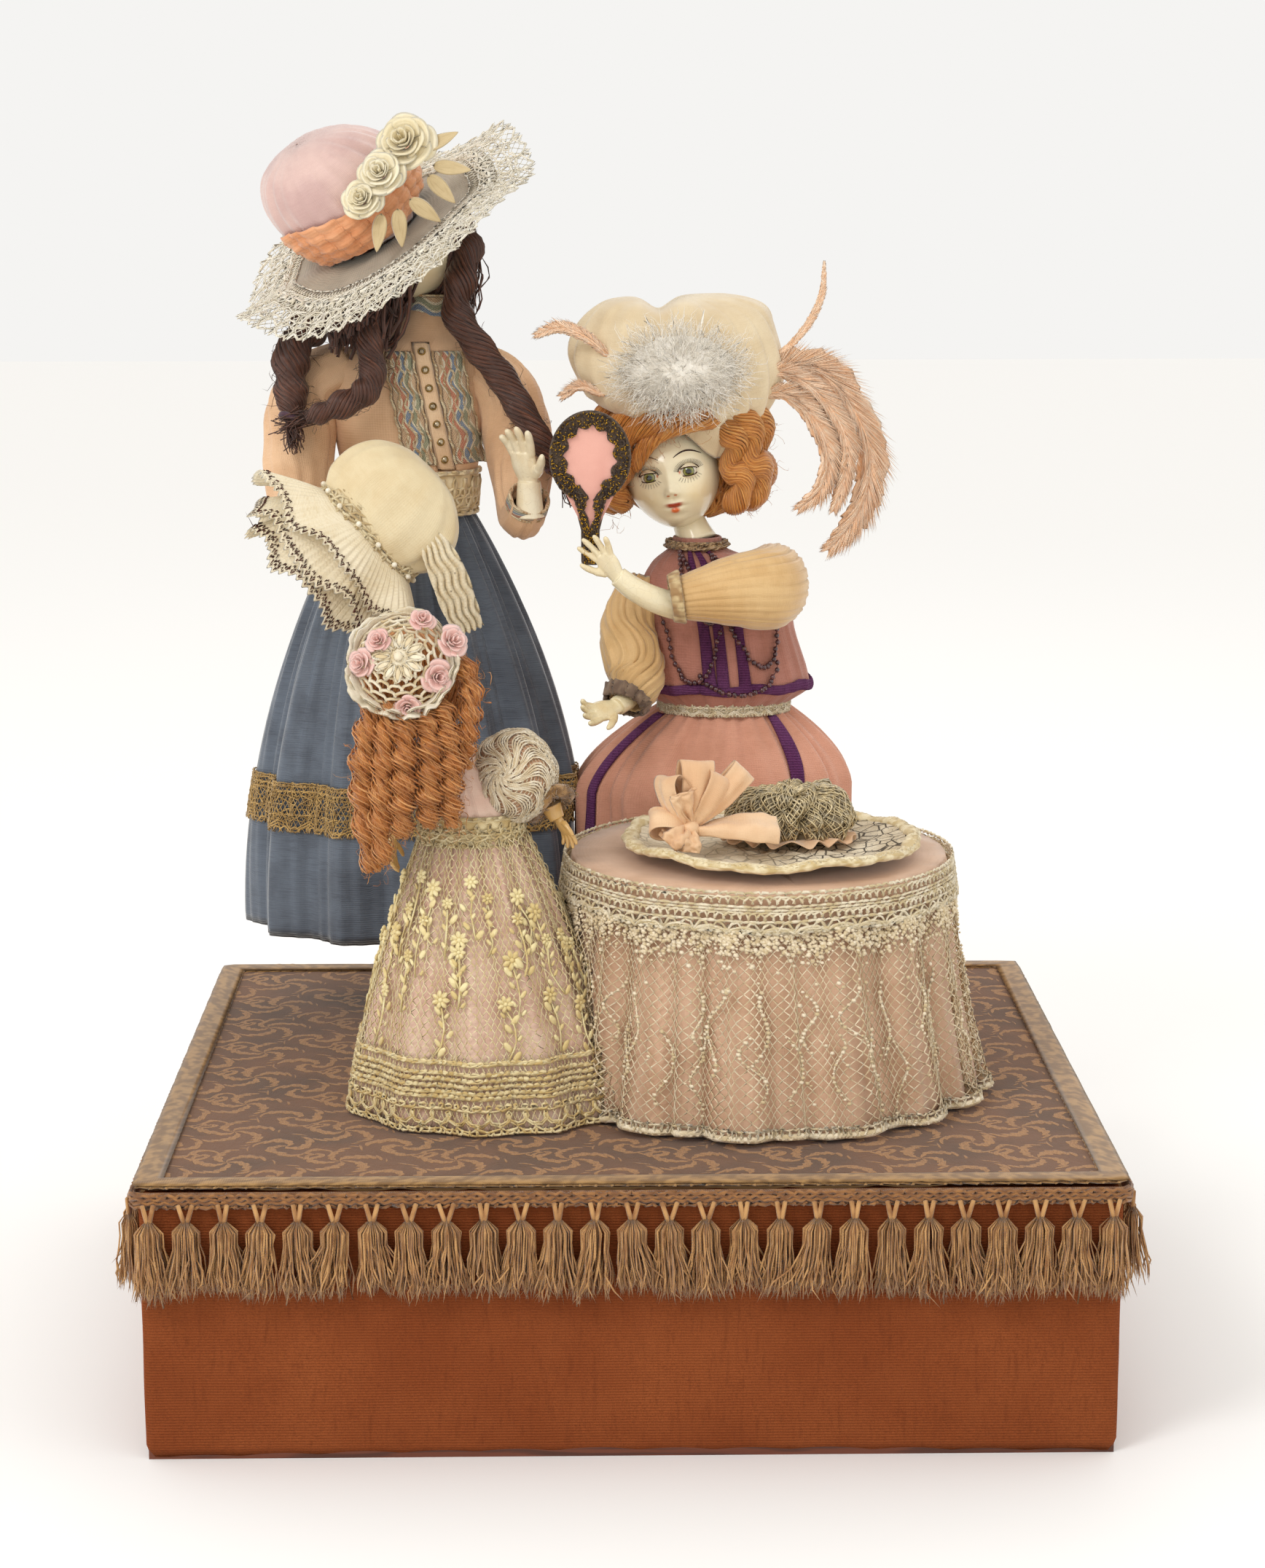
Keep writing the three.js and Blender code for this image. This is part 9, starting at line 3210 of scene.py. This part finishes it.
        rows = [
            (0.5, 0.3, 0.3, 1, 0.0), (0.5, 0.3, 0.3, 1, 0.5), (0.06, 0.05, 0.3, 2, 0),
            (0.94, 0.05, 0.3, 2, 0), (0.5, 0.1, 0.4, 2, 0)
        ]
        band = placed(
            "child_sash",
            joined(cloth(sash, 0.9, ring=True), crochet(sash, rows, 13, 0.6, lift=0.9, steps=10)),
            Thread("sash crochet", "ecdcb0", "c8ae78").made(), "base"
        )
        sheeted(
            [(grid, True), (upper, True)],
        )

    def puffs(self) -> None:
        """Right sleeve crocheted in a pinwheel round one centre, with its fuzzy cuff; a plain left sleeve."""
        shell = egg([0, 0, 0], [17.6, 18.8, 14.6], 60, 264)
        a = np.arange(264) * TAU / 264
        k = (
            1 - 0.03 * (1 - np.abs(np.sin(6 * a)))[:, None] * np.ones((1, 60))
            + 0.02 * np.sin(5 * a + 1)[:, None]
        )
        shell = shell * k[..., None]
        pole = unit(np.array([-0.3, -0.93, 0.22]))
        side = unit(np.cross([0, 0, 1.0], pole))
        shell = shell @ xyz(side, np.cross(pole, side), pole).T + np.array(self.puff_at) + [-1.5, 0, 0]
        under = Fabric("puff lining", "d2a886", "b58a68", Weave.SILK, 0.4, 0.7).made()
        sleeve = placed(
            "child_puff_lining", grids(shell, ring=True, size=(100, 60)), under, "base"
        )
        thread = Thread("puff crochet", "f2e6cc", "d8c29c", 0.75, 0.4).made()
        t = np.linspace(0.985, 0.6, 44)[None]
        spin = 0.2 * np.sin(math.pi * np.clip((0.99 - t) / 0.5, 0, 1))
        ribs = [
            sampled(shell, (np.arange(12)[:, None] + d) / 12 + spin, t + 0 * spin, 0.8, True)
            for d in (-0.3, -0.15, 0.0, 0.15, 0.3)
        ]
        fat = np.interp(np.linspace(0, 1, 44), [0, 0.15, 0.6, 1], [0.32, 0.44, 0.52, 0.36])
        rows = [(0.985, 0.006, 0.3, 1, 0), (0.6, 0.012, 0.3, 2, 0), (0.57, 0.012, 0.3, 2, 0.5)]
        rungs = [(v0, 0.004, 0.2, 2, 0.1) for v0 in np.linspace(0.64, 0.96, 12)]
        parts = joined(
            tubes(np.concatenate(ribs), fat, 6), crochet(shell, rows, 24, 0.45, lift=0.8, steps=9),
            crochet(shell, rungs, 24, 0.3, lift=0.5, steps=5),
            tulle(shell[:, :38], 110, 12, 0.42, lift=0.6),
        )
        placed("child_puff_crochet", parts, thread, "base")
        small = egg([-91.8, -55, 251.6], [13.5, 12.5, 13.5], 36, 120)
        small_in = pleated(small, 14, 0.08, 0.7)
        left = placed(
            "child_left_puff",
            joined(grids(small_in, ring=True, size=(80, 42)), tulle(small_in, 90, 12, 0.3, lift=0.5)),
            under, "base"
        )
        rng = np.random.default_rng(23)
        ring_at = spline(
            [(-31, -66.5, 247), (-24.5, -58, 244), (-31, -50, 239), (-39, -58, 235)], 200, closed=True
        )
        roots = np.repeat(ring_at, 6, 0) + rng.normal(0, 1.0, (1200, 3))
        fuzz = wisps(
            rng, roots, roots + unit(rng.normal(0, 1, (1200, 3))) * rng.uniform(1.8, 3.8, (1200, 1)), 0.2,
            0.2, 5, 0.9
        )
        cuff = joined(tubes(ring_at[None], 3.0, 8, closed=True), fuzz)
        placed(
            "child_fuzzy_cuff", cuff, Thread("brown chenille", "a98250", "75542f", 0.95, 0.5).made(),
            "base"
        )

    def hair(self) -> None:
        """Golden ginger hair: scalp, six long twisted ringlets at the back and loose hairs round them."""
        ginger = Tresses("ginger mohair", "cc7e38", "f6c582", "7c4016", 0.28).made()
        rng = np.random.default_rng(41)
        shell = egg([-88, -56, 291], [22.5, 23, 22], 36, 90)
        form = grids(shell, ring=True, size=(150, 60))
        form.uv = form.uv[..., ::-1].copy()
        over = strands_over(shell, 150, 0.9, 0.04, 0.5, span=(0.12, 0.96), seed=43)
        ways = [
            [(-101, -78, 288), (-105, -83, 274), (-107, -85, 258), (-106, -85, 240), (-104, -83, 218)],
            [(-96, -82, 288), (-98, -87, 272), (-99, -89, 256), (-100, -89, 240), (-99, -87, 222)],
            [(-91, -82, 287), (-90, -88, 272), (-90, -90, 258), (-91.5, -90, 246), (-91, -89, 233)],
            [(-84, -82, 287), (-80, -87, 274), (-79.5, -89, 260), (-80.5, -89, 248), (-80, -88, 237)],
            [(-77, -80, 289), (-73, -85, 276), (-71, -87, 262), (-72, -87, 250), (-71, -86, 237)],
            [(-67, -74, 304), (-63.5, -79, 292), (-64, -81, 280), (-66, -81, 270), (-66, -80, 260)],
        ]
        radii = (4.4, 4.0, 4.3, 4.2, 4.0, 3.6)
        lines = [spline(way, 80) for way in ways]
        main = [
            locks(
                line[None], size * (1 + 0.2 * np.sin(np.linspace(0, 34, 120) + k)), 3.2 if k < 5 else 2.0,
                3, 0.56, rows=120, sides=7, tail=0.7
            ) for k,
            (line, size) in enumerate(zip(lines, radii))
        ]
        fine = [
            locks(
                line[None], size * 1.12 * (1 + 0.2 * np.sin(np.linspace(0, 34, 110) + k)),
                3.2 if k < 5 else 2.0, 9, 0.1, rows=110, sides=4, tail=0.7
            ) for k,
            (line, size) in enumerate(zip(lines, radii))
        ]
        every = np.concatenate(lines)
        picks = every[rng.integers(0, len(every), 700)] + rng.normal(0, 3.0, (700, 3)) + [0, -1.5, 0]
        loose = wisps(rng, picks, picks + rng.normal(0, 2.2, (700, 3)) + [0, -0.4, -1.0], 0, 0.08, 9, 1.8)
        behind = (
            np.repeat(every[::2], 3, 0)[:700]
            + rng.normal(0, 2.5, (len(np.repeat(every[::2], 3, 0)[:700]), 3)) + [0, 5, 4]
        )
        fill = wisps(rng, behind, behind + rng.normal(0, 1.5, behind.shape) + [0, 0, -6], 0, 0.2, 8, 1.2)
        placed(
            "child_ringlets", joined(form, over, *main, *fine, loose, fill), ginger, "child_head_group",
            ("child_hair",)
        )

    def cap(self) -> None:
        """Crochet cap: a twelve-petal rosette, open mesh over the hair, gathered lace frills and rosebuds
        round it.
        """
        pole = unit(np.array([-0.1, -0.93, 0.36]))
        side = unit(np.cross([0, 0, 1.0], pole))
        turn = xyz(side, np.cross(pole, side), pole)
        centre = np.array([-89.5, -63, 297.5])
        a = (np.arange(360) * TAU / 360)[:, None]
        b = np.linspace(0.02, 1.02, 50)[None]
        shell = (
            xyz(23.0 * np.sin(b) * np.cos(a), 23.0 * np.sin(b) * np.sin(a), 24.5 * np.cos(b) + 0 * a)
            @ turn.T
            + centre
        )
        body, slot = "child_head_group", "cream_crochet"
        cream = Thread("cap crochet", "f3e9d0", "d9c49a", 0.78, 0.4).made()
        disc = placed("child_cap_lining", cloth(shell[:, :13], 0.7, ring=True), cream, body)
        petals = [
            (0.17, 0.10, 0.36, 1, 0.0), (0.165, 0.075, 0.28, 1, 0.0), (0.16, 0.05, 0.2, 1, 0.0),
            (0.04, 0.02, 0.3, 1, 0), (0.29, 0.02, 0.12, 2, 0.0), (0.31, 0.02, 0.2, 2, 0.5)
        ]
        mesh = [
            (0.4, 0.05, 0.2, 1, 0.0), (0.52, 0.05, 0.24, 1, 0.5), (0.64, 0.05, 0.24, 1, 0.0),
            (0.76, 0.05, 0.24, 1, 0.5), (0.88, 0.05, 0.24, 1, 0.0), (0.97, 0.02, 0.2, 2, 0.0)
        ]
        petal_at = sampled(shell, np.arange(12) / 12, np.full(12, 0.27), -1.2, True)
        out = unit(petal_at - centre)
        ahead = unit(petal_at - petal_at.mean(0))
        turns = np.stack([np.cross(ahead, out), ahead, out], -1)
        turns = turns / np.linalg.norm(turns, axis=1, keepdims=True)
        petal = joined(
            grids(egg([0, 0, 0], [1.25, 3.3, 0.7], 8, 12), ring=True),
            tubes(
                xyz(
                    1.5 * np.sin(np.arange(16) * TAU / 16), 3.6 * np.cos(np.arange(16) * TAU / 16),
                    0.5 + np.zeros(16)
                )[None],
                0.45, 5, closed=True
            )
        )
        knob = grids(egg(centre + pole * 26.0, [1.8, 1.8, 1.8], 10, 14), ring=True)
        work = joined(
            copies(petal, petal_at, turns), knob, crochet(shell, petals[3:], 12, 0.5, lift=-1.1, steps=14),
            crochet(shell, mesh, 15, 0.66, lift=-1.0, steps=10)
        )
        cap = placed("child_cap_crochet", work, cream, body, ("child_cap",))
        sheeted([(shell[:, :13], True)])
        edge = shell[:, -3]
        out = unit(edge - centre)
        frills, cords = [], []
        for deep, rise, folds, lift, phase in ((8.0, 0.35, 17, 0.4, 0), (6.5, 0.9, 13, 1.0, 20)):
            way = unit(out * (1 - rise * 0.4) + pole * rise)
            start = np.roll(edge, phase, 0) + pole * lift
            frill = ruffle(start, np.roll(way, phase, 0), deep, 2.6, folds, rows=12, rise=pole)
            turn_at = np.roll(a[:, 0], phase)
            fade = 0.78 - 0.3 * np.sin(turn_at) + 0.16 * np.sin(5 * turn_at + 1 + lift)
            frill = start[:, None] + (frill - start[:, None]) * fade[:, None, None]
            frills.append(frill)
            cords.append(
                crochet(
                    frill, [(0.95, 0.05, 0.3, 1, 0), (0.6, 0.12, 0.3, 1, 0), (0.6, 0.12, 0.3, 1, 0.5)], 56,
                    0.34, lift=0.5, steps=6
                )
            )
        muslin = Fabric("cap muslin", "f2ead8", "dac8a2", Weave.CANVAS, 0.4, 0.8, 0.1).made()
        ruffled = placed(
            "child_cap_ruffle", joined(*[cloth(f, 0.5, ring=True) for f in frills]), muslin, body
        )
        edging = placed("child_cap_edging", joined(*cords), cream, body)
        sheeted([(f, True) for f in frills])
        at = np.array(
            [
                (-82.7, -80, 319.8), (-71.5, -80, 310.9), (-77.3, -84, 298.0), (-88.7, -85.5, 286.5),
                (-106.6, -80, 302.8), (-99.8, -82, 312.0)
            ]
        )
        out = unit(at - (centre - pole * 8))
        sizes_ = (4.6, 6.2, 6.2, 5.2, 5.6, 4.6)
        buds = joined(
            *[
                copies(petal_rose(size * 1.12, 14, k + 30, 7), at[k : k + 1], facing(out[k : k + 1])) for k,
                size in enumerate(sizes_)
            ]
        )
        placed(
            "child_cap_buds", buds, Fabric("bud silk", "f5d2c8", "e6b4aa", Weave.SILK, 0.5, 0.6).made(),
            body
        )
        around = np.cross(out, pole)
        spots = np.concatenate([at[:4] + around[:4] * 6.0 * s for s in (-1, 1)])
        leaf = grids(egg([0, 0, 0], [3.2, 1.7, 0.6], 7, 10), ring=True)
        placed(
            "child_cap_leaves", copies(leaf, spots, facing(np.concatenate([out[:4], out[:4]]))),
            Thread("bud leaf silk", "e6d6a4", "c8b478").made(), body
        )


@dataclass
class NetTable:
    """Round table: pink lining, net skirt with nubby embroidery, crochet edging, and the plate hat lying
    on it.
    """

    x: float = 56.0
    y: float = -27.0
    top: float = 213.6
    low: float = 113.4
    hat_at: tuple[float, float] = (61.0, -37.0)

    def build(self) -> None:
        """Builds the cloth and the hat."""
        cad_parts["table"].data.materials.clear()
        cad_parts["table"].data.materials.append(Timber("table wood", "8f6440", "64422a").made())
        self.cloth()
        self.hat()
        self.bow()
        self.ornament()

    def fall(self, rows: int, sides: int) -> Array:
        """The hanging part: radius 80 to 96 growing with (1 - t)^1.5, less 17 folds, pressed off its
        neighbours.

        Args:
            rows: Points up.
            sides: Points round.
        Returns:
            Shape (sides, rows, 3).
        """
        t = np.linspace(0, 1, rows)[None]
        a = (np.arange(sides) * TAU / sides)[:, None]
        fold = 5.6 * (1 - 0.85 * t) * (0.5 + 0.5 * np.cos(17 * a + 1.7 * np.sin(2 * a)))
        fine = 0.9 * (1 - 0.6 * t) * np.cos(41 * a + 3 * t + np.sin(3 * a))
        r = 79.4 + 16 * (1 - t) ** 1.5 - fold - fine
        z = self.low + (self.top - 1.0 - self.low) * t + 0 * a
        grid = xyz(self.x + r * np.cos(a), self.y + r * np.sin(a), z)
        s = np.clip((z - 112.5) / 118, 0, 1)
        flare = 1 - s**1.25
        grid = pressed(grid, -57 - 7 * s, -55, 20 + 41 * flare + 2.6, 15 + 40 * flare + 2.6)
        return pressed(grid, 41, 98, 68.4, 43.4)

    def cloth(self) -> None:
        """Lining over the table, the six-sided net hung over it, its nubby embroidery and the crochet
        edging.
        """
        fall = self.fall(56, 640)
        a = (np.arange(640) * TAU / 640)[:, None]
        t = np.linspace(0, 1, 14)[None]
        r = 78.6 * (1 - t) + 0.4
        lid = xyz(
            self.x + r * np.cos(a), self.y + r * np.sin(a),
            self.top - 0.7 + 0.5 * np.minimum(t * 12, 1) + 0 * a
        )
        whole = np.concatenate([fall, lid], 1)
        pink = Fabric("table pink silk", "e2bda0", "c29a7a", Weave.SILK, 0.4, 0.6, 0.15).made()
        lining = placed(
            "table_lining", cloth(whole, 0.8, ring=True), pink, "base", ("table_cloth",)
        )
        u = np.linspace(0, 1, 640, endpoint=False)[:, None]
        v = np.linspace(0.0, 1, 56)[None]
        gather = 0.5 + 0.5 * np.cos(TAU * 23 * u + 2 * np.sin(TAU * 3 * u) + 1.2 * v)
        veil = sampled(fall, u + 0 * v, v + 0 * u, 1.5 + 4.8 * gather**1.5 * (1 - v) ** 0.5, True)
        grey = Thread("table net thread", "f4e4c4", "d8c098", 0.8).made()
        halves = np.concatenate([veil[320:], veil[:1]]), veil[:321]
        nets = [
            placed(
                f"table_net_{word}", tulle(half[:, :50], 164, 19, 0.32, ring=False, lift=0.5), grey, "base",
            ) for word,
            half in zip(("front", "back"), halves)
        ]
        rng = np.random.default_rng(51)
        heap_u = rng.uniform(0, 1, 5200)
        heap_v = 0.86 - np.abs(rng.normal(0, 0.075, 5200))
        keep = (
            np.sin(TAU * 31 * heap_u + 2 * np.sin(TAU * 7 * heap_u))
            + 3.4 * (heap_v - 0.66) / 0.2 > rng.uniform(0, 1.6, 5200)
        )
        sprig = np.arange(64)[:, None]
        run = np.linspace(0, 1, 17)[None]
        sprig_u = (
            (sprig + rng.uniform(-0.3, 0.3, (64, 1))) / 64 + 0.006 * np.sin(TAU * run + sprig)
            + 0.008 * rng.uniform(-1, 1, (64, 1)) * run
        )
        sprig_v = np.where(sprig % 2 == 0, 0.60, 0.42) - run * rng.uniform(0.22, 0.36, (64, 1))
        nub_u = np.concatenate([heap_u[keep], sprig_u.ravel(), rng.uniform(0, 1, 300)])
        nub_v = np.concatenate([heap_v[keep], sprig_v.ravel(), rng.uniform(0.08, 0.7, 300)])
        at = sampled(veil, nub_u, np.clip(nub_v, 0.05, 0.95), 1.2, True)
        nub = grids(egg([0, 0, 0], [1.1, 0.85, 0.8], 3, 5), ring=True)
        pale = Thread("nub silk", "f4e6ca", "d2bd94", 0.8, 0.3).made()
        nubs = placed(
            "table_nubs",
            copies(
                nub, at, facing(unit(at - [self.x, self.y, 170]), tuple((0.3, 0.2, 1.0))),
                rng.uniform(0.6, 1.3, len(at))
            ),
            pale, "base", whole=True
        )
        stems = joined(
            tubes(sampled(veil, sprig_u, np.clip(sprig_v, 0.05, 0.95), 1.0, True), 0.42, 4),
            tubes(
                (veil[:, 1] + 0.5 * xyz(np.cos(a[:, 0]), np.sin(a[:, 0]), 0 * a[:, 0]))[None], 1.5, 6,
                closed=True
            ),
            crochet(
                veil[:, :4], [(0.5, 0.36, 0.32, 1, 0), (0.5, 0.36, 0.32, 1, 0.5), (0.9, 0.1, 0.3, 2, 0)],
                150, 0.6, lift=1.4, steps=6
            )
        )
        hem = placed("table_hem_cord", stems, pale, "base")
        reach = np.linspace(0, 1, 16)[None]
        ring = 80.6 + 2.4 * reach
        rim = xyz(
            self.x + ring * np.cos(a), self.y + ring * np.sin(a),
            self.top + 0.3 - 16.5 * reach + 0.5 * np.sin(9 * a) * reach + 0 * a
        )
        rim = pressed(rim, 41, 98, 69.6, 44.6)
        rows = [
            (0.03, 0.04, 0.1, 2, 0), (0.2, 0.1, 0.26, 1, 0.0), (0.2, 0.1, 0.26, 1, 0.5),
            (0.36, 0.02, 0.2, 2, 0), (0.44, 0.02, 0.2, 2, 0.5), (0.58, 0.1, 0.26, 1, 0.25),
            (0.58, 0.1, 0.26, 1, 0.75), (0.72, 0.025, 0.2, 2, 0.3), (0.84, 0.11, 0.1, 1, 0.0),
            (0.95, 0.05, 0.42, 2, 0.2), (0.97, 0.13, 0.44, 0.5, 0.0), (0.94, 0.1, 0.3, 0.5, 0.0),
        ]
        cream = Thread("table edging", "efe3c8", "cdb98e", 0.75).made()
        edging = placed(
            "table_edging", crochet(rim, rows, 78, 0.62, lift=-1.5, steps=8), cream, "base"
        )
        sheeted([(whole, True)])

    def hat(self) -> None:
        """Flat hat: a disc under a crackle net with a thin rolled crochet rim."""
        x, y = self.hat_at
        a = (np.arange(420) * TAU / 420)[:, None]
        t = np.linspace(0, 1, 60)[None]
        r = 0.4 + 60 * t
        rise = 5.5 * np.clip((r - 34) / 26, 0, 1) ** 1.4
        z = (
            216.2 + rise + 0.9 * np.sin(5 * a + 1) * t**2 + 1.6 * np.exp(-((r - 20) / 9) ** 2) * 0.4
            + 0.5 * np.sin(11 * a + 3 * t)
        )
        grid = xyz(x + r * np.cos(a), y + r * np.sin(a), z)
        disc = placed(
            "plate_hat_disc", cloth(grid, 1.6, ring=True),
            Crackle("plate crackle", "e2d4ba", "c0ad8e", "2e241c", 0.16).made(), "base",
            ("plate_hat",)
        )
        roll = grid[:, -1]
        turn = np.linspace(0, TAU, 13)[None, :]
        out = unit(roll - [x, y, roll[:, 2].mean()])[:, None]
        puff = (1 + 0.12 * np.sin(17 * a) + 0.08 * np.sin(41 * a + 1))
        tube = (
            roll[:, None] + out * (3.4 * puff * np.cos(turn) - 0.9)[..., None]
            + np.array([0, 0, 1.0]) * (1.9 * puff * np.sin(turn) - 0.2)[..., None]
        )
        cream = Thread("plate rim lace", "efe0ba", "ccb27c", 0.7).made()
        rows = [
            (0.5, 0.42, 0.32, 1, 0.0), (0.5, 0.42, 0.32, 1, 0.5), (0.3, 0.2, 0.3, 2, 0.2),
            (0.12, 0.05, 0.3, 2, 0), (0.6, 0.05, 0.3, 3, 0), (0.2, 0.12, 0.34, 1, 0.2)
        ]
        form = joined(
            grids(tube[:, :-1], ring=True, loop=True, size=(400, 20)),
            crochet(tube, rows, 84, 0.42, lift=-0.3, steps=10)
        )
        rim = placed("plate_hat_rim", form, cream, "base")
        sheeted([(grid, True)])

    def bow(self) -> None:
        """Apricot silk bow: broad soft loops and tails round a small knot, one tail running right under
        the tuft.
        """
        silk = Fabric("bow silk", "efcca4", "d6a274", Weave.SILK, 0.5, 0.34, 0.08).made()
        knot = np.array([26.0, -58.0, 229.5])
        fans = []
        for way, deep, long, half in (
            ((-0.45, -0.1, 1), (-1, -0.6, 0.1), 24, 8.5), ((0.1, 0.0, 1), (0.3, -1, 0), 28, 8.0),
            ((0.55, 0.1, 0.9), (0.6, -0.9, 0), 25, 7.5), ((-1, -0.15, 0.25), (0.1, -0.6, 0.9), 17, 7.0),
            ((0.8, 0.3, 0.8), (0.2, -1, 0.2), 33, 6.0),
        ):
            w, n = unit(np.array(way, float)), np.array(deep, float)
            n = unit(n - w * float(w @ n))
            line = spline(
                [
                    knot, knot + w * long * 0.45 + n * 4.5, knot + w * long * 0.9 + n * 3.5,
                    knot + w * long * 1.02 - n * 0.5, knot + w * long * 0.8 - n * 3.5,
                    knot + w * long * 0.4 - n * 2.5, knot
                ],
                90
            )
            s = np.linspace(-1, 1, 24)[None]
            breadth = (
                half
                * np.interp(
                    np.linspace(0, 1, 90), [0, 0.2, 0.5, 0.8, 1], [0.3, 0.85, 1.0, 0.85, 0.3]
                )[:, None]
            )
            ply = np.cross(w, n)
            soft = n * (
                0.7 * np.sin(3.3 * s * math.pi / 2 + 1) * np.linspace(1, 0.2, 90)[:, None] - 1.1 * s**2
            )[..., None]
            fans.append(line[:, None] + ply * (breadth * s)[..., None] + soft)
        for way, long, wide, lean, pleats in (
            ((1, -0.05, 0.04), 37, 8.5, (0.1, -0.75, 1), 1),
            ((-0.75, -0.75, -0.2), 15, 6.5, (0, -0.6, 0.8), 2),
            ((-0.15, -0.9, -0.6), 13, 6, (0, -0.7, 0.8), 2), ((-0.15, -0.5, 1), 20, 6.5, (0.3, -1, 0.3), 2),
        ):
            w = unit(np.array(way, float))
            path = [
                knot, knot + w * long * 0.35 + [0, -2.5, 2.0], knot + w * long * 0.75 + [0, -2.0, 1.5],
                knot + w * long + [0, 0, -0.5]
            ]
            fans.append(
                ribbon(
                    path, [2.0, wide * 0.7, wide, wide * 0.92], lean, pleats, 1.1, rows=70, cols=50,
                    curve=2.2
                )
            )
        centre = grids(egg(knot + [0, -1.5, 0.5], [3.8, 3.6, 3.6], 20, 30), ring=True)
        piece = placed(
            "plate_hat_bow", joined(*[cloth(f, 0.45) for f in fans], centre), silk, "base",
            ("hat_bow",)
        )
        sheeted([(f, False) for f in fans])

    def ornament(self) -> None:
        """Crumpled sparkling mesh lying on a frill of peach ribbon."""
        centre = np.array([68.5, -33.0, 229.5])
        a = np.arange(400) * TAU / 400
        path = centre + xyz(20 * np.cos(a), 11 * np.sin(a), -8.0 + 0 * a)
        frill = ruffle(path, xyz(np.cos(a), np.sin(a), -0.1 + 0 * a), 8.5, 1.6, 15, rows=14)
        peach = Fabric("ornament ribbon", "ebc6a0", "cf9c70", Weave.SILK, 0.5, 0.4, 0.08).made()
        base = placed(
            "ornament_ruffle", cloth(frill, 0.5, ring=True), peach, "base", ("hat_ornament",)
        )
        sheeted([(frill, True)])
        shell = egg([0, 0, 0], [25.0, 15.0, 12.0], 48, 200)
        way = unit(shell)
        rng = np.random.default_rng(61)
        swell = sum(
            rng.uniform(0.03, 0.075) * np.sin(way @ rng.normal(0, k, 3) + rng.uniform(0, TAU))
            for k in (3, 4, 5, 6, 8, 9, 11, 13)
        )
        shell = shell * (1 + swell)[..., None] + centre
        upper = shell[:, 14:]
        count = 1500
        spots = sampled(
            upper, rng.uniform(0, 1, count), rng.uniform(0, 0.96, count), rng.uniform(0.1, 1.4, count), True
        )
        spangle = grids(egg([0, 0, 0], [0.6, 0.6, 0.33], 3, 5), ring=True)
        turns = facing(unit(spots - centre + rng.normal(0, 6, (count, 3))))
        gold = Enamel("mesh gold", "d8c498", "a89c84", 0.25, 0.3, 0.3).made()
        form = joined(
            netting(upper, 76, 9, 0.3, steps=26), netting(upper, 52, -7, 0.4, steps=26, lift=0.9),
            copies(spangle, spots, turns)
        )
        placed("ornament_mesh", form, gold, "base")
        inner = centre + (shell - centre) * 0.95
        placed(
            "ornament_core", grids(inner, ring=True),
            Enamel("mesh ground", "a8977a", "7c7058", 0.45, 0.1, 0.3).made(), "base"
        )


@dataclass
class Movement:
    """Finishes of the clockwork that the frame carries over."""

    brass: tuple[str, ...] = (
        "front_plate", "back_plate", "spring_barrel", "intermediate_wheel", "fly_governor", "camshaft",
        "cam_bracket",
    )
    steel: tuple[str, ...] = (
        "winding_arbor", "winding_key", "mainspring", "girl_arm_lever", "girl_head_lever", "child_lever",
        "lady_arm_lever", "lady_head_lever", "girl_push_rod", "lady_push_rod", "start_lever",
    )

    def build(self) -> None:
        """Gives every plate, wheel and lever its metal."""
        brass = Metal("clock brass", "c09a50", "7e6232").made()
        steel = Metal("spring steel", "8e9094", "5e5c5a", 0.28).made()
        for names, finish in ((self.brass, brass), (self.steel, steel)):
            for name in names:
                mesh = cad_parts[name].data
                mesh.materials.clear()
                mesh.materials.append(finish)
                LOG.info("%s in %s", name, finish.name)


def sizes() -> dict[str, list[float]]:
    """Lowest and highest corner of what the frame holds now, in metres, as plain lists."""
    low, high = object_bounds()
    return {"low": [round(float(x), 5) for x in low], "high": [round(float(x), 5) for x in high]}


def main() -> None:
    """Builds the tableau piece by piece."""
    logging.basicConfig(level=logging.INFO, format="%(name)s %(message)s")
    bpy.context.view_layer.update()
    studio()
    for piece in (TasselBox(), Movement(), StandingGirl(), SeatedLady(), CurlyChild(), NetTable()):
        LOG.info("building %s", type(piece).__name__)
        piece.build()
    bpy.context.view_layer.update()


if __name__ == "__main__":
    main()
